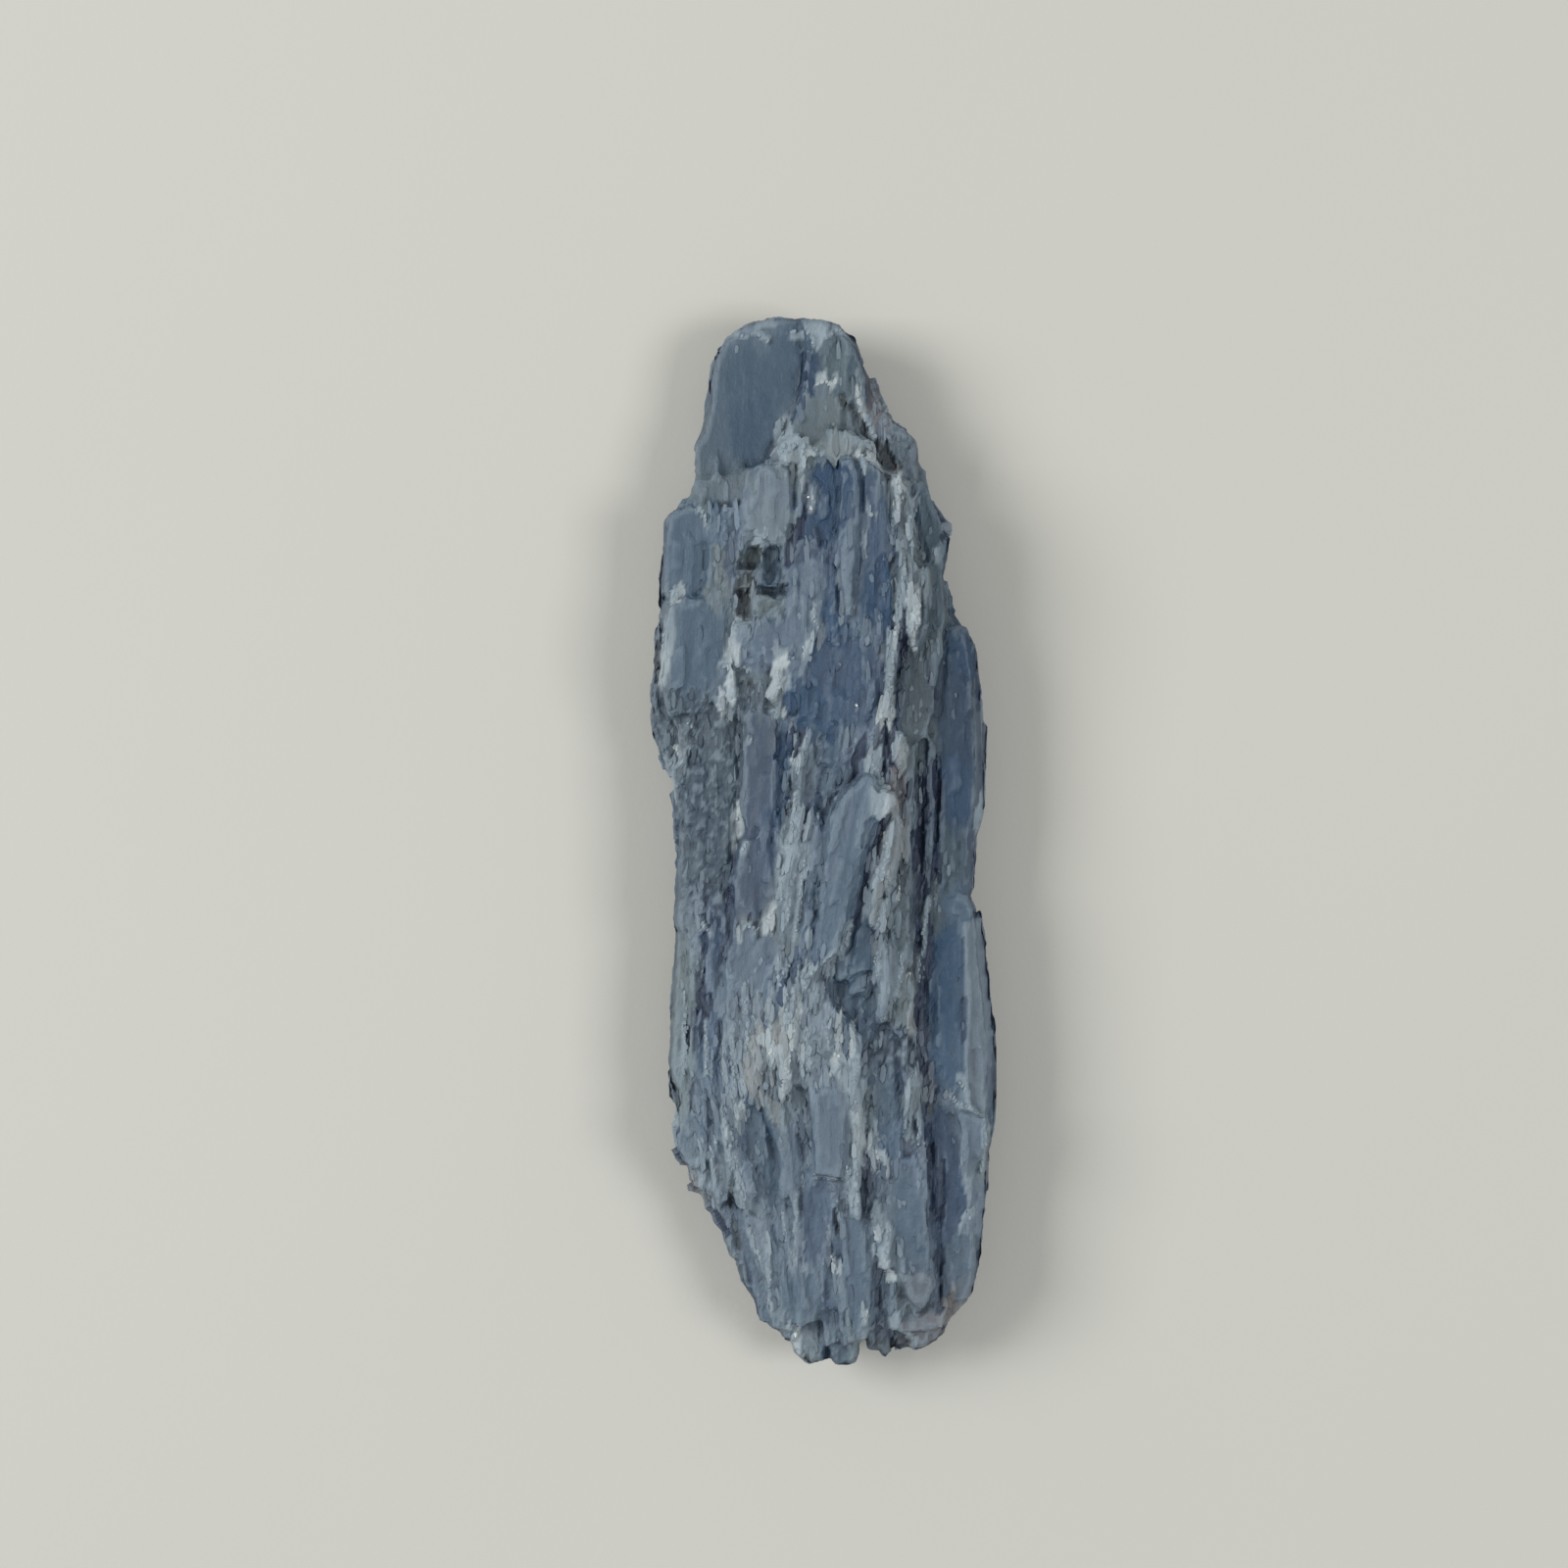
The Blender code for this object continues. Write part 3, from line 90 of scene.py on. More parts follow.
# %% Camera
CAMERA_HEIGHT = 250 * MM
CAMERA_AIM = Vector((-2.56, 3.91, 0.0)) * MM
SENSOR = 36.0
SEEN_WIDTH = 107.96 * MM
SEEN_LEVEL = 3.0 * MM

camera_data = bpy.data.cameras.new("camera")
camera_data.sensor_width = SENSOR
camera_data.lens = SENSOR * (CAMERA_HEIGHT - SEEN_LEVEL) / SEEN_WIDTH
camera = object_of(camera_data, "camera")
camera.location = CAMERA_AIM + Vector((0.0, 0.0, CAMERA_HEIGHT))
bpy.context.scene.camera = camera
print("lens, mm:", round(camera_data.lens, 1))

# %% Table
TABLE_HALF_WIDTH = 1.5

plane = bmesh.new()
bmesh.ops.create_grid(plane, x_segments=1, y_segments=1, size=TABLE_HALF_WIDTH)
table = object_of(mesh_of(plane, "table"), "table")
plane.free()
print("table, m across:", 2 * TABLE_HALF_WIDTH)

# %% Two soft square lights that face the specimen, and the sky
WINDOWS = {  # place and width in metres, watts and colour
    "left_window": ((-0.52, 0.12, 0.41), 0.32, 2.80, (1.0, 0.985, 0.95)),
    "right_window": ((0.43, -0.06, 0.54), 0.26, 1.54, (1.0, 0.99, 0.97)),
}
SKY_COLOUR = (0.99, 1.0, 0.985, 1.0)
SKY_STRENGTH = 0.32

for name, (place, width, watts, colour) in WINDOWS.items():
    lamp = bpy.data.lights.new(name, "AREA")
    lamp.shape, lamp.size, lamp.energy, lamp.color = "SQUARE", width, watts, colour
    light = object_of(lamp, name)
    light.location = place
    light.rotation_euler = (-Vector(place)).to_track_quat("-Z", "Y").to_euler()

world = bpy.data.worlds.new("room")
world.use_nodes = True
sky = world.node_tree.nodes["Background"].inputs
sky["Color"].default_value = SKY_COLOUR
sky["Strength"].default_value = SKY_STRENGTH
bpy.context.scene.world = world
bpy.context.scene.view_settings.view_transform = "Standard"
print("lights:", list(WINDOWS))

# %% [markdown]
# ## Shader maths as plain expressions
# Materials here are sums of noises. Written as nodes by hand they take a page each, so a
# small class wraps a socket and turns `1 - mask * 2` into the Math nodes that work it out.
# Everything that isn't arithmetic goes through one method, `add`.

# %% A socket that can be added and multiplied


class Wire:
    """An output socket. Arithmetic on it adds Math nodes and gives a new Wire."""

    def __init__(self, graph, socket):
        self.graph = graph
        self.socket = socket

    def math(self, operation, *values):
        sockets = dict(enumerate(values))
        return self.graph.add("ShaderNodeMath", {"operation": operation}, sockets)

    def __add__(self, other):
        return self.math("ADD", self, other)

    def __mul__(self, other):
        return self.math("MULTIPLY", self, other)

    def __sub__(self, other):
        return self.math("SUBTRACT", self, other)

    def __rsub__(self, other):
        return self.math("SUBTRACT", other, self)

    __radd__ = __add__

    def above(self, start, end):
        """0 below start and 1 above end, with a smooth step between them."""
        settings = {"interpolation_type": "SMOOTHSTEP"}
        return self.graph.add(
            "ShaderNodeMapRange", settings, {"Value": self, "From Min": start, "From Max": end}
        )


class Graph:
    """A material's node tree, with the Principled shader that ends it."""

    def __init__(self, name):
        self.material = bpy.data.materials.new(name)
        self.material.use_nodes = True
        self.nodes = self.material.node_tree.nodes
        self.links = self.material.node_tree.links
        self.shader = self.nodes["Principled BSDF"]

    def feed(self, socket, value):
        if isinstance(value, Wire):
            self.links.new(value.socket, socket)
        else:
            socket.default_value = value

    def add(self, kind, settings=None, sockets=None, out=0):
        """Adds a node: its settings are set first, then its sockets' values or links."""
        node = self.nodes.new(kind)
        for name, value in (settings or {}).items():
            setattr(node, name, value)
        for name, value in (sockets or {}).items():
            self.feed(node.inputs[name], value)
        return Wire(self, node.outputs[out])

    def attribute(self, name, out="Fac"):
        return self.add("ShaderNodeAttribute", {"attribute_name": name}, out=out)

    def noise(self, place, stretch, detail=3.0, roughness=0.55, shift=0.0):
        """Noise from 0 to 1 whose grains are as long as 1 / stretch along each axis. A shift
        of its own keeps one noise from following another."""
        moved = self.add("ShaderNodeMapping", {}, {
            "Vector": place, "Location": (shift, shift * 0.7, shift * 0.3), "Scale": stretch,
        })
        settings = {"noise_dimensions": "3D"}
        sockets = {"Vector": moved, "Scale": 1.0, "Detail": detail, "Roughness": roughness}
        return self.add("ShaderNodeTexNoise", settings, sockets)

    def mixed(self, share, first, second):
        """A colour between two colours."""
        settings = {"data_type": "RGBA", "clamp_factor": True}
        return self.add("ShaderNodeMix", settings, {0: share, 6: first, 7: second}, out=2)

    def scaled(self, colour, factor):
        """A colour made lighter or darker by a factor."""
        return self.add("ShaderNodeVectorMath", {"operation": "SCALE"},
                        {"Vector": colour, "Scale": factor})

    def bump(self, height, distance, strength, normal=None):
        sockets = {"Height": height, "Distance": distance, "Strength": strength}
        if normal is not None:
            sockets["Normal"] = normal
        return self.add("ShaderNodeBump", {}, sockets)

    def finish(self, **sockets):
        for name, value in sockets.items():
            self.feed(self.shader.inputs[name.replace("_", " ")], value)
        return self.material


SCREEN_POWER = 2.2


def light_of(red, green, blue):
    """The shader's linear colour for a colour written as a screen shows it, 0 to 255."""
    return tuple((c / 255) ** SCREEN_POWER for c in (red, green, blue))


print("a screen's middle grey as light:", round(light_of(128, 128, 128)[0], 3))

# %% [markdown]
# ## The table's surface
# A smooth matt board. Its colour drifts a little between warm and cool, and it has a very
# fine tooth that keeps it from looking like a computer's empty background.

# %% Table material
BOARD_WARM = (*light_of(214, 213, 206), 1.0)
BOARD_COOL = (*light_of(209, 210, 206), 1.0)
DRIFT_STRETCH = (14.0, 14.0, 14.0)
TOOTH_STRETCH = (2500.0, 2500.0, 2500.0)
TOOTH_HEIGHT = 0.00003

board = Graph("pale_board")
board_place = board.add("ShaderNodeTexCoord", out="Object")
drift = board.noise(board_place, DRIFT_STRETCH, detail=2.0)
board_colour = board.mixed(drift, BOARD_WARM, BOARD_COOL)
board_tooth = board.bump(board.noise(board_place, TOOTH_STRETCH, detail=1.0), TOOTH_HEIGHT, 0.3)
table.data.materials.append(
    board.finish(Base_Color=board_colour, Roughness=0.75, Normal=board_tooth))
print("table:", table.data.materials[0].name)

# %% [markdown]
# ## The way the fibres run
# All the fibres run along the specimen, but not quite straight: in the middle they lean, and
# at the broken end the left ones fan inwards. Everything that follows, from splinters to
# colour, uses one pair of coordinates: how far across the fibres a point is, and how far
# along them. So a streak of colour and a ridge always agree.

# %% Across and along the fibres
LEAN_REACH = 2.3
LEAN_CENTRE = (1.0, -1.0)
LEAN_WIDTH = 4.8
LEAN_LENGTH = 10.5
FAN_START = -15.0
FAN_SLOPE = 0.17
FAN_EDGE = 1.5
FAN_SOFTNESS = 1.5
SLOPE_STEP = 0.2


def fibre_shift(x, y):
    """How far a fibre at this place has moved aside from where it would run if straight."""
    near_middle = np.exp(-((x - LEAN_CENTRE[0]) / LEAN_WIDTH) ** 2)
    lean = LEAN_REACH * np.tanh((y - LEAN_CENTRE[1]) / LEAN_LENGTH) * near_middle
    left = 1.0 / (1.0 + np.exp((x - FAN_EDGE) / FAN_SOFTNESS))
    fan = FAN_SLOPE * np.maximum(FAN_START - y, 0.0) * left
    return lean + fan


def fibre_slope(x, y):
    """Run of a fibre along X for each step along Y."""
    ahead, behind = fibre_shift(x, y + SLOPE_STEP), fibre_shift(x, y - SLOPE_STEP)
    return float((ahead - behind) / (2 * SLOPE_STEP))


print("slope in the middle:", round(fibre_slope(1.0, -1.0), 2))

# %% [markdown]
# ## The body of blades
# The solid's blades have clean flat walls and deep gaps. Real ones have grown into each
# other, so the gaps between them are shallow, and each blade is itself a stack of thin
# chips. So a merged copy of the solid gets a bed that fills its gaps up to a little below
# the blades, and thin slats that lie on it along the fibres. A voxel remesh then fuses them
# all to one skin. It is run on a copy that is squeezed along the fibres, so its small square
# faces come out a little longer that way, as the detail is.

# %% A merged copy of the solid in mm, and its skin to measure on
MERGE_WITHIN = 0.002 * MM
ABOVE = 20.0
DOWN = Vector((0.0, 0.0, -1.0))
UP = Vector((0.0, 0.0, 1.0))

stone = bmesh.new()
stone.from_mesh(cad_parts[SOLID].data)
bmesh.ops.remove_doubles(stone, verts=stone.verts, dist=MERGE_WITHIN)
bmesh.ops.scale(stone, vec=Vector((1, 1, 1)) / MM, verts=stone.verts)
skin = BVHTree.FromBMesh(stone)


def top_at(x, y):
    """Height of the specimen's upper face at a place in plan, or None beside it."""
    place = skin.ray_cast(Vector((x, y, ABOVE)), DOWN)[0]
    return None if place is None else place.z


print("faces:", len(stone.faces), "top in the middle, mm:", round(top_at(1.0, -3.0), 2))

# %% A map of the upper face, and how far each place is from the outline
MAP_STEP = 0.2
MAP_REACH = (12.6, 36.6)
FAR_INSIDE = 2.0

map_x = np.arange(-MAP_REACH[0], MAP_REACH[0] + MAP_STEP, MAP_STEP)
map_y = np.arange(-MAP_REACH[1], MAP_REACH[1] + MAP_STEP, MAP_STEP)
heights = np.array([[top_at(x, y) or 0.0 for x in map_x] for y in map_y])


def spread(field, reach_x, reach_y, pick):
    """The largest or the smallest value within an ellipse, in mm, around each place."""
    columns, rows = int(reach_x / MAP_STEP), int(reach_y / MAP_STEP)
    result = field.copy()
    for row in range(-rows, rows + 1):
        for column in range(-columns, columns + 1):
            if math.hypot(row / rows, column / columns) <= 1.0:
                result = pick(result, np.roll(field, (row, column), axis=(0, 1)))
    return result


def inside_map():
    """Distance to the outline, in mm, up to FAR_INSIDE."""
    distance = np.zeros_like(heights)
    for reach in np.arange(MAP_STEP, FAR_INSIDE, MAP_STEP):
        distance = np.where(spread(heights, reach, reach, np.minimum) > 0, reach, distance)
    return distance


inside = inside_map()


def read_map(field, x, y):
    """The value of a map at a place, from the four map points around it."""
    column = min(max((x - map_x[0]) / MAP_STEP, 0), len(map_x) - 2)
    row = min(max((y - map_y[0]) / MAP_STEP, 0), len(map_y) - 2)
    c, r = int(column), int(row)
    u, v = column - c, row - r
    lower = field[r, c] * (1 - u) + field[r, c + 1] * u
    upper = field[r + 1, c] * (1 - u) + field[r + 1, c + 1] * u
    return float(lower * (1 - v) + upper * v)


print("map points:", heights.size, "inside the outline:", int((heights > 0).sum()))

# %% The bed that fills the gaps between the blades
GAP_REACH = (1.0, 2.0)
GAP_ZONES = [-13.0, -4.0, 25.0, 26.0]  # places along the specimen
GAP_DEPTHS = [0.12, 0.32, 0.32, 0.12]
LONG_CLEFT = [(6.6, 8.0), (6.9, 0.0), (6.7, -8.0), (7.2, -18.0), (8.2, -31.0)]
CLEFT_WIDTH = 0.24
CLEFT_DEPTH = 0.36
CROWN_FOOT = 25.5
BED_EDGE = 0.5
BED_ROOT = 3.2

closed = spread(spread(heights, *GAP_REACH, np.maximum), *GAP_REACH, np.minimum)
cleft_y = [y for _, y in reversed(LONG_CLEFT)]
cleft_x = [x for x, _ in reversed(LONG_CLEFT)]


def gap_depth(y):
    """How far the bed lies below the blades: least at the crown and at the foot."""
    return float(np.interp(y, GAP_ZONES, GAP_DEPTHS))


def in_cleft(x, y):
    """1 in the long cleft, falling to 0 at its sides and ends."""
    aside = (x - np.interp(y, cleft_y, cleft_x)) / CLEFT_WIDTH
    beyond = max(y - cleft_y[-1], cleft_y[0] - y, 0.0)
    return math.exp(-aside ** 2 - beyond ** 2)


bed = bmesh.new()
bmesh.ops.create_grid(bed, x_segments=len(map_x) - 1, y_segments=len(map_y) - 1, size=1.0)
for vert in bed.verts:
    vert.co.x *= MAP_REACH[0]
    vert.co.y *= MAP_REACH[1]
bare = [v for v in bed.verts if read_map(inside, v.co.x, v.co.y) < BED_EDGE]
bmesh.ops.delete(bed, geom=bare, context="VERTS")
for vert in bed.verts:
    x, y = vert.co.x, vert.co.y
    depth = gap_depth(y) + (CLEFT_DEPTH - gap_depth(y)) * in_cleft(x, y)
    vert.co.z = read_map(closed, x, y) - depth
upper_face = list(bed.faces)
lowered = bmesh.ops.extrude_face_region(bed, geom=upper_face, use_keep_orig=True)["geom"]
for vert in lowered:
    if isinstance(vert, bmesh.types.BMVert):
        vert.co.z = BED_ROOT
bmesh.ops.recalc_face_normals(bed, faces=bed.faces)
print("bed faces:", len(bed.faces))

# %% One slat: a thin bar with a slanting end and a narrow one


def add_slat(bm, place, along, up, size, taper, slant):
    """size is length, width and thickness; the slat's upper face is centred on its place."""
    length, width, thick = size
    made = bmesh.ops.create_cube(bm, size=1.0)["verts"]
    for vert in made:
        narrowed = taper if vert.co.y > 0 else 1.0
        vert.co.x *= width * narrowed
        vert.co.y = vert.co.y * length + slant * vert.co.x
        vert.co.z = (vert.co.z - 0.5) * thick
    along = along.normalized()
    side = along.cross(up).normalized()
    turned = Matrix((side, along, side.cross(along))).transposed().to_4x4()
    bmesh.ops.transform(bm, matrix=Matrix.Translation(place) @ turned, verts=made)


def lies_on_skin(place, along, length, reach):
    """True where both ends of a slat are on the skin, so that neither sticks out."""
    tips = [place + along.normalized() * length * share for share in (-0.5, 0.5)]
    return all(skin.find_nearest(tip)[3] < reach for tip in tips)


print("skin to lay slats on, mm2:", round(sum(face.calc_area() for face in stone.faces)))

# %% Where a slat on the upper face lies
WIDEST_STEP = 0.6
SLAT_EDGE = 0.8


def lay_on_top(x, y, length, lift, yaw):
    """Where a slat through a place lies: its middle and its direction, or None off the edge."""
    slope = fibre_slope(x, y) + yaw
    reach = Vector((slope, 1.0)).normalized() * length / 2
    ends = [(x + reach.x * k, y + reach.y * k) for k in (-1.0, 0.0, 1.0)]
    if min(read_map(inside, *end) for end in ends) < SLAT_EDGE:
        return None
    levels = [max(top_at(*end), read_map(closed, *end) - gap_depth(y)) for end in ends]
    if max(levels) - min(levels) > WIDEST_STEP:
        return None
    along = Vector((2 * reach.x, 2 * reach.y, levels[2] - levels[0]))
    return Vector((x, y, (levels[0] + levels[2]) / 2 + lift)), along


print("a slat crosses steps of up to", WIDEST_STEP, "mm")

# %% Slats on the upper face
BODY_SEED = 21
TOP_SLATS = 620
HALF_WIDTH, HALF_LENGTH = 12.0, 36.0
SLAT_LENGTHS = (1.2, 4.5)
SLAT_TAPERS = (0.5, 1.0)
TOP_WIDTHS, TOP_THICK, TOP_LIFTS = (0.25, 0.8), 0.8, (0.02, 0.24)
TOP_YAW, TOP_TILT, TOP_SLANTS = 0.04, 0.08, (-1.2, 1.2)

draw = random.Random(BODY_SEED)
grown = bmesh.new()
laid = 0
while laid < TOP_SLATS:
    x, y = draw.uniform(-HALF_WIDTH, HALF_WIDTH), draw.uniform(-HALF_LENGTH, HALF_LENGTH)
    length = draw.uniform(*SLAT_LENGTHS)
    if y > CROWN_FOOT:
        continue
    laying = lay_on_top(x, y, length, draw.uniform(*TOP_LIFTS), draw.gauss(0.0, TOP_YAW))
    if laying is None:
        continue
    place, along = laying
    size = (length, draw.uniform(*TOP_WIDTHS), TOP_THICK)
    tilted = (UP + Vector((draw.gauss(0.0, TOP_TILT), 0.0, 0.0))).normalized()
    add_slat(grown, place, along, tilted, size,
             draw.uniform(*SLAT_TAPERS), draw.uniform(*TOP_SLANTS))
    laid += 1
print("slats on top:", laid)

# %% Short blades in the gaps that open to the outline, and one beside the tallest blade
WEDGES = [  # x, y, level of its upper face, length, width and thickness
    (0.6, -32.7, 6.25, 2.8, 1.1, 1.6), (0.5, -34.25, 4.95, 2.0, 0.9, 2.6),
    (5.4, -33.55, 4.6, 2.1, 0.8, 2.4), (3.2, -6.4, 8.35, 4.6, 1.9, 1.4),
    (2.7, -8.7, 7.9, 3.0, 1.4, 1.0), (-0.6, -34.1, 5.1, 1.8, 0.7, 2.0),
    (1.85, -7.2, 8.2, 4.2, 1.2, 1.2), (-7.0, -22.9, 6.9, 3.2, 0.8, 1.6),
]
WEDGE_FALL, WEDGE_TAPER, WEDGE_SLANT = -0.05, 0.8, 0.4

for x, y, level, *size in WEDGES:
    along = Vector((fibre_slope(x, y), 1.0, WEDGE_FALL))
    add_slat(grown, Vector((x, y, level)), along, UP, size, WEDGE_TAPER, WEDGE_SLANT)
print("wedges:", len(WEDGES))

# %% Slats on the stacked edges and the back
SIDE_SLATS = 1300
REST_CLEAR = 0.3
SIDE_REACH = 0.28
SIDE_FACING, END_FACING = 0.5, 0.4
CORNER_SHARE = 0.05
SIDE_WIDTHS, SIDE_THICK, SIDE_LIFTS = (0.2, 0.7), 0.6, (0.02, 0.14)
SIDE_YAW, SIDE_SLANTS = 0.03, (-1.0, 1.0)

faces = [f for f in stone.faces if f.normal.z < SIDE_FACING and abs(f.normal.y) < END_FACING
         and f.calc_center_median().z > REST_CLEAR]
for face in draw.choices(faces, [f.calc_area() for f in faces], k=SIDE_SLATS):
    corners = [v.co for v in face.verts]
    shares = [draw.random() + CORNER_SHARE for _ in corners]
    place = sum((c * s for c, s in zip(corners, shares)), Vector()) / sum(shares)
    place += face.normal * draw.uniform(*SIDE_LIFTS)
    slope = fibre_slope(place.x, place.y) + draw.gauss(0, SIDE_YAW)
    along = Vector((slope, 1.0, 0.0))
    along -= face.normal * along.dot(face.normal)
    length = draw.uniform(*SLAT_LENGTHS)
    if place.z < REST_CLEAR or not lies_on_skin(place, along, length, SIDE_REACH):
        continue
    size = (length, draw.uniform(*SIDE_WIDTHS), SIDE_THICK)
    add_slat(grown, place, along, face.normal, size,
             draw.uniform(*SLAT_TAPERS), draw.uniform(*SIDE_SLANTS))
print("slats in all:", len(grown.verts) // 8)

# %% Keep the one large body of a mesh


def largest_part(bm):
    """Deletes every loose part but the one with the most points."""
    left = set(bm.verts)
    parts = []
    while left:
        found = [left.pop()]
        for vert in found:
            for edge in vert.link_edges:
                other = edge.other_vert(vert)
                if other in left:
                    left.remove(other)
                    found.append(other)
        parts.append(found)
    parts.sort(key=len)
    for part in parts[:-1]:
        bmesh.ops.delete(bm, geom=part, context="VERTS")
    return len(parts) - 1


print("loose parts of the solid:", largest_part(stone.copy()))

# %% Fuse them with a squeezed voxel remesh
SQUEEZE = 1.5
VOXEL = 0.19

whole = stone.copy()
whole.from_mesh(mesh_of(bed, "bed"))
whole.from_mesh(mesh_of(grown, "slats"))
bmesh.ops.scale(whole, vec=(1.0, 1.0 / SQUEEZE, 1.0), verts=whole.verts)
rough = object_of(mesh_of(whole, "rough"), "rough")
remesh = rough.modifiers.new("fuse", "REMESH")
remesh.mode = "VOXEL"
remesh.voxel_size = VOXEL
graph_now = bpy.context.evaluated_depsgraph_get()
fused = bmesh.new()
fused.from_object(rough, graph_now)
bpy.data.objects.remove(rough)
bmesh.ops.scale(fused, vec=(1.0, SQUEEZE, 1.0), verts=fused.verts)
print("loose parts deleted:", largest_part(fused), "triangles:", 2 * len(fused.faces))

# %% [markdown]
# ## The colours of the blades
# Kyanite's blue is uneven: deep in one blade, nearly grey in the next, whitish where the end
# is frayed, and stained by iron where it lay in the rock. So the colours are a short list of
# named tones, and a list of the places on the upper face where a blade or a streak has each.
# A point takes the tone of the nearest place, and near is measured along the fibres more
# generously than across them, so a tone fills a long narrow patch, as a blade does.

# %% The tones
SKY_SHINE = 0.035
LIGHT_SHARE = 0.90
LEAST_SHARE = 0.36


def stone_tone(red, green, blue):
    """The base colour of stone that looks like this: the sky's reflection is taken off."""
    return np.array([max(c * LEAST_SHARE, c - SKY_SHINE) / LIGHT_SHARE
                     for c in light_of(red, green, blue)])


SEEN_TONES = {  # as a screen shows them
    "navy": (58, 72, 89), "deep": (63, 85, 108), "deep_teal": (51, 77, 99), "blue": (57, 84, 106),
    "indigo": (76, 91, 112), "indigo_grey": (76, 91, 108), "teal": (54, 77, 94),
    "teal_grey": (80, 95, 105), "slate": (82, 97, 112), "steel": (88, 104, 120),
    "steel_pale": (94, 110, 126), "mauve": (82, 93, 109), "lavender": (99, 113, 129),
    "lavender_pale": (115, 128, 140), "grey": (102, 114, 124), "grey_green": (107, 119, 124),
    "bulge_grey": (82, 94, 104), "boss_grey": (102, 109, 116), "olive": (86, 97, 104),
    # the near-white glint tone is a painted highlight, not a tone of the stone
    "pale": (143, 157, 167), "pale_grey": (122, 133, 136), "painted_glint": (236, 240, 240),
    "frost": (172, 183, 188), "beige": (140, 145, 147), "beige_grey": (122, 129, 132),
    "rust": (102, 101, 106), "tan": (116, 112, 110), "brown_grey": (80, 83, 84),
    "umber": (66, 72, 74), "umber_slate": (72, 84, 96), "pit_slate": (72, 88, 104),
    "pit_olive": (80, 90, 90),
}
TONES = {name: stone_tone(*colour) for name, colour in SEEN_TONES.items()}
# Fading runs towards these two tones. Paler serves bruised chips, the paler foot and painted
# highlights on raised edges. Darker serves dark chips and painted shade below steps, in lump
# borders and at the outline.
BRUISE_AND_HIGHLIGHT = stone_tone(145, 160, 173)
DARK_TONE_AND_SHADE = stone_tone(52, 66, 84)
ACCENTS = {"frost": 1.7, "pale": 1.35, "umber": 1.5, "beige": 1.4, "navy": 1.4, "rust": 1.2}
print("tones:", len(TONES))

# %% Where each tone is on the crown and on the upper third, in mm
CROWN_TONES = {
    "slate": [(-5, 33), (-4, 31), (-2.6, 33.6), (-3.2, 29.8), (-6.2, 31.5), (-5.4, 28.6),
              (2.4, 33), (0, 29.6), (-0.8, 31.2), (6.6, 24.2), (-2, 34.2)],
    "teal": [(-3.9, 27.6), (-5, 26.8), (-1.4, 31.2), (2.4, 28.8), (-4.6, 25.6)],
    "grey": [(-7.4, 31), (-6.9, 27.2), (1, 33.8), (5.4, 27.9), (-7.2, 33.2), (0.6, 28.7)],
    "grey_green": [(-8.2, 26.4), (1.3, 30.9), (-1.4, 28), (-0.6, 27.2), (-7.4, 24.2), (6.4, 26),
                   (-5.6, 24.9), (-8.3, 24.4), (1.3, 32.4)],
    "pale": [(-6, 34.6), (0.4, 34.6), (1.2, 27), (-1.4, 26.5), (-2.6, 28.4), (-2.8, 27),
             (2.6, 26.8), (3.5, 28.4), (-3.8, 34.3), (-0.4, 34.7)],
    "frost": [(0.5, 31.2), (2.6, 30.2), (2.4, 31), (-2.7, 26.2), (3.2, 26.2), (3.9, 25.5),
              (-1, 26.6)],
    "rust": [(3.5, 31.2), (4, 29.9), (4.5, 26.6), (5.2, 25.5), (5, 29)],
    "mauve": [(3, 32.2), (4.6, 27.6), (6, 26.9)],
    "olive": [(2, 29.6), (2.8, 28.2), (4.1, 25.2)],
}
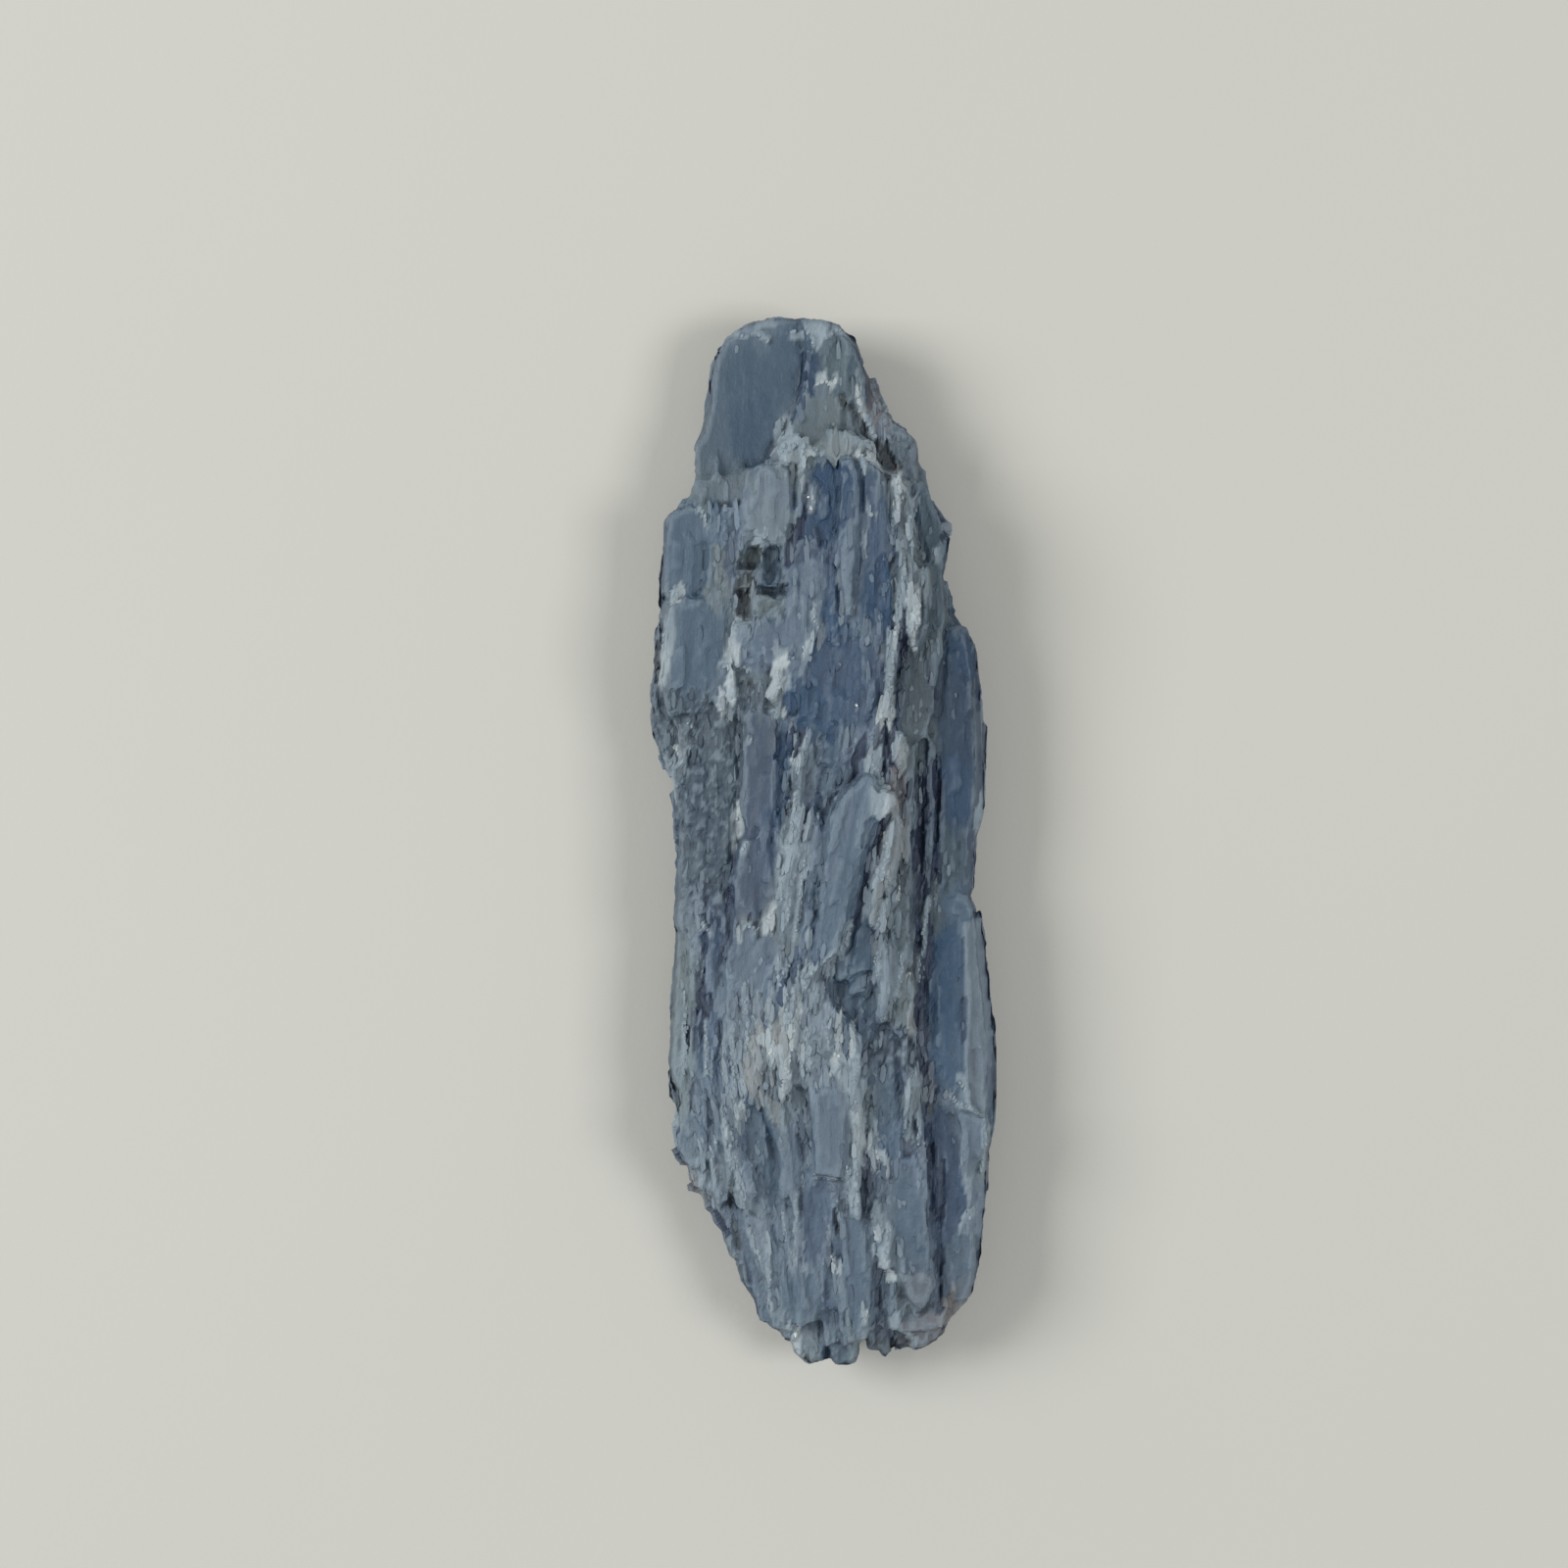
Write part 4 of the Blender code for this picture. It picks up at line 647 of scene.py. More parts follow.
UPPER_TONES = {
    "steel": [(-9.4, 20.5), (-7.9, 20), (-9, 18.4), (-8.8, 14.2), (-7.4, 13), (-9.2, 12),
              (-6.9, 21)],
    "steel_pale": [(-7.1, 22.2), (-8.8, 21.9), (-7.8, 11.4)],
    "lavender": [(-5.8, 22.6), (-4, 24.3), (-2.2, 22.8), (2.4, 21.6), (2, 18.6), (1.5, 19.8),
                 (-0.4, 18.4), (-2.3, 14.6), (-4.6, 13.2), (-2.2, 13.2), (3.4, 14), (2.2, 16.6),
                 (-1.6, 17)],
    "lavender_pale": [(-3.8, 22.8), (-4.4, 21.4), (-0.5, 15.6), (7.7, 19.6), (1.9, 17.2)],
    "grey_green": [(-3, 21.2), (-2, 24.2), (5.6, 21.8), (6, 19), (7.4, 17.4), (-4.2, 16.1),
                   (-6.6, 17.6), (5.2, 18)],
    "pale": [(-8.1, 22.4), (-5.6, 14.8), (5.3, 16.8), (6.2, 22.8), (8.8, 21.7), (4.7, 13.2),
             (-10.7, 13.6), (4.6, 14.6), (-3.6, 20.5), (-1.2, 13.2)],
    "frost": [(-0.6, 23.3), (-0.7, 22.5), (5.1, 24), (5, 22.8), (6.3, 15.6), (6.2, 13.2),
              (-9.8, 16.5), (-3, 11.8), (3.3, 21.9), (-6.2, 11.9), (-10.7, 12.2)],
    "navy": [(-1.3, 22), (-1.5, 20.6), (5.4, 14.3), (5.3, 12.6)],
    "deep": [(0.4, 24.4), (0, 22.4), (0.1, 21), (3.5, 17.4), (3.3, 16), (4.4, 15.6), (9.6, 13.4),
             (0.6, 14.6), (-0.3, 12.6)],
    "indigo": [(1.2, 22.8), (3.6, 20), (0.6, 17.4), (1.4, 12.6), (0.5, 19.6), (2.4, 12.6),
               (4.5, 18.4)],
    "slate": [(2.6, 24.4), (3.9, 24.2), (4.6, 20.4), (7.5, 23.4), (7.2, 21.4), (3.2, 13),
              (-2.9, 15.4)],
    "teal": [(8.1, 21.2), (8.4, 19.4), (8.9, 13.8)],
    "olive": [(8.4, 17.2), (7, 14.4), (8.2, 14.4), (6.6, 12.2), (7.6, 15.6)],
    "mauve": [(-1.9, 18.6), (-0.7, 20.2), (-1, 19.2), (-6, 19.8), (-3.5, 13.6)],
    "umber": [(-5, 18.9), (-4.9, 15.8), (-3.4, 17.0), (-4.8, 17.0), (-11.5, 12.4)],
    "pit_slate": [(-3.3, 19), (-3.3, 18.3)],
    "grey": [(-6.4, 16.2), (-6, 18.4), (-11, 15.8), (7.6, 12.2)],
}

# %% Where each tone is on the middle and on the lower third, in mm
MIDDLE_TONES = {
    "deep": [(-0.4, 9.6), (0.4, 8), (-2.6, 3), (-2.9, 5), (9.3, 4.8), (9.2, 2.4), (-1.8, 10.2)],
    "indigo": [(1.6, 8.4), (-3.5, 1.2), (-0.7, 2.2), (-4.2, -2), (-1.9, -8), (-0.4, -6.2),
               (-7.6, -7.6), (0.4, 11), (1.1, 10), (-3.6, 3.4)],
    "navy": [(-2.4, 7.1), (7.1, 5), (6.9, 2), (6.6, 0), (6.5, -3), (6.6, -5.6), (6.8, -9),
             (6.8, -12), (3.7, 0.4), (2.8, -3.2), (2.1, -5), (-6.2, -4), (7.8, 2.8), (7.7, -1),
             (-8.1, -10.2), (4.3, 6.6), (2.4, 6.2), (3.8, 10.2)],
    "slate": [(-8.4, 4.4), (-8.2, 2), (-6.8, 3), (-6.6, -1.4), (0.3, 4.6), (1.1, 11.6),
              (2.6, 10.8), (8.7, 10.6), (9.2, 0.4), (9, -3.4), (2.2, -9), (2, -10.8), (3, -12),
              (-0.4, -2.6), (-7, -9), (1.3, 4), (8.4, 7.6), (-10.2, 0.6)],
    "teal": [(9.8, 8.6), (9.3, 6.8), (2.7, -6.6), (8.4, -1.8), (7.7, 0.8), (10.2, 11)],
    "blue": [(8.4, -7), (8.6, -9.4), (8.5, -12), (8.6, -14), (9, 3.4)],
    "mauve": [(-4.6, 7.2), (-4.7, 4.8), (-4.6, 1.6), (-4.6, -4.4), (-7.4, -1), (-6.4, -5.6),
              (5.5, 9.4), (9.6, -1), (-8, -3.2), (2.6, -2), (-5, -1.4)],
    "umber": [(-6, 7.9), (5.6, -1.6), (5.8, 3.8), (-9, 7.5), (6, -9)],
    "grey": [(-11.2, 9.6), (-7.4, 7), (-5.6, 6.2), (5.3, -3.4), (5.4, -7.6), (-9.4, -2.4),
             (-10.6, 8.2), (6, 1.6), (-6.9, 5), (-4.4, 10.8)],
    "grey_green": [(-10.4, 7.2), (-1.6, 3.2), (-2.5, -4.4), (3.6, -6.4), (5.4, -10.8),
                   (-9.3, -8.6), (-2.4, -6.6), (-4, 9.2), (-9.4, -11)],
    "olive": [(6.3, 8.2), (6.3, 5.2), (7.6, 7.8), (5.6, -5.4), (7.4, 10), (7.3, -3.8), (5, 11.4),
              (-5.2, 10.2)],
    "steel": [(-8.6, 11), (-9, 9.6), (0.8, -5.4), (9.8, -4.4), (-0.2, -4.2)],
    "steel_pale": [(2.3, 0.4), (1.6, -3), (1.5, -1), (2.9, 2.4), (1.4, -5.2)],
    "lavender": [(1.5, 2.6), (1.8, 7.2), (3.2, 6.9), (-3.6, -8.2), (-5.4, -9), (10.3, -7.4),
                 (10.6, -11), (0.6, -0.8), (-3.2, -10), (-6.4, -10.4), (-0.7, -0.6),
                 (-1.2, -5.2), (11.2, -13.4)],
    "lavender_pale": [(-5, -7.2), (-8.6, -4.6), (4.2, -8.2), (-8.5, -6.8), (0.3, -13),
                      (-5.8, -13), (10, -9), (-0.5, -11.6)],
    "pale": [(-10, 5.4), (-1.7, 5.5), (-1.4, 1), (-1.2, -2.2), (4.4, 10.2), (3.5, 4.2),
             (4.3, -2.4), (1.1, -7.2), (-0.8, -8.2), (-1.6, -9.4), (4.4, -10.6), (-4.8, -10.6),
             (-2.9, -2.6), (5.3, 6.6), (-2.4, 0.6), (10.7, 3), (10.6, 8), (-2.1, -3), (3.5, -5)],
    "frost": [(-6.9, 9.1), (-3.3, 8.9), (-9.8, 6.2), (-5.8, 1.7), (3.9, 2.9), (4.3, 8.8),
              (-5.3, -5.8), (-3.5, -5.3), (-2.2, -11.2), (-2, -12.8), (-3.4, -13.6), (5.9, -9.4),
              (3.8, 1.6), (5.3, 5), (1.5, -14), (-1.2, -13.6), (-4.6, -12.4), (2.1, -13.2)],
    "beige": [(4.7, 2.6), (4.5, 0.6), (-2.9, -9), (5.9, -12.2), (-4.2, -14.4), (5.2, 1.4)],
    "rust": [(5.4, 3.4), (-2.2, -14.6)],
}
LOWER_TONES = {
    "navy": [(4, -13.6), (7.2, -16), (7.4, -19), (7.5, -22), (7.8, -25), (8, -29), (6.3, -20.8),
             (4.3, -32.4), (-7.3, -21.6), (-6, -24.8), (1.1, -25.7), (-9.9, -19.4), (5.3, -14.6),
             (8.7, -24.6), (3, -22), (3.6, -29.6), (-8.7, -12.6)],
    "deep": [(8.6, -20.4), (8.9, -22.6), (8.6, -26.4), (-3.7, -20.2), (4.6, -20), (-7.8, -14.6)],
    "blue": [(8.8, -15.4)],
    "teal": [(3.6, -16.6), (4.6, -17.8), (-3.5, -23.4), (-1.4, -19), (6.4, -27), (-4.8, -29.4),
             (4.6, -23.4), (8.9, -18.6)],
    "indigo": [(-4.6, -19.4), (-7.6, -12.6), (0, -24.4), (0.4, -27), (5.8, -24), (0.6, -31),
               (-7.1, -17.6), (-5.4, -27)],
    "slate": [(-8.3, -17), (-9.1, -20.4), (-0.8, -27.4), (3.3, -27), (1.6, -31.6), (0.5, -33.6),
              (1.7, -34.2), (-2.6, -30), (-4, -31.6), (-3, -27), (4.3, -30.6), (-4.6, -22.6),
              (11.7, -18.6), (-7.4, -18.6), (-8.3, -13.4), (4.7, -26)],
    "mauve": [(-1.3, -29.4), (9.8, -28.6), (9, -29.6), (11.6, -16), (6, -29.4), (-6.4, -26),
              (6.8, -30.8), (-7, -25.4)],
    "steel": [(-1, -21.6), (-1.5, -31.8), (9.3, -16.4), (-6.3, -15)],
    "lavender": [(0.7, -19), (-2.4, -22.4), (-7, -15.6), (10, -19.6), (2.4, -27.4), (2.3, -30),
                 (10.6, -24.4), (-2.2, -26), (1, -24), (-5.2, -21.4), (-8, -20.6), (-0.5, -17.4),
                 (3.3, -31.4), (6.5, -19.4), (-0.6, -29), (10.2, -14.8)],
    "lavender_pale": [(0.7, -21.8), (-4.6, -26.4), (-4.4, -28), (10, -17), (0.2, -16),
                      (-6.3, -17.6), (-5, -24)],
    "grey": [(-0.8, -15.4), (-6.6, -22.6), (-7.2, -24.4), (-3.4, -17), (10.8, -27.2),
             (-2.6, -32.8), (3.8, -34), (-1.6, -16.4), (-5.7, -31)],
    "grey_green": [(-9.6, -13.4), (-9.6, -16), (-9.6, -18), (-2.4, -20), (3.3, -19), (0.8, -14.6),
                   (11.3, -22.2), (-0.8, -34.8), (2.3, -35.2), (5.9, -17.8), (1.3, -16),
                   (-6.1, -28)],
    "pale": [(-5.6, -15.4), (-7.7, -22.6), (-6.1, -21.4), (2.5, -18), (2.4, -22.4), (2.4, -25),
             (4.3, -27.8), (9.8, -15.8), (11.2, -19.6), (9.8, -26), (-3.5, -29.6), (3, -32.4),
             (6.1, -16.4), (1.7, -17.8), (5.6, -34), (2.3, -15.6), (-1.7, -27.6)],
    "frost": [(-5.4, -17.8), (-5.9, -20), (-2.3, -15), (-2.2, -16), (2.7, -19.8), (3.6, -21.2),
              (4.4, -28.8), (0.8, -28.5), (-3.2, -14.6), (1.3, -14.2), (-1.9, -33.6),
              (3.9, -25.8), (10, -25)],
    "beige": [(-4.6, -16.4), (1, -15), (-8.7, -23.2), (-3.2, -12.4)],
    "olive": [(-3.1, -18.4), (5.4, -31)],
    "rust": [(7, -17.3), (9.8, -31), (7.6, -33.4), (6.4, -33.6), (-8.9, -23.9), (10.2, -30)],
    "tan": [(9.2, -32.4), (8.2, -33.4)],
    "umber": [(4.4, -35.4), (5.4, -30.7), (8.2, -34.3)],
}
SEEDS = [
    (x, y, tone)
    for zone in (CROWN_TONES, UPPER_TONES, MIDDLE_TONES, LOWER_TONES)
    for tone, places in zone.items() for x, y in places
]
print("named places:", len(SEEDS))

# %% Broken borders between chips
WANDER_SLOW = 0.30
WANDER_QUICK = 0.16
WANDER_ALONG = 2.4
SLOW_STRETCH = (0.8, 0.3, 0.5)
QUICK_STRETCH = (3.3, 1.5, 3.3)


def grain_of(point):
    """A point in the fibres' own coordinates: across them, along them and depth."""
    return point.x - float(fibre_shift(point.x, point.y)), point.y, point.z


def stretched(place, stretch, shift=0.0):
    """Where noise is read for a place: a small share along a direction makes long marks."""
    across, along, depth = (value * share for value, share in zip(place, stretch))
    return Vector((across, along, depth + shift))


def wandered(across, along, depth):
    """A place moved a little by noise, so that the borders between chips are frayed."""
    slow = noise.noise_vector(stretched((across, along, depth), SLOW_STRETCH))
    quick = noise.noise_vector(stretched((across, along, depth), QUICK_STRETCH))
    moved = slow * WANDER_SLOW + quick * WANDER_QUICK
    return Vector((across + moved.x, along + moved.y * WANDER_ALONG, depth + moved.z))


def tree_of(places, along_share):
    """A search tree in which a step along the fibres counts less than one across them."""
    tree = KDTree(len(places))
    for index, (across, along, depth) in enumerate(places):
        tree.insert((across, along * along_share, depth), index)
    tree.balance()
    return tree


print("borders wander by up to about", round(WANDER_SLOW + WANDER_QUICK, 2), "mm")

# %% Smooth, frayed and crumbly spots of the upper face
CALM_SPOTS = [  # x, y, reach across, reach along
    (-4.5, 31.0, 3.4, 5.2), (-9.2, 20.0, 1.4, 2.6), (-9.0, 12.5, 2.2, 3.4), (1.6, -1.5, 1.3, 4.0),
    (8.7, -10.5, 1.2, 6.0), (-4.6, -2.5, 1.4, 3.0), (9.4, 5.0, 1.3, 5.0), (0.7, -20.5, 1.1, 2.2),
    (2.4, -29.5, 0.9, 3.0),
]
FRAYED_SPOTS = [  # x, y, reach across, reach along
    (-1.5, -12.5, 4.5, 5.5), (4.6, -1.0, 1.8, 8.5), (-9.5, 8.5, 2.2, 3.0), (5.2, 17.0, 2.0, 7.0),
    (-6.0, -17.0, 2.5, 5.0), (-1.8, 4.0, 1.2, 6.0), (3.5, 29.5, 1.8, 3.5), (3.0, -20.0, 1.0, 9.0),
]
LEAST_FRAYED = 0.3
CRUMBLY_SPOTS = [  # x, y, reach across, reach along
    (-8.6, 5.0, 3.6, 6.2), (-7.6, -3.6, 2.2, 3.0), (4.6, -14.2, 2.0, 1.8), (-4.4, 17.6, 2.4, 2.0),
    (5.6, 27.0, 1.4, 2.2), (0.6, -13.8, 2.6, 1.2), (-6.0, 9.6, 2.6, 1.8),
]


def near_spots(spots, x, y):
    """1 in the middle of a list of oval spots, falling to 0 around them."""
    nearest = min(((x - cx) / rx) ** 2 + ((y - cy) / ry) ** 2 for cx, cy, rx, ry in spots)
    return math.exp(-nearest ** 2)


def frayedness(x, y):
    """1 where the blades are split to splinters, falling to LEAST_FRAYED elsewhere."""
    return LEAST_FRAYED + (1.0 - LEAST_FRAYED) * near_spots(FRAYED_SPOTS, x, y)


print("frayed in the middle:", round(frayedness(0.0, 0.0), 2))

# %% Tones and levels of the named places
NAMED_ALONG = 0.42
SOFT_BORDER = 0.30
NEAREST_PLACES = 6
TONE_LEVEL = {"frost": 0.10, "pale": 0.07, "beige": 0.05, "navy": -0.14, "umber": -0.16,
              "deep": -0.05, "olive": -0.04}

named_place = [grain_of(Vector((x, y, 0.0))) for x, y, _ in SEEDS]
named_tone = np.array([TONES[tone] for _, _, tone in SEEDS])
named_level = [TONE_LEVEL.get(tone, 0.0) for _, _, tone in SEEDS]
named_reach = [ACCENTS.get(tone, 1.0) for _, _, tone in SEEDS]
named_tree = tree_of(named_place, NAMED_ALONG)


def named_here(across, along, border):
    """Tone and level at a place of the upper face, mixed from the named places around it."""
    near = named_tree.find_n((across, along * NAMED_ALONG, 0.0), NEAREST_PLACES)
    found = sorted((distance * named_reach[index], index) for _, index, distance in near)
    shares = [math.exp((found[0][0] - distance) / border) for distance, _ in found]
    total = sum(shares)
    tone = sum(named_tone[index] * share for (_, index), share in zip(found, shares)) / total
    return tone, named_level[found[0][1]]


print("named places with a level of their own:", sum(map(bool, named_level)))

# %% Blades of the stacked edges and the back
HIDDEN_TONES = ["slate", "steel", "lavender", "grey_green", "deep", "mauve", "steel", "pale",
                "slate", "indigo", "grey", "steel_pale", "teal", "grey"]
HIDDEN_BLADES = 420
HIDDEN_ALONG = 0.12
LOW_LEVEL = 4.5
CHIP_SEED = 8

draw = random.Random(CHIP_SEED)
fused.normal_update()
body_grain = [grain_of(vert.co) for vert in fused.verts]
low_places = [place for place in body_grain if place[2] < LOW_LEVEL]
blade_places = draw.sample(low_places, HIDDEN_BLADES)
blade_tree = tree_of(blade_places, HIDDEN_ALONG)
blade_tone = [np.array(TONES[draw.choice(HIDDEN_TONES)]) for _ in blade_places]
print("blades of the edges and the back:", len(blade_places))

# %% Chips: long and narrow, each with one tone, one fading and one level
CHIPS = 6000
CHIP_ALONG = 0.27
CHIP_JITTER = (0.18, 0.5)
CHIP_BORDER = 0.10
CHIP_LEVEL = 0.105
FADE_SPREAD = 0.13
PALE_SHARE, DARK_SHARE = 0.14, 0.12
STRONG_FADE = (0.22, 0.48)
SIDE_LEVEL = (3.0, 4.3)
HIDDEN_FACING = (-0.3, 0.1)


def smooth_share(value, start, end):
    """0 up to the start and 1 from the end on, with a soft curve between them."""
    share = min(1.0, max(0.0, (value - start) / (end - start)))
    return share * share * (3.0 - 2.0 * share)


def faded(tone, fade):
    """A tone made paler and greyer where fade is above 0, and darker where it is below."""
    towards = np.where(fade > 0, BRUISE_AND_HIGHLIGHT, DARK_TONE_AND_SHADE)
    return tone + (towards - tone) * np.abs(fade)


def chip_at(vert):
    """Tone, fading and level of a chip whose middle is at a point of the skin."""
    across, along, depth = grain_of(vert.co)
    across += draw.gauss(0.0, CHIP_JITTER[0])
    along += draw.gauss(0.0, CHIP_JITTER[1])
    seen = smooth_share(vert.co.z, *SIDE_LEVEL) * smooth_share(vert.normal.z, *HIDDEN_FACING)
    tone, level = named_here(across, along, CHIP_BORDER)
    blade = blade_tree.find((across, along * HIDDEN_ALONG, depth))[1]
    tone = tone * seen + blade_tone[blade] * (1.0 - seen)
    luck = draw.random()
    frayed = frayedness(vert.co.x, vert.co.y)
    fade = FADE_SPREAD * draw.uniform(-1.0, 1.0)
    if luck < PALE_SHARE:
        fade = draw.uniform(*STRONG_FADE)
    elif luck > 1.0 - DARK_SHARE:
        fade = -draw.uniform(*STRONG_FADE)
    return tone, fade * frayed, level * seen + draw.uniform(-CHIP_LEVEL, CHIP_LEVEL) * frayed


fused.verts.ensure_lookup_table()
chip_verts = draw.sample(list(fused.verts), CHIPS)
chip_tree = tree_of([grain_of(vert.co) for vert in chip_verts], CHIP_ALONG)
chips = [chip_at(vert) for vert in chip_verts]
print("chips:", len(chips))
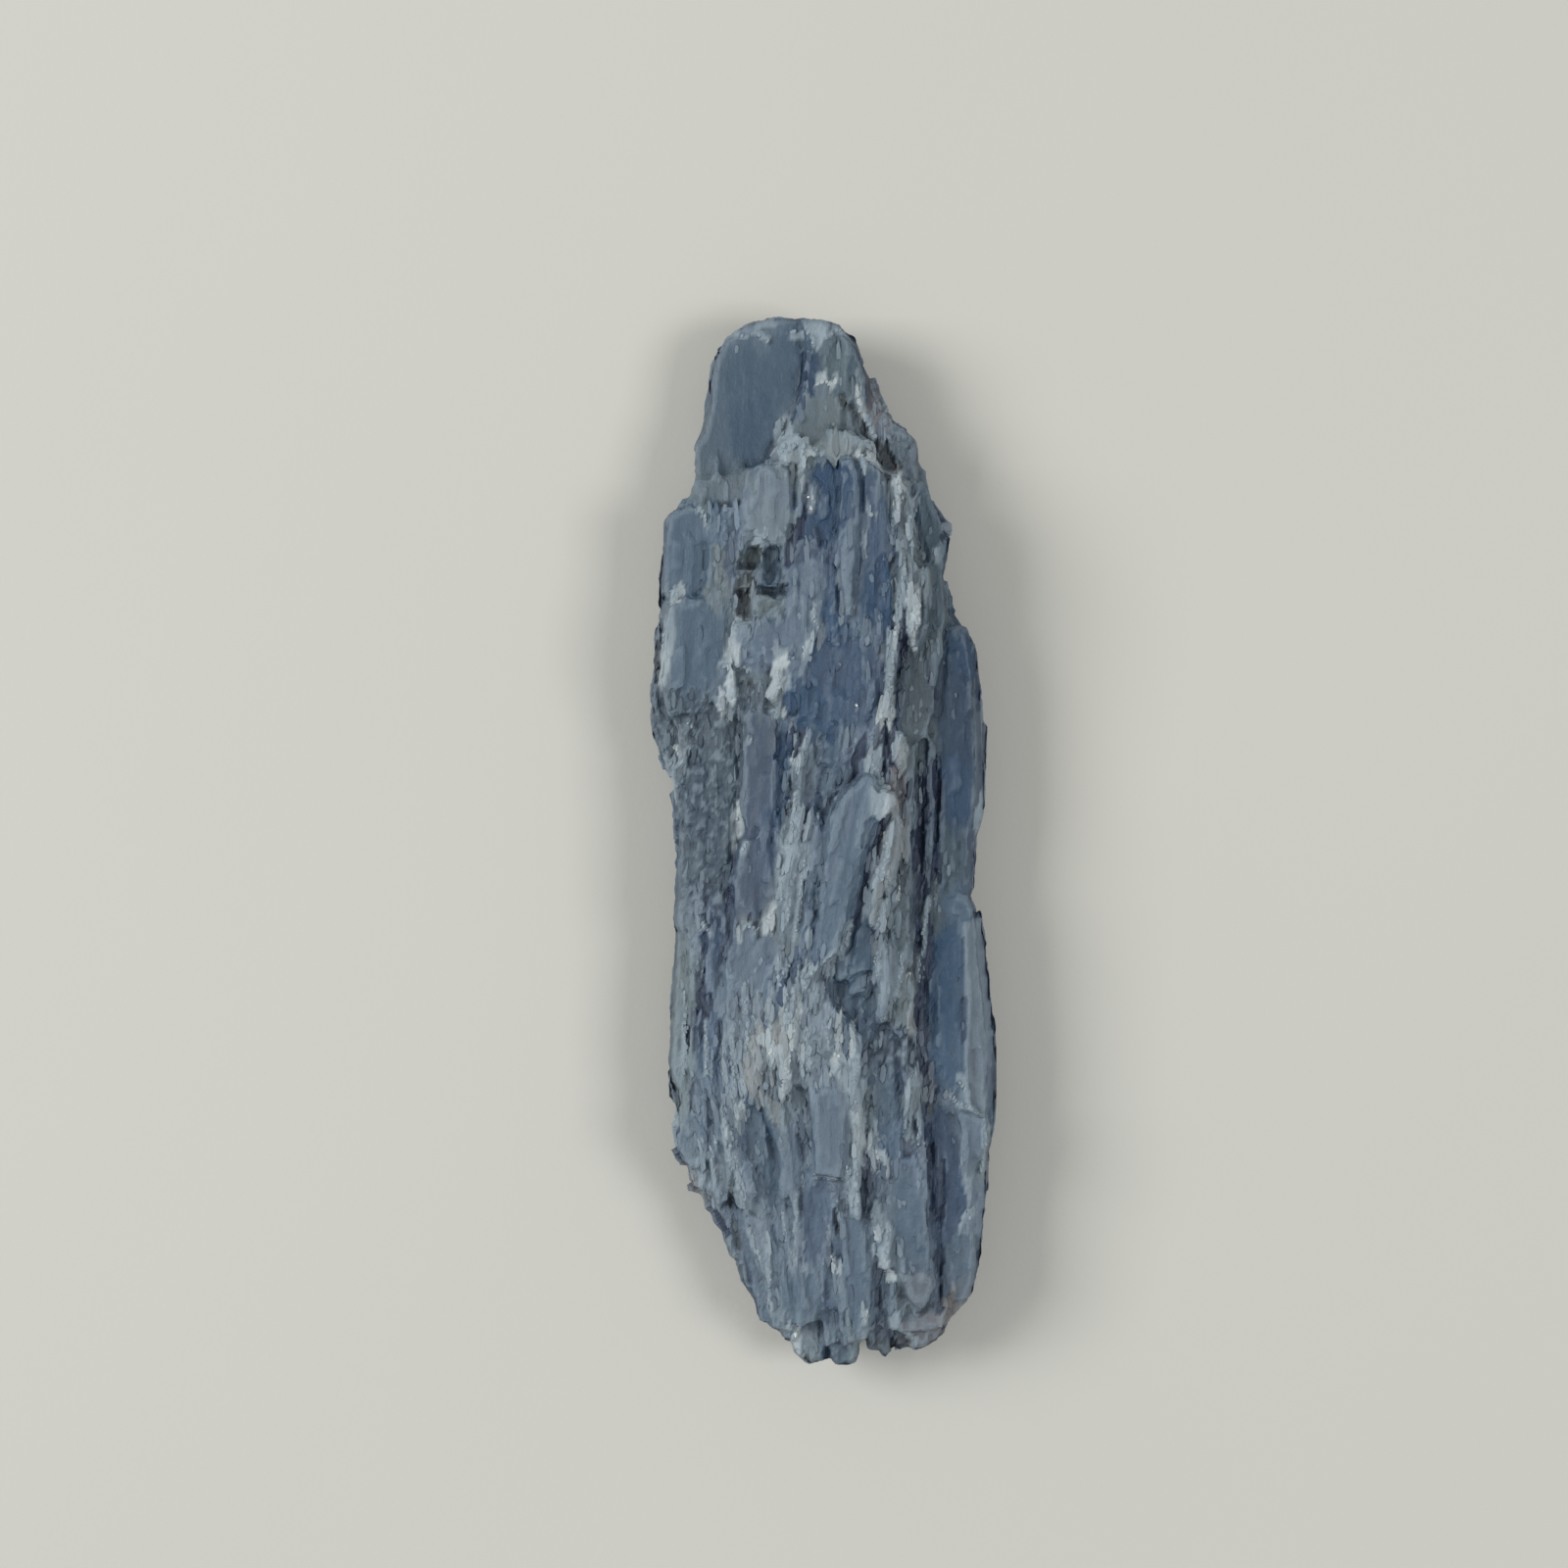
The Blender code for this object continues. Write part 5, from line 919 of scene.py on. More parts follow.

# %% [markdown]
# ## Blades, rims and clefts with places of their own
# Some blades and chips are large enough to know the piece by. Each is a plate: a tone, a level
# in mm above the skin, a calmness and an outline on the upper face. Between and across them
# run pale bruised rims, which stand a little proud, and dark clefts, which are cut in and
# painted dark: partly the stone's own dark tone, partly painted shade.

# %% Plates: tone, level, calmness and outline in mm
PLATES = [
    ("slate", 0.0, 0.85, [
        (-7.6, 31), (-7.4, 32.8), (-6.6, 34.2), (-5, 34.8), (-1.8, 34.8), (-1.2, 33.5),
        (-0.5, 32.6), (-0.4, 30.6), (-1.2, 29.4), (-2.6, 28.6), (-3, 27.5), (-3.6, 26.2),
        (-4.2, 25.3), (-6, 25), (-8, 25), (-8.7, 26), (-8.3, 27.5), (-7.7, 29)]),
    ("indigo_grey", 0.0, 0.8, [
        (-5.6, 30.6), (-3.4, 30.4), (-3, 28.6), (-3.8, 26.6), (-4.6, 25.6), (-6.2, 25.8),
        (-6.4, 28)]),
    ("deep_teal", -0.12, 0.5, [
        (-1.9, 28.6), (-1.5, 31.4), (-1.3, 33.2), (-0.5, 32.8), (-0.3, 30.8), (-0.2, 29.4),
        (-0.7, 28.2), (-1.4, 27.8)]),
    ("grey_green", -0.05, 0.6, [
        (-2.4, 28), (-1.4, 29.3), (-0.9, 30.4), (0.6, 30.3), (1.6, 29), (1.4, 28.2), (0.4, 27.6),
        (-0.4, 27), (-1.6, 27.3)]),
    ("teal_grey", 0.0, 0.2, [
        (-0.3, 31.5), (-0.2, 33.8), (0.5, 34.8), (1.6, 34.8), (2.8, 33.8), (3.2, 32.6),
        (3.8, 31.6), (4.2, 30.4), (3.4, 30), (2.6, 31), (1.6, 30), (0.6, 30.6)]),
    ("olive", -0.15, 0.4, [
        (1.6, 29.8), (2.2, 29.4), (3.2, 28.2), (3.6, 27.2), (2.4, 27.6), (1.3, 28.2)]),
    ("rust", 0.0, 0.2, [
        (3, 31.8), (3.9, 31.4), (4.3, 30.2), (4.6, 29.3), (4, 28.4), (3.6, 27.4), (3.2, 28.4),
        (3.3, 30)]),
    ("grey", 0.1, 0.1, [
        (4.9, 28.9), (6.2, 28.3), (6.8, 27.4), (6.9, 25.6), (6.6, 24.8), (5.6, 25.8), (4.4, 26.4),
        (4.2, 27.6)]),
    ("pale_grey", 0.2, 0.6, [
        (0.3, 27), (0.5, 27.9), (1.6, 27.8), (3.1, 27.2), (3.4, 26.7), (2.2, 26.4), (1.8, 26),
        (0.6, 25.8), (0.2, 26.3)]),
    ("brown_grey", -0.2, 0.2, [
        (3.5, 27), (4.2, 26.6), (5.2, 26), (5.4, 25.3), (4.6, 25.2), (4, 25.9), (2.6, 26.5)]),
    ("grey", 0.0, 0.6, [
        (-8.6, 25), (-6.2, 25), (-5.2, 25.5), (-4.4, 25), (-4.9, 23.8), (-6.5, 23.2),
        (-8.6, 23.2)]),
    ("lavender_pale", 0.12, 0.75, [
        (-4.2, 25.2), (-2.2, 24.9), (-2, 23), (-2.2, 21.4), (-2.6, 20.4), (-3.6, 20.5), (-5.2, 21),
        (-5.4, 22.5), (-4.6, 23.6)]),
    ("steel", 0.05, 0.9, [
        (-10.6, 21.8), (-9.6, 22.5), (-8.6, 22.8), (-7.7, 21.8), (-7.3, 20), (-7.2, 18.2),
        (-8, 17.6), (-10.8, 17.4)]),
    ("steel", 0.1, 0.9, [
        (-10, 15.9), (-8.6, 16), (-7, 15.8), (-6.4, 14.6), (-6.3, 12.6), (-7.2, 11.4),
        (-8.6, 10.4), (-10.2, 10.2), (-10.4, 12), (-10, 14)]),
    ("pit_olive", 0.0, 0.4, [(-5.8, 20.1), (-4.2, 20.1), (-4.2, 19), (-5.8, 19)]),
    ("umber", 0.0, 0.4, [(-5.8, 18.9), (-4.2, 18.8), (-4.3, 18.4), (-5.8, 18.5)]),
    ("slate", 0.0, 0.4, [(-3.9, 20.1), (-2.7, 20.1), (-2.7, 17.4), (-3.9, 17.4)]),
    ("umber", 0.0, 0.4, [(-4.5, 17.4), (-2.3, 17.2), (-2.3, 16.6), (-4.3, 16.8)]),
    ("brown_grey", 0.0, 0.4, [(-5.8, 17.1), (-4.9, 17.3), (-4.9, 15.1), (-5.9, 15.2)]),
    ("grey_green", 0.15, 0.5, [
        (-4.8, 16.8), (-4, 17), (-3.2, 16.5), (-2.4, 16.2), (-2.6, 15.2), (-4.4, 15.1),
        (-4.9, 15.8)]),
    ("deep", -0.1, 0.6, [
        (-0.4, 25.4), (0.9, 25.7), (1.4, 24.8), (2.2, 24.4), (1.8, 22.6), (1.4, 21), (0.4, 20.2),
        (-0.6, 20.3), (-1.5, 20.6), (-1.2, 22.5), (-0.9, 24)]),
    ("indigo", 0.0, 0.5, [
        (1.5, 25.4), (2.6, 25.3), (4.2, 24), (4.4, 22), (4.4, 19.4), (3.2, 19), (3, 21),
        (2.6, 22.6), (2, 23.4)]),
    ("lavender", 0.1, 0.4, [
        (1.6, 22), (2.9, 22.6), (3, 20.4), (2.6, 19), (2.4, 16.8), (1.4, 16.6), (1.2, 18.6),
        (1.4, 20.6)]),
    ("deep", -0.05, 0.5, [
        (2.8, 18.4), (4, 18.8), (4.8, 17.4), (4.8, 15), (4.2, 13.8), (3, 14.6), (2.6, 16)]),
    ("teal_grey", 0.0, 0.4, [
        (6.6, 22.8), (7.6, 23.4), (8.6, 22), (8.8, 20), (8.6, 18), (8.9, 16), (8.9, 15),
        (7.6, 14.4), (6.6, 13), (6.8, 15), (7.6, 17), (7.2, 19), (6.6, 20.6)]),
    ("teal", 0.0, 0.75, [
        (9, 14.9), (9.9, 14.4), (10.5, 13.4), (10.8, 11.5), (11, 8), (11.2, 4.5), (10.6, 2.2),
        (9.6, 1), (8.8, 0.5), (8.1, 1.5), (8.1, 7), (7.4, 9), (7.6, 12), (8.5, 14.3)]),
    ("deep", 0.05, 0.9, [
        (8.7, 14), (9.6, 14.2), (10.2, 13), (10.3, 11.4), (9.2, 11.2), (8.7, 12.4)]),
    ("deep", 0.0, 0.9, [(8.3, 5.4), (9.2, 6), (10, 5), (10.2, 2.6), (9.4, 1.2), (8.4, 1.2)]),
    ("olive", 0.0, 0.3, [
        (5.4, 11.8), (6.6, 12.4), (7.1, 11), (7, 9), (6.6, 7), (6.2, 5), (5.6, 5), (5.6, 8)]),
    ("indigo", -0.05, 0.4, [
        (-0.6, 12.4), (0.4, 13.4), (1.8, 13.4), (3.4, 13), (4.2, 12), (4.2, 10), (3.6, 8),
        (2.6, 7.4), (0.6, 7.8), (-1, 8), (-1.8, 9.6), (-1.6, 11)]),
    ("blue", -0.05, 0.5, [(-1.6, 10.4), (-0.2, 10.6), (0.8, 9), (0.8, 7), (-0.6, 6.6), (-2, 8)]),
    ("lavender", 0.1, 0.4, [
        (-2, 18.6), (-0.4, 19), (0.3, 18.6), (0.2, 16), (-0.4, 14), (-1.8, 13.4), (-3.4, 12.2),
        (-5, 12.6), (-6, 13.5), (-5.6, 14.8), (-2.6, 15), (-1.8, 16.4)]),
    ("bulge_grey", 0.0, 0.1, [
        (-11.7, 11.5), (-10.2, 10), (-8.2, 10), (-7.2, 9), (-5.2, 10.2), (-4.2, 10.6), (-5, 8),
        (-5.4, 5), (-5.8, 2), (-6, -1), (-6.6, -4), (-8, -3.6), (-9.8, -4), (-9.9, 0), (-10.4, 4),
        (-11.8, 6)]),
    ("mauve", 0.15, 0.8, [
        (-5.2, 9.5), (-4.2, 9.2), (-3.2, 8.2), (-2.9, 5), (-3, 2), (-3, -1), (-3.1, -3.4),
        (-3.6, -5), (-4.6, -5.5), (-5.6, -5), (-5.9, -3), (-5.7, -1), (-5.3, 1.5), (-5.4, 4),
        (-5.2, 7)]),
    ("indigo", 0.15, 0.8, [
        (-4, 2.8), (-3, 2.4), (-2.9, -0.6), (-3.6, -2.4), (-4.6, -1.4), (-4.4, 1)]),
    ("deep", -0.15, 0.4, [
        (-3.1, 8.6), (-2.2, 7.6), (-2.4, 6), (-2.5, 4), (-2.7, 2), (-3, 1), (-3.1, 3), (-3.1, 6)]),
    ("lavender_pale", 0.05, 0.2, [
        (-1.6, 6.6), (-0.6, 6.4), (-0.2, 4.6), (-0.8, 2.6), (-1.4, 1), (-1.9, -1), (-2.6, -2.6),
        (-3, -4.6), (-3, -6), (-1.9, -6.4), (-1.6, -4), (-1.2, -2), (-0.6, -0.4), (-0.2, 1),
        (-1.2, 2), (-1.8, 4), (-2.2, 5.2)]),
    ("steel_pale", 0.05, 0.45, [
        (3.4, 5), (4.1, 4.7), (4.2, 3.4), (3.9, 1.2), (3.3, 0), (2.9, -1.6), (2.6, -3),
        (2.2, -4.6), (1.9, -6), (1.6, -7.2), (0.8, -7.7), (-0.1, -7.4), (-0.2, -5.4), (0.1, -3),
        (0.2, -1), (0.3, 1), (0.7, 2.6), (1.8, 3.6), (2.6, 4.4)]),
    ("lavender", 0.05, 0.5, [
        (0.3, 1), (0.7, 2.6), (1.8, 3.6), (2.2, 1.6), (1.2, -0.6), (1, -3), (0.2, -3)]),
    ("pale", 0.12, 0.3, [(3.3, 3.4), (4.2, 3.4), (4.1, 2.2), (3.9, 1.4), (3.4, 1.6), (3.3, 2.4)]),
    ("beige", 0.1, 0.4, [(4.9, 7.2), (5.5, 7), (5.5, 5.8), (5.2, 4.6), (4.9, 5.4)]),
    ("beige_grey", 0.1, 0.3, [
        (4.6, 2.6), (5.2, 2), (5.9, 1), (6.1, -0.6), (5.2, -1.2), (4.6, -3), (4.4, -4.6),
        (3.6, -6), (3, -5), (3.6, -3), (3.9, -0.8), (4.3, 0.8)]),
    ("olive", -0.05, 0.2, [
        (5.2, -1.2), (6.1, -1), (6.2, -5), (6, -8), (5, -8.4), (5, -5), (4.7, -3)]),
    ("teal_grey", 0.0, 0.2, [
        (7.9, 1), (8.8, 0.4), (9.8, 0), (10.2, -2.4), (9, -2.8), (8.2, -4), (8, -2)]),
    ("lavender_pale", 0.25, 0.5, [
        (4.2, -6), (5, -6.4), (5.2, -9), (5.2, -10), (4.4, -11.8), (3.9, -12), (3.8, -10),
        (3.4, -8.4), (3.6, -7.2)]),
    ("pit_slate", -0.1, 0.3, [
        (2, -5.4), (3.1, -5.4), (3.5, -7), (3.4, -8.4), (3.8, -10.4), (3.8, -12), (2.6, -12.8),
        (1.4, -11.4), (0.4, -10.4), (0.4, -9.2), (1.6, -8.2)]),
    ("blue", 0.0, 0.68, [
        (7.4, -6), (8.6, -5.6), (9.6, -6.4), (9.7, -10), (9.8, -14), (9.6, -16.6), (8, -16.8),
        (7.4, -15.6), (7.3, -12), (7.3, -9)]),
    ("lavender_pale", 0.1, 0.6, [
        (9.7, -5.6), (10.8, -5.4), (11.3, -8), (11.4, -12), (11.3, -15.6), (10.9, -19),
        (10.2, -18.4), (9.7, -16.6), (9.9, -12), (9.8, -9)]),
    ("steel", 0.05, 0.5, [
        (8.2, -4), (9.2, -2.8), (10.2, -2.8), (10.7, -4), (10.5, -5.2), (8.6, -5.4)]),
    ("lavender", 0.1, 0.5, [
        (-5.8, -6.2), (-4.6, -6), (-3, -6.6), (-3.2, -8.6), (-4.2, -9.8), (-5.6, -9.8), (-6, -8)]),
    ("lavender", 0.3, 0.8, [
        (-0.5, -16.8), (0.4, -16.4), (1.7, -17), (1.9, -19), (1.7, -22.7), (0.6, -22.9),
        (-0.5, -22.6), (-0.5, -20)]),
    ("umber_slate", -0.15, 0.1, [
        (3.6, -12.8), (4.6, -12.2), (5.8, -13), (6.6, -13.4), (7, -15), (6.4, -16), (4, -14.8),
        (3.2, -14)]),
    ("pit_slate", -0.1, 0.3, [
        (3.2, -14.8), (5, -15), (5.6, -16.6), (5, -19), (3.8, -19.4), (3.2, -17)]),
    ("slate", 0.05, 0.6, [
        (-4.9, -17.7), (-4.3, -17.8), (-3.7, -19), (-3.6, -20.6), (-3.9, -22), (-4.2, -21),
        (-5, -21.4), (-5.2, -19.4)]),
    ("pit_slate", -0.1, 0.5, [
        (-4.3, -17.8), (-3.6, -19), (-3.1, -20.6), (-2.9, -22.6), (-3.1, -24.4), (-3.9, -24.8),
        (-3.9, -22), (-3.7, -20)]),
    ("beige_grey", 0.1, 0.4, [(-4.2, -17), (-2.9, -17.4), (-2.8, -19.2), (-3.4, -19.2)]),
    ("lavender", 0.1, 0.5, [
        (-2.9, -19), (-1.8, -18.6), (-1.6, -20), (-1.8, -23), (-2.2, -24.6), (-2.9, -24.4),
        (-3, -21)]),
    ("indigo", -0.05, 0.5, [
        (-1.3, -23.6), (-0.2, -23.2), (0.6, -24), (0.4, -27.4), (-0.2, -28), (-1.2, -28.4)]),
    ("steel", 0.2, 0.7, [
        (1.4, -25.4), (2.4, -25), (3, -26.4), (3.3, -28), (3.6, -30), (3.6, -32), (3.2, -33.4),
        (2.4, -32.8), (1.4, -31.6), (1.2, -29), (1.3, -27)]),
    ("pit_slate", -0.1, 0.3, [
        (0.9, -25), (1.3, -25.2), (1.2, -26.6), (1.2, -28.4), (0.8, -29.6), (0.4, -30.8),
        (0.3, -29.4), (0.6, -27)]),
    ("deep_teal", 0.0, 0.8, [
        (7.2, -18), (8.4, -18.4), (9.2, -20), (9.8, -22), (9.7, -25), (8.6, -28), (8.2, -31),
        (7.8, -29), (7.4, -26), (7.1, -22)]),
    ("slate", 0.05, 0.5, [
        (8.4, -28), (9.8, -25.6), (10.8, -26.4), (10.6, -30.6), (9, -31.6), (8.2, -31)]),
    ("slate", 0.05, 0.6, [
        (4.9, -22.6), (6, -22.4), (7, -24), (7.4, -26), (7.6, -29), (7, -29), (5.4, -28.6),
        (4.9, -26)]),
    ("boss_grey", 0.25, 0.7, [
        (5.6, -29.4), (6.6, -29), (7.5, -29.6), (7.6, -30.8), (6.9, -31.6), (5.9, -31.3),
        (5.5, -30.4)]),
    ("lavender", 0.15, 0.7, [
        (9, -18.2), (10.2, -18.4), (11, -19.4), (11, -21), (10.4, -22.2), (9.6, -21),
        (9.2, -19.8)]),
    ("lavender", 0.05, 0.4, [
        (-5.6, -25), (-4.8, -25.4), (-4, -27.6), (-3.4, -29), (-3, -31.6), (-3.6, -32.4),
        (-4.8, -30.4), (-5.4, -28)]),
    ("steel", 0.05, 0.5, [
        (-2.6, -29), (-0.6, -28.6), (0, -30.6), (-0.2, -33.4), (-1.6, -33), (-2.8, -31)]),
]

# %% Rims, and clefts painted dark: width in mm, then the places the line runs through
RIMS = {
    "pale": [
        (0.3, [(-5.6, 34.5), (-5.2, 34.4)]), (0.3, [(-4.6, 34.6), (-4, 34.4), (-3.6, 34.1)]),
        (0.35, [(-2.1, 34.8), (-1.2, 34.7), (-0.6, 34.4), (-0.6, 33.9)]),
        (0.3, [(0.2, 34.2), (1.2, 34.8), (2, 34.4)]), (0.4, [(3.1, 28.9), (3.4, 28), (3.7, 27.4)]),
        (0.4, [(-2.4, 28.9), (-2.9, 28.2), (-2.6, 27.2), (-2.9, 26.4), (-2.2, 26.5), (-1.5, 27.2),
            (-1.2, 26.6), (-1.4, 25.9)]), (0.35, [(-1.3, 26.7), (-0.6, 26.7), (0.1, 26.2)]),
        (0.3, [(-3.6, 25.6), (-2.2, 25.7)]),
        (0.3, [(4.1, 25.2), (4.9, 24.9), (5.5, 24.6), (6, 24.3)]), (0.25, [(5.5, 24), (6.2, 23)]),
        (0.4, [(6, 22.6), (6.1, 21), (6.1, 19.6)]), (0.35, [(5.5, 18.4), (5.3, 17), (5.1, 15.8)]),
        (0.4, [(4.9, 13.4), (4.6, 12), (4.6, 10.8), (4.4, 9.6)]), (0.2, [(5.8, 15.6), (5.8, 14)]),
        (0.55, [(7.7, 19.9), (7.8, 19.2)]), (0.4, [(8.6, 21.9), (8.6, 21.2)]),
        (0.28, [(-0.5, 15.8), (-0.6, 15), (-0.3, 14.4)]), (0.35, [(-5.6, 14.8), (-4.6, 14.9)]),
        (0.3, [(-6.9, 11.8), (-6.2, 12), (-5.4, 11.8), (-4.9, 11.5)]),
        (0.4, [(-10.3, 17.1), (-9.8, 16.8), (-9.9, 16.2)]), (0.4, [(-10.7, 14.2), (-10.8, 12)]),
        (0.45, [(-8.5, 22.7), (-8, 22.3), (-7.8, 21.6)]), (0.35, [(3.2, 22.1), (3.6, 21.9)]),
        (0.25, [(-9.1, 8.1), (-8.7, 7.7)]), (0.4, [(-10.7, 5.5), (-10, 5.2), (-9.3, 5.4)]),
        (0.25, [(-5, 7), (-4.7, 6.8)]), (0.4, [(-3.4, 9), (-3, 8.7)]),
        (0.35, [(-5.2, 0.2), (-5.4, -0.8)]), (0.35, [(3.1, 5.1), (4, 4.8), (4.1, 3.8)]),
        (0.3, [(-1.7, 3.4), (-2, 1.6), (-2.1, 0.2)]),
        (0.45, [(1.9, -5.6), (1.6, -6.8), (1, -7.4), (0.2, -8.2), (-0.6, -8.9), (-1.4, -9.5)]),
        (0.35, [(-0.2, 2), (-1, 1.2), (-1.8, 0.6)]),
        (0.4, [(-1.5, -0.4), (-1.9, -2), (-2.4, -5.4)]),
        (0.25, [(-1.2, -1.2), (-1.4, -3), (-1.9, -6.6)]), (0.25, [(-2.7, -2.4), (-2.8, -4)]),
        (0.3, [(-5.5, -5.6), (-4.6, -5.8), (-4.2, -5.9)]), (0.4, [(-8.2, -5.4), (-7.5, -6.2)]),
        (0.4, [(4.6, 0.6), (4.3, -1), (4, -2.6)]), (0.4, [(4.4, -3.4), (4.2, -4.6), (3.6, -5.8)]),
        (0.25, [(7.3, -4), (6.9, -6), (7, -7), (6.6, -8), (6.6, -9.4)]),
        (0.25, [(5.3, -7.4), (5.3, -9), (5, -10.4), (4.2, -11.9)]),
        (0.25, [(3.6, -7.6), (3.7, -9)]), (0.4, [(-2.9, -7.8), (-3.1, -8.8), (-2.8, -9.6)]),
        (0.3, [(-2.1, -7.8), (-2.5, -8.8)]), (0.35, [(-5.2, -9.8), (-5.2, -11.4)]),
        (0.4, [(-5, -12), (-5, -14.8)]), (0.3, [(-3.4, -10), (-3.5, -11.6)]),
        (0.3, [(-2.4, -10), (-2.3, -12.6)]), (0.3, [(-1.5, -12), (-1.4, -15.6)]),
        (0.3, [(-6, -12.6), (-5.9, -18.4)]), (0.25, [(-6.6, -13), (-6.6, -15.6)]),
        (0.3, [(-7.9, -12), (-7.8, -16)]), (0.35, [(-9.3, -10), (-9.3, -15)]),
        (0.3, [(0.4, -12.4), (0.5, -13.6)]), (0.35, [(2.2, -15.6), (2.2, -17.8)]),
        (0.35, [(9.3, -16.2), (9.7, -16.6), (9.9, -17.6)]),
        (0.25, [(8.6, -17.2), (9.2, -17.6), (10.2, -18.2), (10.8, -18.6)]),
        (0.35, [(11.1, -19.4), (11.1, -21), (10.9, -22.4)]), (0.4, [(10.2, -24.8), (10, -25.6)]),
        (0.4, [(6.2, -15.6), (6, -17.2), (5.8, -19.8)]), (0.25, [(6.5, -18.4), (6.6, -20.4)]),
        (0.4, [(-7.2, -20), (-7.4, -20.8), (-7.6, -22.4)]), (0.35, [(-6.1, -19.6), (-6.2, -21.6)]),
        (0.35, [(-5.8, -21), (-5.6, -23.4), (-5.2, -25)]), (0.25, [(1.7, -21.8), (1.7, -24.4)]),
        (0.45, [(2.6, -21.5), (2.4, -23.6), (2.4, -25.4)]), (0.25, [(-0.5, -22.7), (1.7, -22.8)]),
        (0.4, [(4.5, -26), (4.4, -27.4), (4.5, -28.4)]), (0.25, [(-1.7, -24), (-1.8, -26.6)]),
        (0.25, [(-2.6, -25), (-2.5, -27)]), (0.4, [(-4.9, -26.4), (-4.4, -27.6), (-4, -28.4)]),
        (0.4, [(-3.7, -28.8), (-3.4, -29.8)]), (0.35, [(-3.6, -31), (-3.4, -32)]),
        (0.25, [(3.4, -25), (3.5, -26), (3.7, -26.2)]), (0.3, [(-1, -13.6), (-0.9, -15.4)]),
    ],
    "frost": [
        (0.4, [(-0.3, 31.1), (0.2, 31.4), (0.7, 31), (1, 31.4)]),
        (0.4, [(2.4, 30.7), (2.6, 29.7), (2.9, 29.1)]),
        (0.45, [(2.3, 26.1), (3.2, 26.1), (3.9, 25.5)]),
        (0.35, [(4.9, 24.4), (5.2, 23.6), (4.9, 22.9)]),
        (0.35, [(6.3, 16.6), (6.5, 15.2), (6.2, 14), (6.1, 12.8)]),
        (0.35, [(5.2, 14.6), (4.9, 13.4)]), (0.22, [(-0.9, 13.6), (-1.3, 12.9), (-1.2, 12.3)]),
        (0.3, [(-3, 11.8), (-2.9, 10.9)]), (0.3, [(-0.6, 23.4), (-0.6, 23.1)]),
        (0.3, [(-0.7, 22.6), (-0.7, 22.4)]), (0.35, [(-6.9, 9.1), (-6.8, 8.8)]),
        (0.35, [(-9.9, 6.3), (-9.7, 5.8)]), (0.3, [(2.2, 9.3), (2.4, 9.2)]),
        (0.4, [(4.1, 8.5), (4.5, 8.9), (4.8, 9)]), (0.4, [(-2.1, 5.6), (-1.6, 5.3)]),
        (0.35, [(-5.9, 1.5), (-5.4, 1.9)]), (0.4, [(-3.6, -5.4), (-3.4, -5.3)]),
        (0.25, [(5.2, -3), (5.1, -3.8)]), (0.25, [(5.9, -8.8), (5.9, -9.6)]),
        (0.35, [(-3.4, -13.6), (-3.4, -14.4)]), (0.35, [(-2, -12.6), (-2.1, -14.4)]),
        (0.35, [(-2.2, -14.4), (-2.6, -16.4)]), (0.3, [(1.6, -13.7), (1.7, -14.2)]),
        (0.25, [(0.7, -14.1), (1.2, -14.5)]), (0.35, [(2.7, -19.4), (2.7, -20.4)]),
        (0.45, [(3.2, -20.6), (3.6, -21.2), (4, -21.4)]), (0.4, [(4.4, -28.4), (4.5, -29)]),
        (0.25, [(0.7, -28), (0.9, -29.1)]), (0.3, [(2.9, -31.6), (3, -32.6)]),
        (0.4, [(-1.7, -32.9), (-1.6, -33.6)]),
    ],
    "tan": [
        (0.4, [(9, -30.6), (8.6, -32)]), (0.3, [(9.2, -32), (8.6, -33)]),
        (0.35, [(-8.6, -24), (-7.8, -24.2)]),
    ],
}
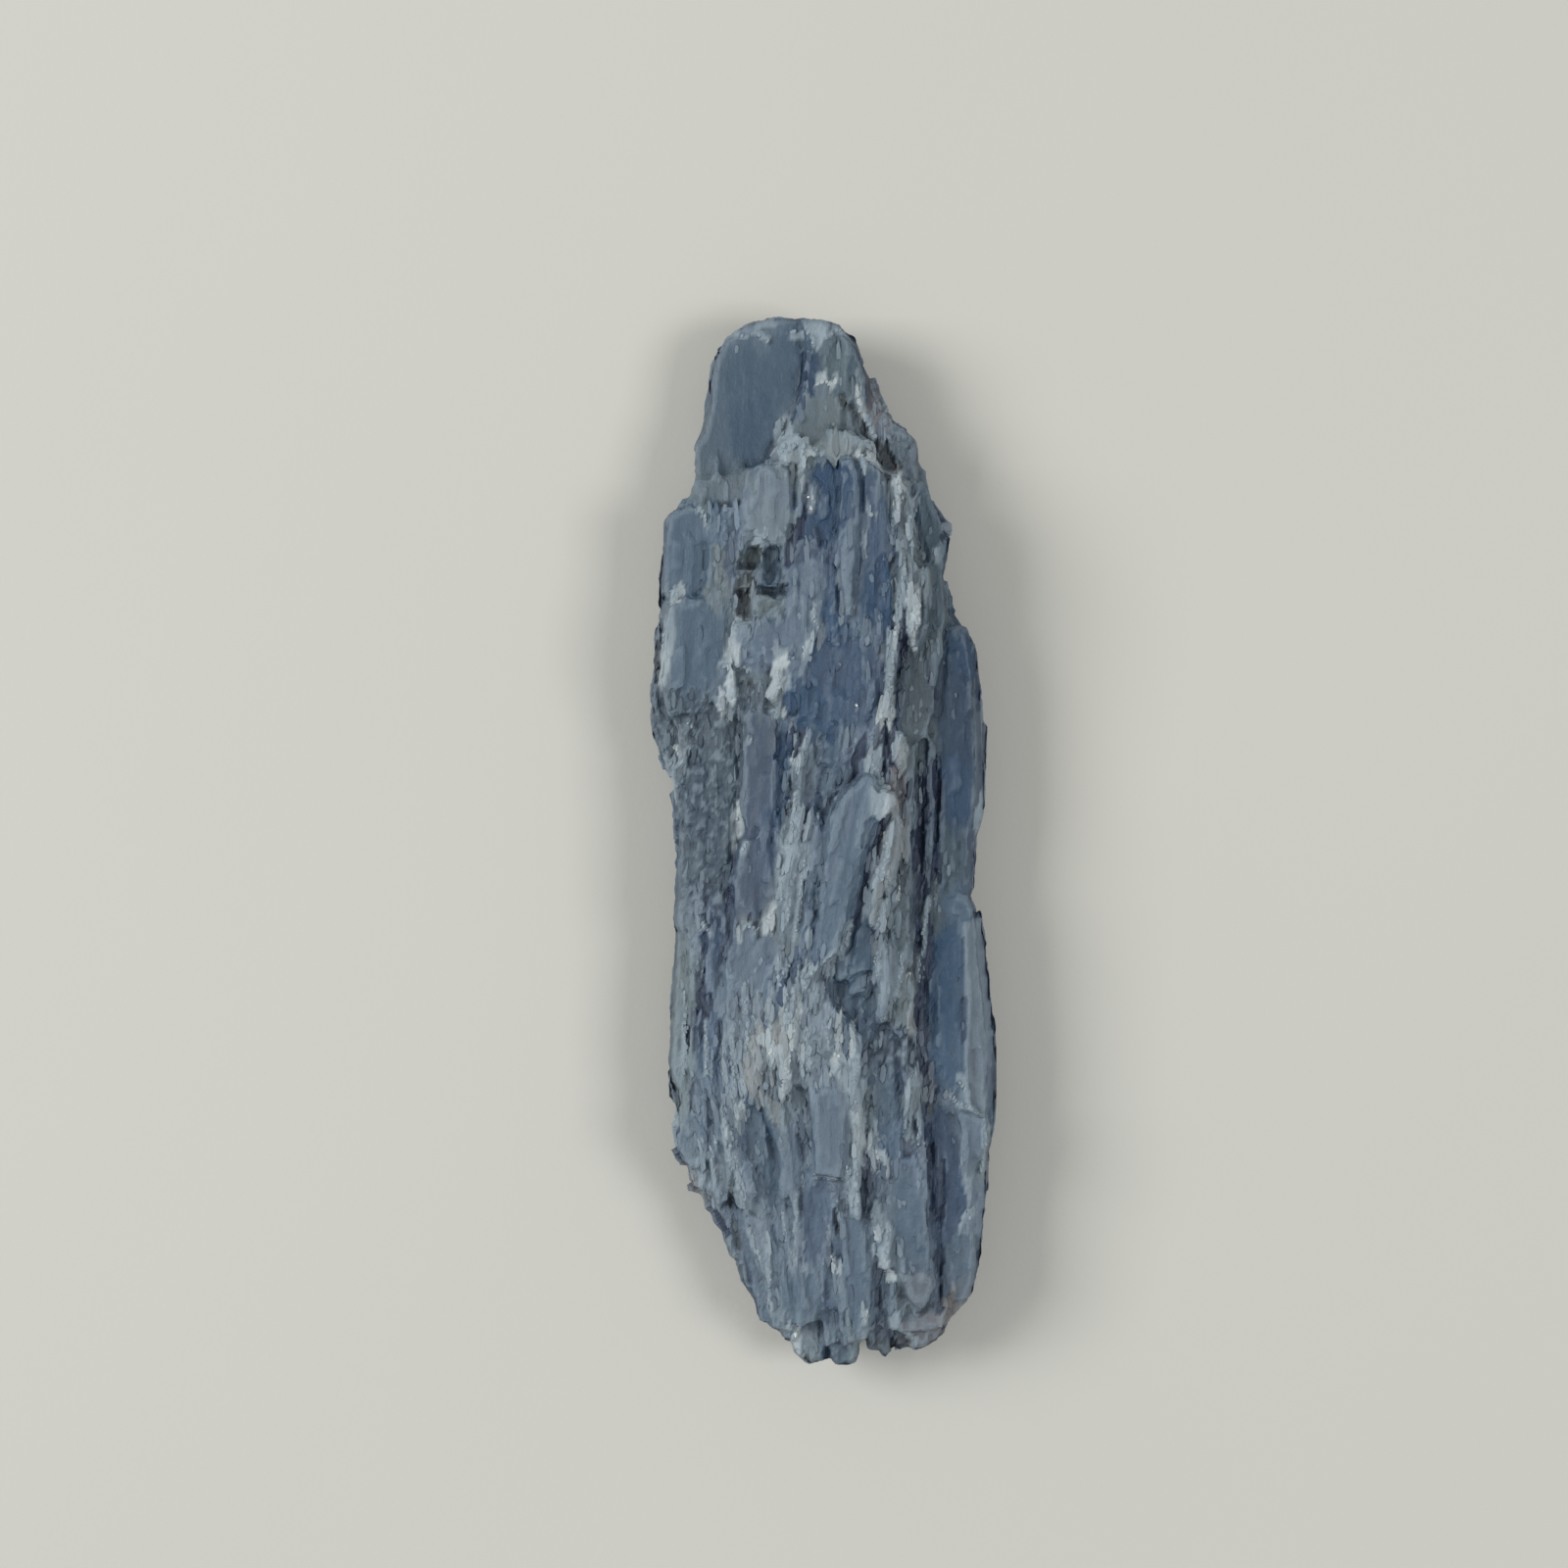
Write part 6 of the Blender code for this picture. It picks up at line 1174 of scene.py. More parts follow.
# Clefts are cut in and painted dark: partly the stone's own dark tone, partly painted shade.
CLEFT_TONES_AND_SHADE = {
    "navy": [
        (0.4, [(-1, 24.4), (-1.2, 22.8), (-1.4, 20.6)]),
        (0.35, [(5.4, 14.6), (5.4, 13), (5.2, 11.6)]), (0.25, [(7, 12.8), (7.3, 11), (7.8, 9.6)]),
        (0.5, [(-2.2, 7.4), (-1.9, 6)]), (0.25, [(0.3, 5.2), (-0.1, 4.2), (-0.2, 3.2)]),
        (0.3, [(1, 3.8), (1.6, 4.4), (2, 6.2), (2.6, 6)]),
        (0.35, [(4.9, 8.2), (4.6, 7), (4.4, 5.4), (4.4, 4.4)]), (0.25, [(7.8, 5), (7.9, 2.6)]),
        (0.35, [(4.6, 1.8), (4.2, 1), (3.7, 0), (3.3, -1.2), (2.9, -2.6), (2.4, -5)]),
        (0.28, [(7.2, 6.6), (6.9, 4), (7, 2), (6.6, 0.2), (6.7, -2), (6.4, -4), (6.3, -6)]),
        (0.25, [(7.6, -0.4), (7.7, -2.4)]),
        (0.2, [(9.6, -6.6), (9.65, -9), (9.6, -12), (9.7, -15.8)]),
        (0.35, [(6.9, -8), (7, -12), (7.1, -16)]), (0.3, [(3.6, -5.6), (3.4, -6.6)]),
        (0.3, [(-5.9, -1.2), (-6.2, -2.6), (-6.2, -4)]),
        (0.3, [(-7.4, -5), (-7.9, -6.6), (-7.8, -7.8)]),
        (0.3, [(-8.4, -9), (-8.5, -12), (-8.6, -14)]), (0.35, [(-2, -7.4), (-2.1, -8.8)]),
        (0.2, [(-4.1, -10.4), (-4.1, -11.2)]), (0.2, [(-5.7, -10.8), (-5.5, -11.6)]),
        (0.3, [(0.1, -9.2), (0.4, -10.2)]), (0.2, [(-0.9, -10.6), (-0.6, -12)]),
        (0.25, [(-6.8, -12), (-7, -14)]), (0.25, [(-8.7, -16), (-8.8, -18)]),
        (0.35, [(-7.3, -20.8), (-7.2, -22.4)]), (0.3, [(3.3, -17.4), (3.4, -17.8)]),
        (0.3, [(2.8, -20.6), (2.8, -23), (2.8, -25.6)]), (0.25, [(3.3, -21.5), (3.9, -21.9)]),
        (0.3, [(7.2, -19), (7.4, -20.6), (7.3, -22), (7.6, -25.6)]),
        (0.25, [(6.3, -19), (6.5, -20.6)]), (0.3, [(8.1, -21), (8.2, -24), (8, -27), (8.1, -31)]),
        (0.3, [(0.2, -29.8), (0.4, -31.2)]), (0.25, [(1, -31.8), (1.6, -32.4)]),
        (0.35, [(3.8, -30.6), (3.9, -32), (3.5, -33)]),
        (0.25, [(-1.4, -23.4), (-1.5, -26), (-1.4, -28.4)]), (0.4, [(-1.6, -19.5), (-1.2, -21.5)]),
        (0.25, [(-3.3, -26.2), (-2.9, -28)]), (0.3, [(-5.3, -28.2), (-4.9, -30)]),
    ],
    "umber": [
        (0.35, [(1.2, 30.2), (1.7, 29.6), (2.2, 29.4), (2.9, 28.4), (3.5, 27.4), (4.2, 26.7)]),
        (0.25, [(-1.6, 25.3), (-2.1, 25.6)]), (0.4, [(-11.4, 13.6), (-11.5, 11.4)]),
        (0.2, [(-5.6, 11), (-4.8, 10.8), (-4.3, 10.2)]),
        (0.25, [(-5, -5.5), (-4.3, -5.4), (-4.2, -6.2)]), (0.25, [(-3.9, -15.4), (-3.9, -16.2)]),
        (0.25, [(-3, -14.6), (-3.2, -16)]), (0.25, [(-9.9, -18), (-10, -19.4)]),
        (0.3, [(-6.1, -23), (-6.2, -24.8)]), (0.4, [(6.9, -17.2), (7.6, -17.6), (7.4, -18.4)]),
        (0.3, [(5.4, -30.4), (5.4, -31)]), (0.25, [(5.8, -31.7), (6.8, -32), (7.6, -31.4)]),
        (0.4, [(4.1, -35.3), (4.6, -35.5)]), (0.3, [(-1.1, -35.3), (-0.8, -35.8)]),
        (0.3, [(8.3, -34.2), (7.6, -34.5)]), (0.3, [(0.9, -25.2), (1, -26.4)]),
        (0.4, [(-6, -25.6), (-5.6, -27.6)]),
    ],
}
print("plates:", len(PLATES), "rims:", sum(map(len, RIMS.values())),
      "clefts:", sum(map(len, CLEFT_TONES_AND_SHADE.values())))

# %% [markdown]
# ## Level and tone of every point
# Each point of the skin takes its tone from its chip, and stands as high or as low as the
# chip does. Faint ribs and grit go on top of that. The smooth cleavage faces stay calm, and
# their tones run softly into each other. Near the outline the upper face rounds off.

# %% The chip of every point, and how calm and how well seen the point is
SEEN_FACING = (0.1, 0.5)
CALM_FACING = (0.3, 0.7)
LEAST_CALM = 0.02

own_chip, own_tone, own_calm, seen_share, upward = [], [], [], [], []
for vert, (across, along, depth) in zip(fused.verts, body_grain):
    x, y, z = vert.co
    place = wandered(across, along, depth)
    facing = vert.normal.z
    chip = chip_tree.find((place.x, place.y * CHIP_ALONG, place.z))[1]
    tone = chips[chip][0]
    calm = near_spots(CALM_SPOTS, x, y) * smooth_share(facing, *CALM_FACING)
    if calm > LEAST_CALM:
        soft_tone, _ = named_here(place.x, place.y, SOFT_BORDER)
        tone = tone * (1.0 - calm) + soft_tone * calm
    own_chip.append(chip)
    own_tone.append(tone)
    own_calm.append(calm)
    seen_share.append(smooth_share(z, *SIDE_LEVEL) * smooth_share(facing, *SEEN_FACING))
    upward.append(smooth_share(facing, *CALM_FACING))
own_tone, own_calm = np.array(own_tone), np.array(own_calm)
seen_share, upward = np.array(seen_share), np.array(upward)
own_fade = np.array([chips[chip][1] for chip in own_chip])
own_level = np.array([chips[chip][2] for chip in own_chip])
plan = np.array([vert.co[:2] for vert in fused.verts])
chip_plan = np.array([chip_verts[chip].co[:2] for chip in own_chip])
print("points:", len(plan), "seen from above:", int((seen_share > 0.5).sum()))

# %% [markdown]
# The edge of a chip that stands above its neighbour is painted pale, partly as bruising and
# partly as a painted highlight, and the neighbour below it gets a painted shade.

# %% Bruised and highlighted edges, with painted shade below them
CHIP_STEP = 0.10
EDGE_BRUISE_AND_HIGHLIGHT, EDGE_SHADE = 0.24, 0.20

edge_ends = np.array([[v.index for v in edge.verts] for edge in fused.edges])
rise = (own_level[edge_ends[:, 0]] - own_level[edge_ends[:, 1]]) / CHIP_STEP
edge_fade = np.zeros(len(own_level))
# the higher side is painted paler, the lower side gets painted shade
for end, sign in ((0, 1.0), (1, -1.0)):
    np.maximum.at(edge_fade, edge_ends[:, end], np.clip(rise * sign, 0.0, 1.0) * EDGE_BRUISE_AND_HIGHLIGHT)
    np.minimum.at(edge_fade, edge_ends[:, end], np.clip(rise * sign, -1.0, 0.0) * EDGE_SHADE)
own_fade += edge_fade
print("points at the edge of a chip:", int((edge_fade != 0).sum()))

# %% [markdown]
# Where the stone is crumbly, lumps with sunken borders take the place of the long chips. Their
# sunken borders are painted darker, a painted shade, and their middles paler.

# %% Lumps
LUMP_SIZE, LUMP_BEND = 0.8, 0.45
LUMP_FADE, PALEST_LUMP = 0.42, 0.6
LUMP_LEVEL, HIGHEST_LUMP = 0.16, 0.8
TINT_SCALE, TINT_FADE = 1.4, 0.12
LUMP_SHARE = 0.85

bent = [(vert.co + noise.noise_vector(vert.co) * LUMP_BEND) / LUMP_SIZE for vert in fused.verts]
lumps = np.array([noise.noise(place, noise_basis="VORONOI_F2F1") for place in bent])
lumps = (lumps - lumps.mean()) / (2.0 * lumps.std())
tints = np.array([noise.cell(place * TINT_SCALE) for place in bent])
crumbly = np.array([near_spots(CRUMBLY_SPOTS, x, y) for x, y in plan]) * seen_share
# painted shade in the sunken borders and paler middles; the tints are the lumps' own tones
lump_fade = np.clip(lumps, -1.0, PALEST_LUMP) * LUMP_FADE + tints * TINT_FADE
lump_level = np.clip(lumps, -1.0, HIGHEST_LUMP) * LUMP_LEVEL
own_fade += (lump_fade - own_fade) * crumbly * LUMP_SHARE
own_level += (lump_level - own_level) * crumbly * LUMP_SHARE
print("crumbly points:", int((crumbly > 0.5).sum()))

# %% [markdown]
# The skin is painted darker where it turns down at the outline, a painted shade, and it is
# paler towards the foot.

# %% Painted shade at the outline, and a paler foot
OUTLINE_SHADE, OUTLINE_REACH = 0.45, 0.4
FOOT_PALER, FOOT_FROM, FOOT_REACH = 0.27, -5.0, 14.0

edge_gap = np.array([read_map(inside, x, y) for x, y in plan])
high_up = np.array([smooth_share(vert.co.z, *SIDE_LEVEL) for vert in fused.verts])
# painted shade along the outline, strongest at the edge
outline_shade = OUTLINE_SHADE * np.clip(1.0 - edge_gap / OUTLINE_REACH, 0.0, 1.0) * high_up
own_fade += FOOT_PALER * np.clip((FOOT_FROM - plan[:, 1]) / FOOT_REACH, 0.0, 1.0) * seen_share
print("points shaded at the outline:", int((outline_shade > 0).sum()))

# %% Distances from lines and outlines


def from_line(points, line):
    """Distance of every point from a line through a list of places."""
    nearest = np.full(len(points), np.inf)
    for start, end in zip(line, line[1:]):
        start, way = np.array(start), np.subtract(end, start)
        share = np.clip((points - start) @ way / (way @ way), 0.0, 1.0)
        gap = points - start - share[:, None] * way
        nearest = np.minimum(nearest, np.hypot(gap[:, 0], gap[:, 1]))
    return nearest


def inside_outline(points, outline):
    """Distance of every point inside a closed outline; outside it the distance is negative."""
    ring = outline + outline[:1]
    held = np.zeros(len(points), dtype=bool)
    for (ax, ay), (bx, by) in zip(ring, ring[1:]):
        if ay != by:
            spans = (ay > points[:, 1]) != (by > points[:, 1])
            held ^= spans & (points[:, 0] < (bx - ax) * (points[:, 1] - ay) / (by - ay) + ax)
    return np.where(held, 1.0, -1.0) * from_line(points, ring)


def close_to(points, places, margin):
    """The points near enough to a list of places for it to matter."""
    low, high = np.min(places, axis=0) - margin, np.max(places, axis=0) + margin
    return np.nonzero(np.all((points > low) & (points < high), axis=1))[0]


print("a place 1 mm beside a line:", from_line(np.array([(1, 1)]), [(0, 0), (0, 2)]), "mm")

# %% Lay the plates over the chips
PLATE_FRAY = 0.45
PLATE_BORDER, PLATE_MARGIN = 0.16, 0.4
PLATE_BLEND = 0.75
RAISED_PLATE = 0.1
EDGE_PALER, EDGE_MIDDLE, EDGE_SPREAD = 0.30, 0.12, 0.16

plate_plan = plan + (chip_plan - plan) * PLATE_FRAY
plate_level = np.zeros(len(plan))
for name, level, calm, outline in PLATES:
    near = close_to(plate_plan, outline, PLATE_MARGIN)
    depth = inside_outline(plate_plan[near], outline)
    share = np.clip(depth / PLATE_BORDER + 0.5, 0.0, 1.0) * seen_share[near]
    own_tone[near] += (TONES[name] - own_tone[near]) * (share * PLATE_BLEND)[:, None]
    plate_level[near] += (level - plate_level[near]) * share
    own_calm[near] += (calm * upward[near] - own_calm[near]) * share
    # the edge of a raised plate is painted paler: partly bruising, partly a painted highlight
    if level >= RAISED_PLATE:
        edge = np.clip(1.0 - np.abs(depth - EDGE_MIDDLE) / EDGE_SPREAD, 0.0, 1.0)
        own_fade[near] = np.maximum(own_fade[near], edge * seen_share[near] * EDGE_PALER)
print("points in plates:", int((plate_level != 0).sum()))

# %% Lay the rims and clefts over the plates
LINE_FRAY = 0.32
LINE_BORDER, LINE_MARGIN = 0.16, 0.5
LINE_STRENGTH = 0.85
LINE_UNFADED, LINE_UNCALM = 0.6, 0.7
RIM_HEIGHT = 0.10
CLEFT_CUT = 0.10

line_plan = plan + (chip_plan - plan) * LINE_FRAY
# clefts lay a dark tone that is partly painted shade
for kinds, height in ((RIMS, RIM_HEIGHT), (CLEFT_TONES_AND_SHADE, -CLEFT_CUT)):
    for name, lines in kinds.items():
        for width, line in lines:
            near = close_to(line_plan, line, LINE_MARGIN)
            distance = from_line(line_plan[near], line)
            share = np.clip((width / 2 - distance) / LINE_BORDER + 0.5, 0.0, 1.0)
            share *= seen_share[near]
            blend = (share * LINE_STRENGTH)[:, None]
            own_tone[near] += (TONES[name] - own_tone[near]) * blend
            own_fade[near] *= 1.0 - share * LINE_UNFADED
            plate_level[near] += height * share
            own_calm[near] *= 1.0 - share * LINE_UNCALM
print("points in plates, rims and clefts:", int((plate_level != 0).sum()))

# %% Pits and the broken outline
PITS = [  # x, y, half width, half length, depth
    (-4.95, 19.3, 0.65, 0.70, 0.25), (-4.95, 18.75, 0.70, 0.28, 0.45),
    (-3.3, 18.7, 0.55, 1.30, 0.35), (-3.35, 17.0, 1.05, 0.36, 0.40),
    (-5.35, 16.2, 0.42, 0.95, 0.40),
]
PIT_WALL = 0.15
TEETH_SPOTS = [  # x, y, reach across, reach along
    (-8.5, -24.0, 3.5, 9.0), (4.6, 31.0, 3.0, 6.0), (8.5, 19.0, 1.5, 4.5), (9.0, -33.0, 3.0, 3.0),
    (-9.0, 24.5, 1.2, 2.0), (-10.8, 6.0, 1.6, 9.0),
]
LEAST_TOOTHED = 0.05
TEETH_DEPTH = 0.75
TEETH_WIDTH, TEETH_LENGTH, TEETH_HEIGHT = 6.0, 1.5, 2.5
TEETH_BEND, BEND_STRETCH = 1.2, (0.6, 0.5, 0.8)
INWARD_STEP, LEAST_SLOPE = 0.9, 0.05


def pit_depth(x, y, frayed):
    """How deep a mica pit is at a place: they are small, square and steep."""
    deepest = 0.0
    for cx, cy, half_width, half_length, depth in PITS:
        side = max(abs(x - cx + frayed.x) - half_width, abs(y - cy + frayed.y) - half_length)
        deepest = max(deepest, depth * min(1.0, max(0.0, -side / PIT_WALL)))
    return deepest


def tooth(x, y, z):
    """How far the outline is broken back at a place, as uneven square steps."""
    here = near_spots(TEETH_SPOTS, x, y)
    if here < LEAST_TOOTHED:
        return 0.0
    bend = noise.noise(stretched((x, y, z), BEND_STRETCH)) * TEETH_BEND
    step = noise.cell(Vector(((y + bend) / TEETH_LENGTH, math.floor(x / TEETH_WIDTH),
                              z / TEETH_HEIGHT)))
    return TEETH_DEPTH * abs(step) * here


def inward(x, y):
    """The direction in the plan that leads away from the nearest outline."""
    left, right = (read_map(inside, x + step, y) for step in (-INWARD_STEP, INWARD_STEP))
    below, above = (read_map(inside, x, y + step) for step in (-INWARD_STEP, INWARD_STEP))
    slope = Vector((right - left, above - below, 0.0))
    return slope.normalized() if slope.length > LEAST_SLOPE else Vector()


print("deepest pit, mm:", max(depth for *_, depth in PITS))

# %% Nothing leaves the CAD box
lowest, highest = low_corner / MM, high_corner / MM


def within_box(place):
    """A place, pressed back to the CAD box where it is outside."""
    return [min(max(value, low), high) for value, low, high in zip(place, lowest, highest)]


print("box, mm:", [[round(value, 2) for value in corner] for corner in (lowest, highest)])

# %% Move the skin
RIB_DEPTH, RIB_STRETCH = 0.09, (2.6, 0.35, 2.6)
GRIT_DEPTH, GRIT_STRETCH, GRIT_SHIFT = 0.09, (3.3, 2.0, 3.3), 7.0
FLAT_FOOT = (0.1, 0.5)
RIM_REACH = 0.5
RIM_DROP = 0.45
CALM_FLAT, CALM_UNFADED = 0.85, 0.8
PIT_FRAY, PIT_FRAY_SCALE = 0.2, 1.7
TEETH_REACH, LEAST_BACK = 0.9, 0.005

moves = []
for index, (vert, place) in enumerate(zip(fused.verts, body_grain)):
    x, y, z = vert.co
    upper, calm = float(seen_share[index]), float(own_calm[index])
    edge_distance = float(edge_gap[index])
    ribs = noise.noise(stretched(place, RIB_STRETCH)) * RIB_DEPTH
    grit = noise.noise(stretched(place, GRIT_STRETCH, GRIT_SHIFT)) * GRIT_DEPTH
    rough_here = (1.0 - CALM_FLAT * calm) * smooth_share(z, *FLAT_FOOT)
    move = vert.normal * (ribs + grit) * rough_here
    way = UP * upper + vert.normal * (1.0 - upper)
    move += way * float(own_level[index]) * rough_here
    move.z += float(plate_level[index]) * upper
    if upper > 0:
        frayed = noise.noise_vector(vert.co * PIT_FRAY_SCALE) * PIT_FRAY
        near_edge = max(0.0, 1.0 - edge_distance / RIM_REACH)
        move.z -= pit_depth(x, y, frayed) * upper
        move.z -= RIM_DROP * (1.0 - math.sqrt(1.0 - near_edge ** 2)) * upper
    if edge_distance < TEETH_REACH:
        back = tooth(x, y, z) * (1.0 - smooth_share(edge_distance, 0.0, TEETH_REACH))
        if back > LEAST_BACK:
            move += inward(x, y) * back
    moves.append(move)
for vert, move in zip(fused.verts, moves):
    vert.co = within_box(vert.co + move)
tones = faded(own_tone, (own_fade * (1.0 - CALM_UNFADED * own_calm) - outline_shade)[:, None])
print("deepest move, mm:", round(max(m.length for m in moves), 2))

# %% [markdown]
# ## What each point of the skin knows
# The material needs four things at each point: its tone, its place across and along the
# fibres, how calm it is, and whether it is on a ridge or down in a cleft. The last comes from
# comparing the skin with a smoothed copy of itself: what stands proud of the copy is a ridge.

# %% Ridges and clefts
SMOOTH_STEPS = 7
RIDGE_SCALE = 0.16


def ridges_of(mesh):
    """How far each point stands proud: from -1 in a cleft to 1 on a ridge."""
    count = len(mesh.vertices)
    places = np.empty(count * 3)
    mesh.vertices.foreach_get("co", places)
    places = places.reshape(-1, 3)
    normals = np.empty(count * 3)
    mesh.vertices.foreach_get("normal", normals)
    edges = np.empty(len(mesh.edges) * 2, dtype=np.int64)
    mesh.edges.foreach_get("vertices", edges)
    first, second = edges[::2], edges[1::2]
    degree = np.bincount(edges, minlength=count)[:, None]
    smooth = places.copy()
    for _ in range(SMOOTH_STEPS):
        total = np.zeros_like(smooth)
        np.add.at(total, first, smooth[second])
        np.add.at(total, second, smooth[first])
        smooth = total / np.maximum(degree, 1)
    proud = ((places - smooth) * normals.reshape(-1, 3)).sum(axis=1)
    return np.clip(proud / RIDGE_SCALE, -1.0, 1.0)


def store(mesh, name, kind, values):
    """Gives each point of a mesh a value that the material can read by its name."""
    layer = mesh.attributes.new(name, kind, "POINT")
    key = {"FLOAT": "value", "FLOAT_VECTOR": "vector", "FLOAT_COLOR": "color"}[kind]
    layer.data.foreach_set(key, np.asarray(values, dtype=np.float32).ravel())


def store_grain(mesh, points):
    """Across the fibres, along them and depth, in mm."""
    across = points[:, 0] - fibre_shift(points[:, 0], points[:, 1])
    store(mesh, "grain", "FLOAT_VECTOR", np.column_stack((across, points[:, 1:])))


def store_tone(mesh, colours):
    store(mesh, "tone", "FLOAT_COLOR", np.column_stack((colours, np.ones(len(colours)))))


# %% What the body knows
body_mesh = mesh_of(fused, "kyanite_blades")
points = np.array([v.co for v in body_mesh.vertices])
store_tone(body_mesh, tones)
store_grain(body_mesh, points)
store(body_mesh, "calm", "FLOAT", own_calm)
store(body_mesh, "ridge", "FLOAT", ridges_of(body_mesh))
print("points:", len(points))

# %% [markdown]
# ## The kyanite itself
# Kyanite has a pearly shine on its flat faces. Under the shine lie hair-fine fibres, some
# nearly white where they have parted from the rest and some dark where the light goes deep
# between them. Ridges are painted paler, partly as bruising and partly as a painted highlight,
# and clefts are painted darker, a painted shade.

# %% Kyanite material
FIBRE_PALE_AND_HIGHLIGHT = (*light_of(134, 151, 167), 1.0)
FIBRE_DARK_AND_SHADE = (*light_of(38, 50, 68), 1.0)


def kyanite(name):
    """Stone in the tone of its points, with fibres and grit, ridges painted pale as bruising and
    painted highlight, and clefts painted dark as painted shade.
    """
    graph = Graph(name)
    grain = graph.attribute("grain", out="Vector")
    ridge = graph.attribute("ridge")
    calm = graph.attribute("calm")
    tone = graph.attribute("tone", out="Color")
    broken = 1 - calm * 0.6
    broad = graph.noise(grain, (0.9, 0.25, 0.9), detail=3.0)
    shard = graph.noise(grain, (3.2, 1.0, 3.2), detail=4.0, roughness=0.7, shift=11.0)
    hair = graph.noise(grain, (7.0, 0.9, 7.0), detail=2.0, shift=23.0)
    grit = graph.noise(grain, (6.0, 4.5, 6.0), detail=3.0, roughness=0.65, shift=5.0)
    shade = 1 + (broad * 0.30 + shard * 0.26 + grit * 0.34 - 0.36) * broken
    colour = graph.scaled(tone, shade)
    pale = shard.above(0.54, 0.62) * hair.above(0.48, 0.58) * broken
    colour = graph.mixed(pale * 0.15, colour, FIBRE_PALE_AND_HIGHLIGHT)
    dark = (1 - shard).above(0.54, 0.62) * hair.above(0.46, 0.56) * broken
    colour = graph.mixed(dark * 0.12, colour, FIBRE_DARK_AND_SHADE)
    # ridges painted paler: partly bruising, partly a painted highlight
    colour = graph.mixed(ridge.above(0.14, 0.60) * (0.10 + grit * 0.45), colour, FIBRE_PALE_AND_HIGHLIGHT)
    # clefts painted darker: a painted shade
    colour = graph.mixed((ridge * -1).above(0.20, 0.80) * 0.32, colour, FIBRE_DARK_AND_SHADE)
    ribs = graph.bump(hair * 0.4 + shard, 0.00014, 0.6)
    rough_skin = graph.bump(grit, 0.00009, 0.5, ribs)
    shine = 0.42 + grit * 0.3
    return graph.finish(Base_Color=colour, Roughness=shine, Normal=rough_skin, IOR=1.55)


kyanite_material = kyanite("kyanite")
body_mesh.transform(Matrix.Scale(MM, 4))
body_mesh.materials.append(kyanite_material)
body = object_of(body_mesh, "kyanite_blades")
print("nodes:", len(kyanite_material.node_tree.nodes))

# %% [markdown]
# ## Splinters, crumbs and flakes
# A voxel skin has no truly sharp edges, but a fresh break is full of them. So thin splinters,
# angular crumbs and broken flakes are laid on the finished skin as meshes of their own. They
# are thickest where the blades are frayed. A few larger flakes have places of their own:
# along the ledge under the crown and on the rims of the blades, and a few near-white ones are
# painted highlights where the light glints.

# %% What a loose piece is laid on
body_skin = BVHTree.FromBMesh(fused)


def skin_below(x, y):
    """The finished skin's place and direction under a point of the plan."""
    place, normal, _, _ = body_skin.ray_cast(Vector((x, y, ABOVE)), DOWN)
    return place, normal


def tone_below(x, y):
    """The tone of the skin under a point of the plan, from the point of skin nearest it."""
    return tones[skin_tree.find(skin_below(x, y)[0])[1]]


skin_tree = tree_of([vert.co for vert in fused.verts], 1.0)
print("tone of the skin in the middle:", np.round(tone_below(0.0, 0.0), 3))

# %% Loose pieces
SPLINTER = [(-0.5, -0.3), (-0.1, -0.5), (0.4, -0.36), (0.5, 0.2), (0.16, 0.5), (-0.42, 0.36)]
SPLINTER_WIDTHS = (0.7, 1.2)
FLAKE_TURNS, FLAKE_REACHES = (-0.3, 0.3), (0.34, 0.58)
CORNERS = len(SPLINTER)
TOP_INSET = 0.78
TOP_CLEAR, EDGE_CLEAR = 0.15, 0.1
STEEPEST = 0.4
LOOSE_TILT = 0.08
LOOSE_CALM = 0.5


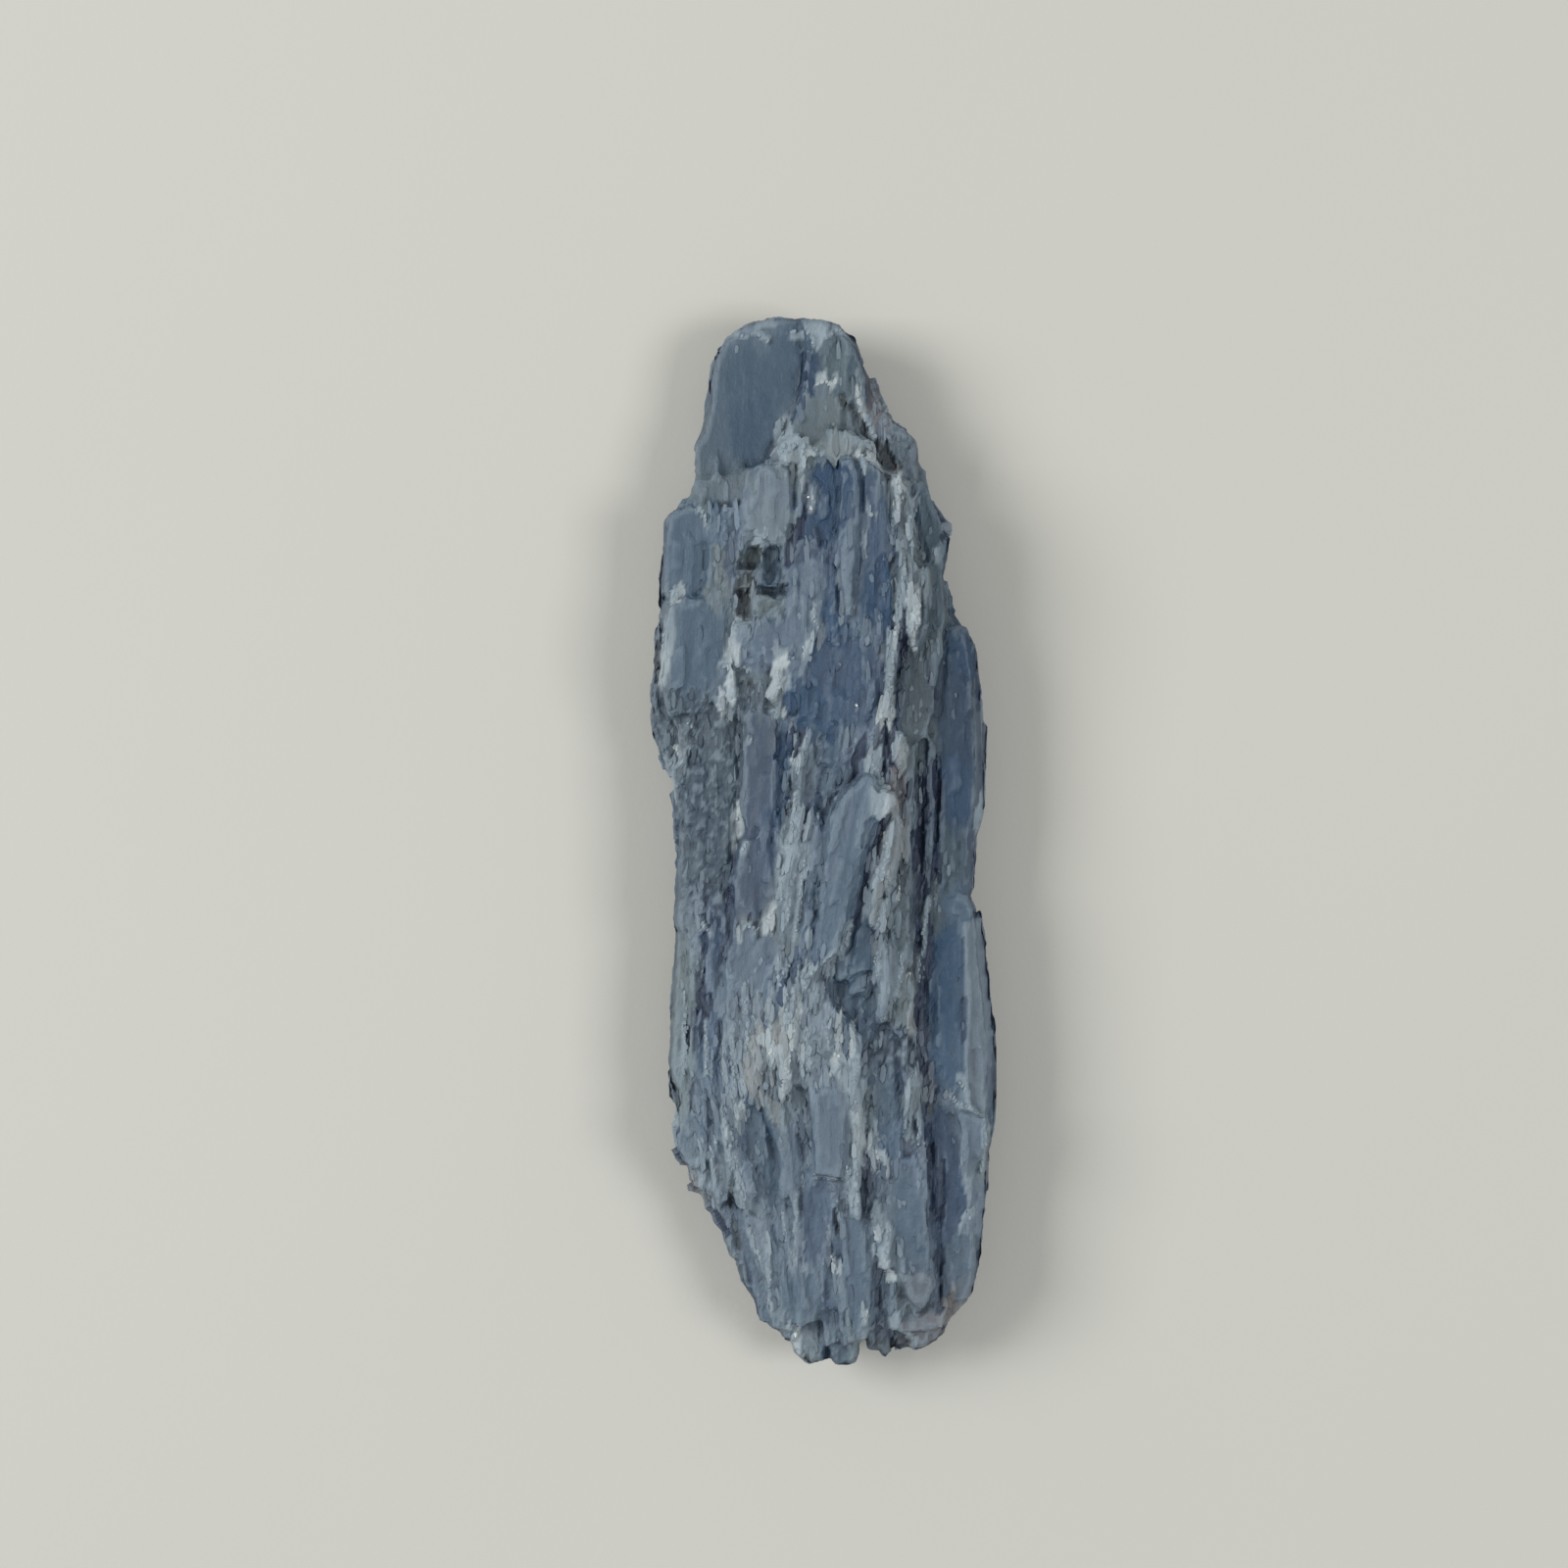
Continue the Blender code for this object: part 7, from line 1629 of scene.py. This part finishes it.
class Loose:
    """Loose pieces of one kind, joined into one mesh, each with a tone of its own."""

    def __init__(self, seed):
        self.pieces = bmesh.new()
        self.tones = []
        self.draw = random.Random(seed)

    def outline(self, shape):
        """The shape of a piece seen from above, one unit long and one wide."""
        draw = self.draw
        if shape == "splinter":
            return [(x * draw.uniform(*SPLINTER_WIDTHS), y) for x, y in SPLINTER]
        turns = [(k + draw.uniform(*FLAKE_TURNS)) * math.tau / CORNERS for k in range(CORNERS)]
        reaches = [draw.uniform(*FLAKE_REACHES) for _ in turns]
        return [(r * math.cos(t), r * math.sin(t)) for t, r in zip(turns, reaches)]

    def lay(self, x, y, size, tone, shape, lift=0.0, yaw=0.0):
        """Lays one thin plate on the skin; tells whether there was room for it."""
        length, width, thick = size
        place, normal = skin_below(x, y)
        if place is None or normal.z < STEEPEST:
            return False
        if read_map(inside, x, y) < length * 0.5 + EDGE_CLEAR:
            return False
        if place.z > highest.z - TOP_CLEAR or pit_depth(x, y, Vector()) > 0:
            return False
        draw = self.draw
        tilts = (draw.gauss(0.0, LOOSE_TILT), draw.gauss(0.0, LOOSE_TILT), 0.0)
        up = (normal + Vector(tilts)).normalized()
        along = Vector((fibre_slope(x, y) + yaw, 1.0, 0.0))
        along = (along - up * along.dot(up)).normalized()
        side = along.cross(up)
        top = place + up * lift
        self.raise_plate([side * (a * width) + along * (b * length)
                          for a, b in self.outline(shape)], top - up * thick, top)
        self.tones += [tone] * (2 * CORNERS)
        return True

    def raise_plate(self, ring, foot, top):
        """Draws a ring up from its foot to its top, which is a little smaller."""
        sole = self.pieces.faces.new([self.pieces.verts.new(foot + corner) for corner in ring])
        drawn = bmesh.ops.extrude_face_region(self.pieces, geom=[sole], use_keep_orig=True)
        risen = [part for part in drawn["geom"] if isinstance(part, bmesh.types.BMVert)]
        inset = Matrix.Scale(TOP_INSET, 4) @ Matrix.Translation(-foot)
        bmesh.ops.transform(self.pieces, matrix=Matrix.Translation(top) @ inset, verts=risen)

    def finished(self, name):
        """The mesh of these pieces, in metres, with what the kyanite material reads."""
        bmesh.ops.recalc_face_normals(self.pieces, faces=self.pieces.faces)
        for vert in self.pieces.verts:
            vert.co = within_box(vert.co)
        mesh = mesh_of(self.pieces, name)
        points = np.array([vert.co for vert in mesh.vertices])
        store_tone(mesh, np.array(self.tones))
        store_grain(mesh, points)
        store(mesh, "calm", "FLOAT", np.full(len(points), LOOSE_CALM))
        store(mesh, "ridge", "FLOAT", np.zeros(len(points)))
        mesh.transform(Matrix.Scale(MM, 4))
        mesh.materials.append(kyanite_material)
        return object_of(mesh, name)


print("corners of a loose piece:", CORNERS)

# %% Splinters and crumbs, most where the blades are frayed
SPLINTERS = 800
CRUMBS = 700
LOOSE_FADE = (-0.25, 0.46)
LOOSE_LIFT = (0.0, 0.07)
LOOSE_THICK = 0.3
LOOSE_YAW = 0.06
OUTLINE_CLEAR = 0.3


def scatter(loose, count, shape, widths, lengths_per_width):
    """Lays a number of pieces at random, by how frayed the skin is."""
    laid = 0
    draw = loose.draw
    while laid < count:
        x, y = draw.uniform(-HALF_WIDTH, HALF_WIDTH), draw.uniform(-HALF_LENGTH, HALF_LENGTH)
        place, _ = skin_below(x, y)
        if place is None or read_map(inside, x, y) < OUTLINE_CLEAR:
            continue
        calm = own_calm[skin_tree.find(place)[1]]
        if draw.random() > frayedness(x, y) * (1.0 - calm) ** 2:
            continue
        width = draw.uniform(*widths)
        length = width * draw.uniform(*lengths_per_width)
        tone = faded(tone_below(x, y), draw.uniform(*LOOSE_FADE))
        laid += loose.lay(x, y, (length, width, LOOSE_THICK), tone, shape,
                          lift=draw.uniform(*LOOSE_LIFT), yaw=draw.gauss(0.0, LOOSE_YAW))


splinters = Loose(31)
scatter(splinters, SPLINTERS, "splinter", widths=(0.24, 0.52), lengths_per_width=(2.6, 6.0))
crumbs = Loose(32)
scatter(crumbs, CRUMBS, "flake", widths=(0.25, 0.55), lengths_per_width=(0.9, 2.4))
print("splinters:", SPLINTERS, "crumbs:", CRUMBS)

# %% Ragged flakes along the rims
RIM_STEP = 0.30
RIM_FADE = (-0.15, 0.30)
RIM_LENGTHS, RIM_WIDTHS = (0.9, 1.8), (0.6, 1.1)
RIM_SPREAD, RIM_LIFTS = 0.06, (0.02, 0.10)
RIM_YAW, LEAST_RUN = 0.7, 0.3

rim_flakes = Loose(33)


def flakes_along(start, end, width, name):
    """Lays flakes a step apart along one straight run of a rim."""
    draw = rim_flakes.draw
    way = np.subtract(end, start)
    run = float(np.hypot(*way))
    yaw = float(way[0] / (abs(way[1]) + LEAST_RUN)) * RIM_YAW
    for step in range(max(1, round(run / RIM_STEP))):
        x, y = start + way * (step + draw.random()) * RIM_STEP / run
        size = (width * draw.uniform(*RIM_LENGTHS), width * draw.uniform(*RIM_WIDTHS), LOOSE_THICK)
        rim_flakes.lay(x + draw.gauss(0.0, RIM_SPREAD), y, size,
                       faded(TONES[name], draw.uniform(*RIM_FADE)), "flake",
                       lift=draw.uniform(*RIM_LIFTS), yaw=yaw)


for name, lines in RIMS.items():
    for width, line in lines:
        for start, end in zip(line, line[1:]):
            flakes_along(start, end, width, name)
print("flakes on rims:", len(rim_flakes.tones) // (2 * CORNERS))

# %% Near-white flakes, painted highlights where the light glints
PAINTED_GLINTS = [(-1.8, -33.6, 0.34), (1.7, -13.9, 0.24), (1.1, -14.4, 0.20), (-0.7, 22.5, 0.18),
          (-9.7, 5.9, 0.24), (2.35, 9.2, 0.18), (-0.9, 23.3, 0.16), (-3.5, -14.2, 0.16)]
GLINT_LENGTH, GLINT_LIFT = 1.3, 0.10

for x, y, size in PAINTED_GLINTS:
    rim_flakes.lay(x, y, (size * GLINT_LENGTH, size, LOOSE_THICK), TONES["painted_glint"], "flake",
                   lift=GLINT_LIFT)
print("flakes in all:", len(rim_flakes.tones) // (2 * CORNERS))

# %% [markdown]
# ## Ride and replace
# One body carries everything, because the specimen is one piece of rock.

# %% Hand over
PIECES = [body, splinters.finished("frayed_splinters"), crumbs.finished("broken_crumbs"),
          rim_flakes.finished("rim_flakes")]
for piece in PIECES:
    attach(piece, "root")
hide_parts(SOLID)
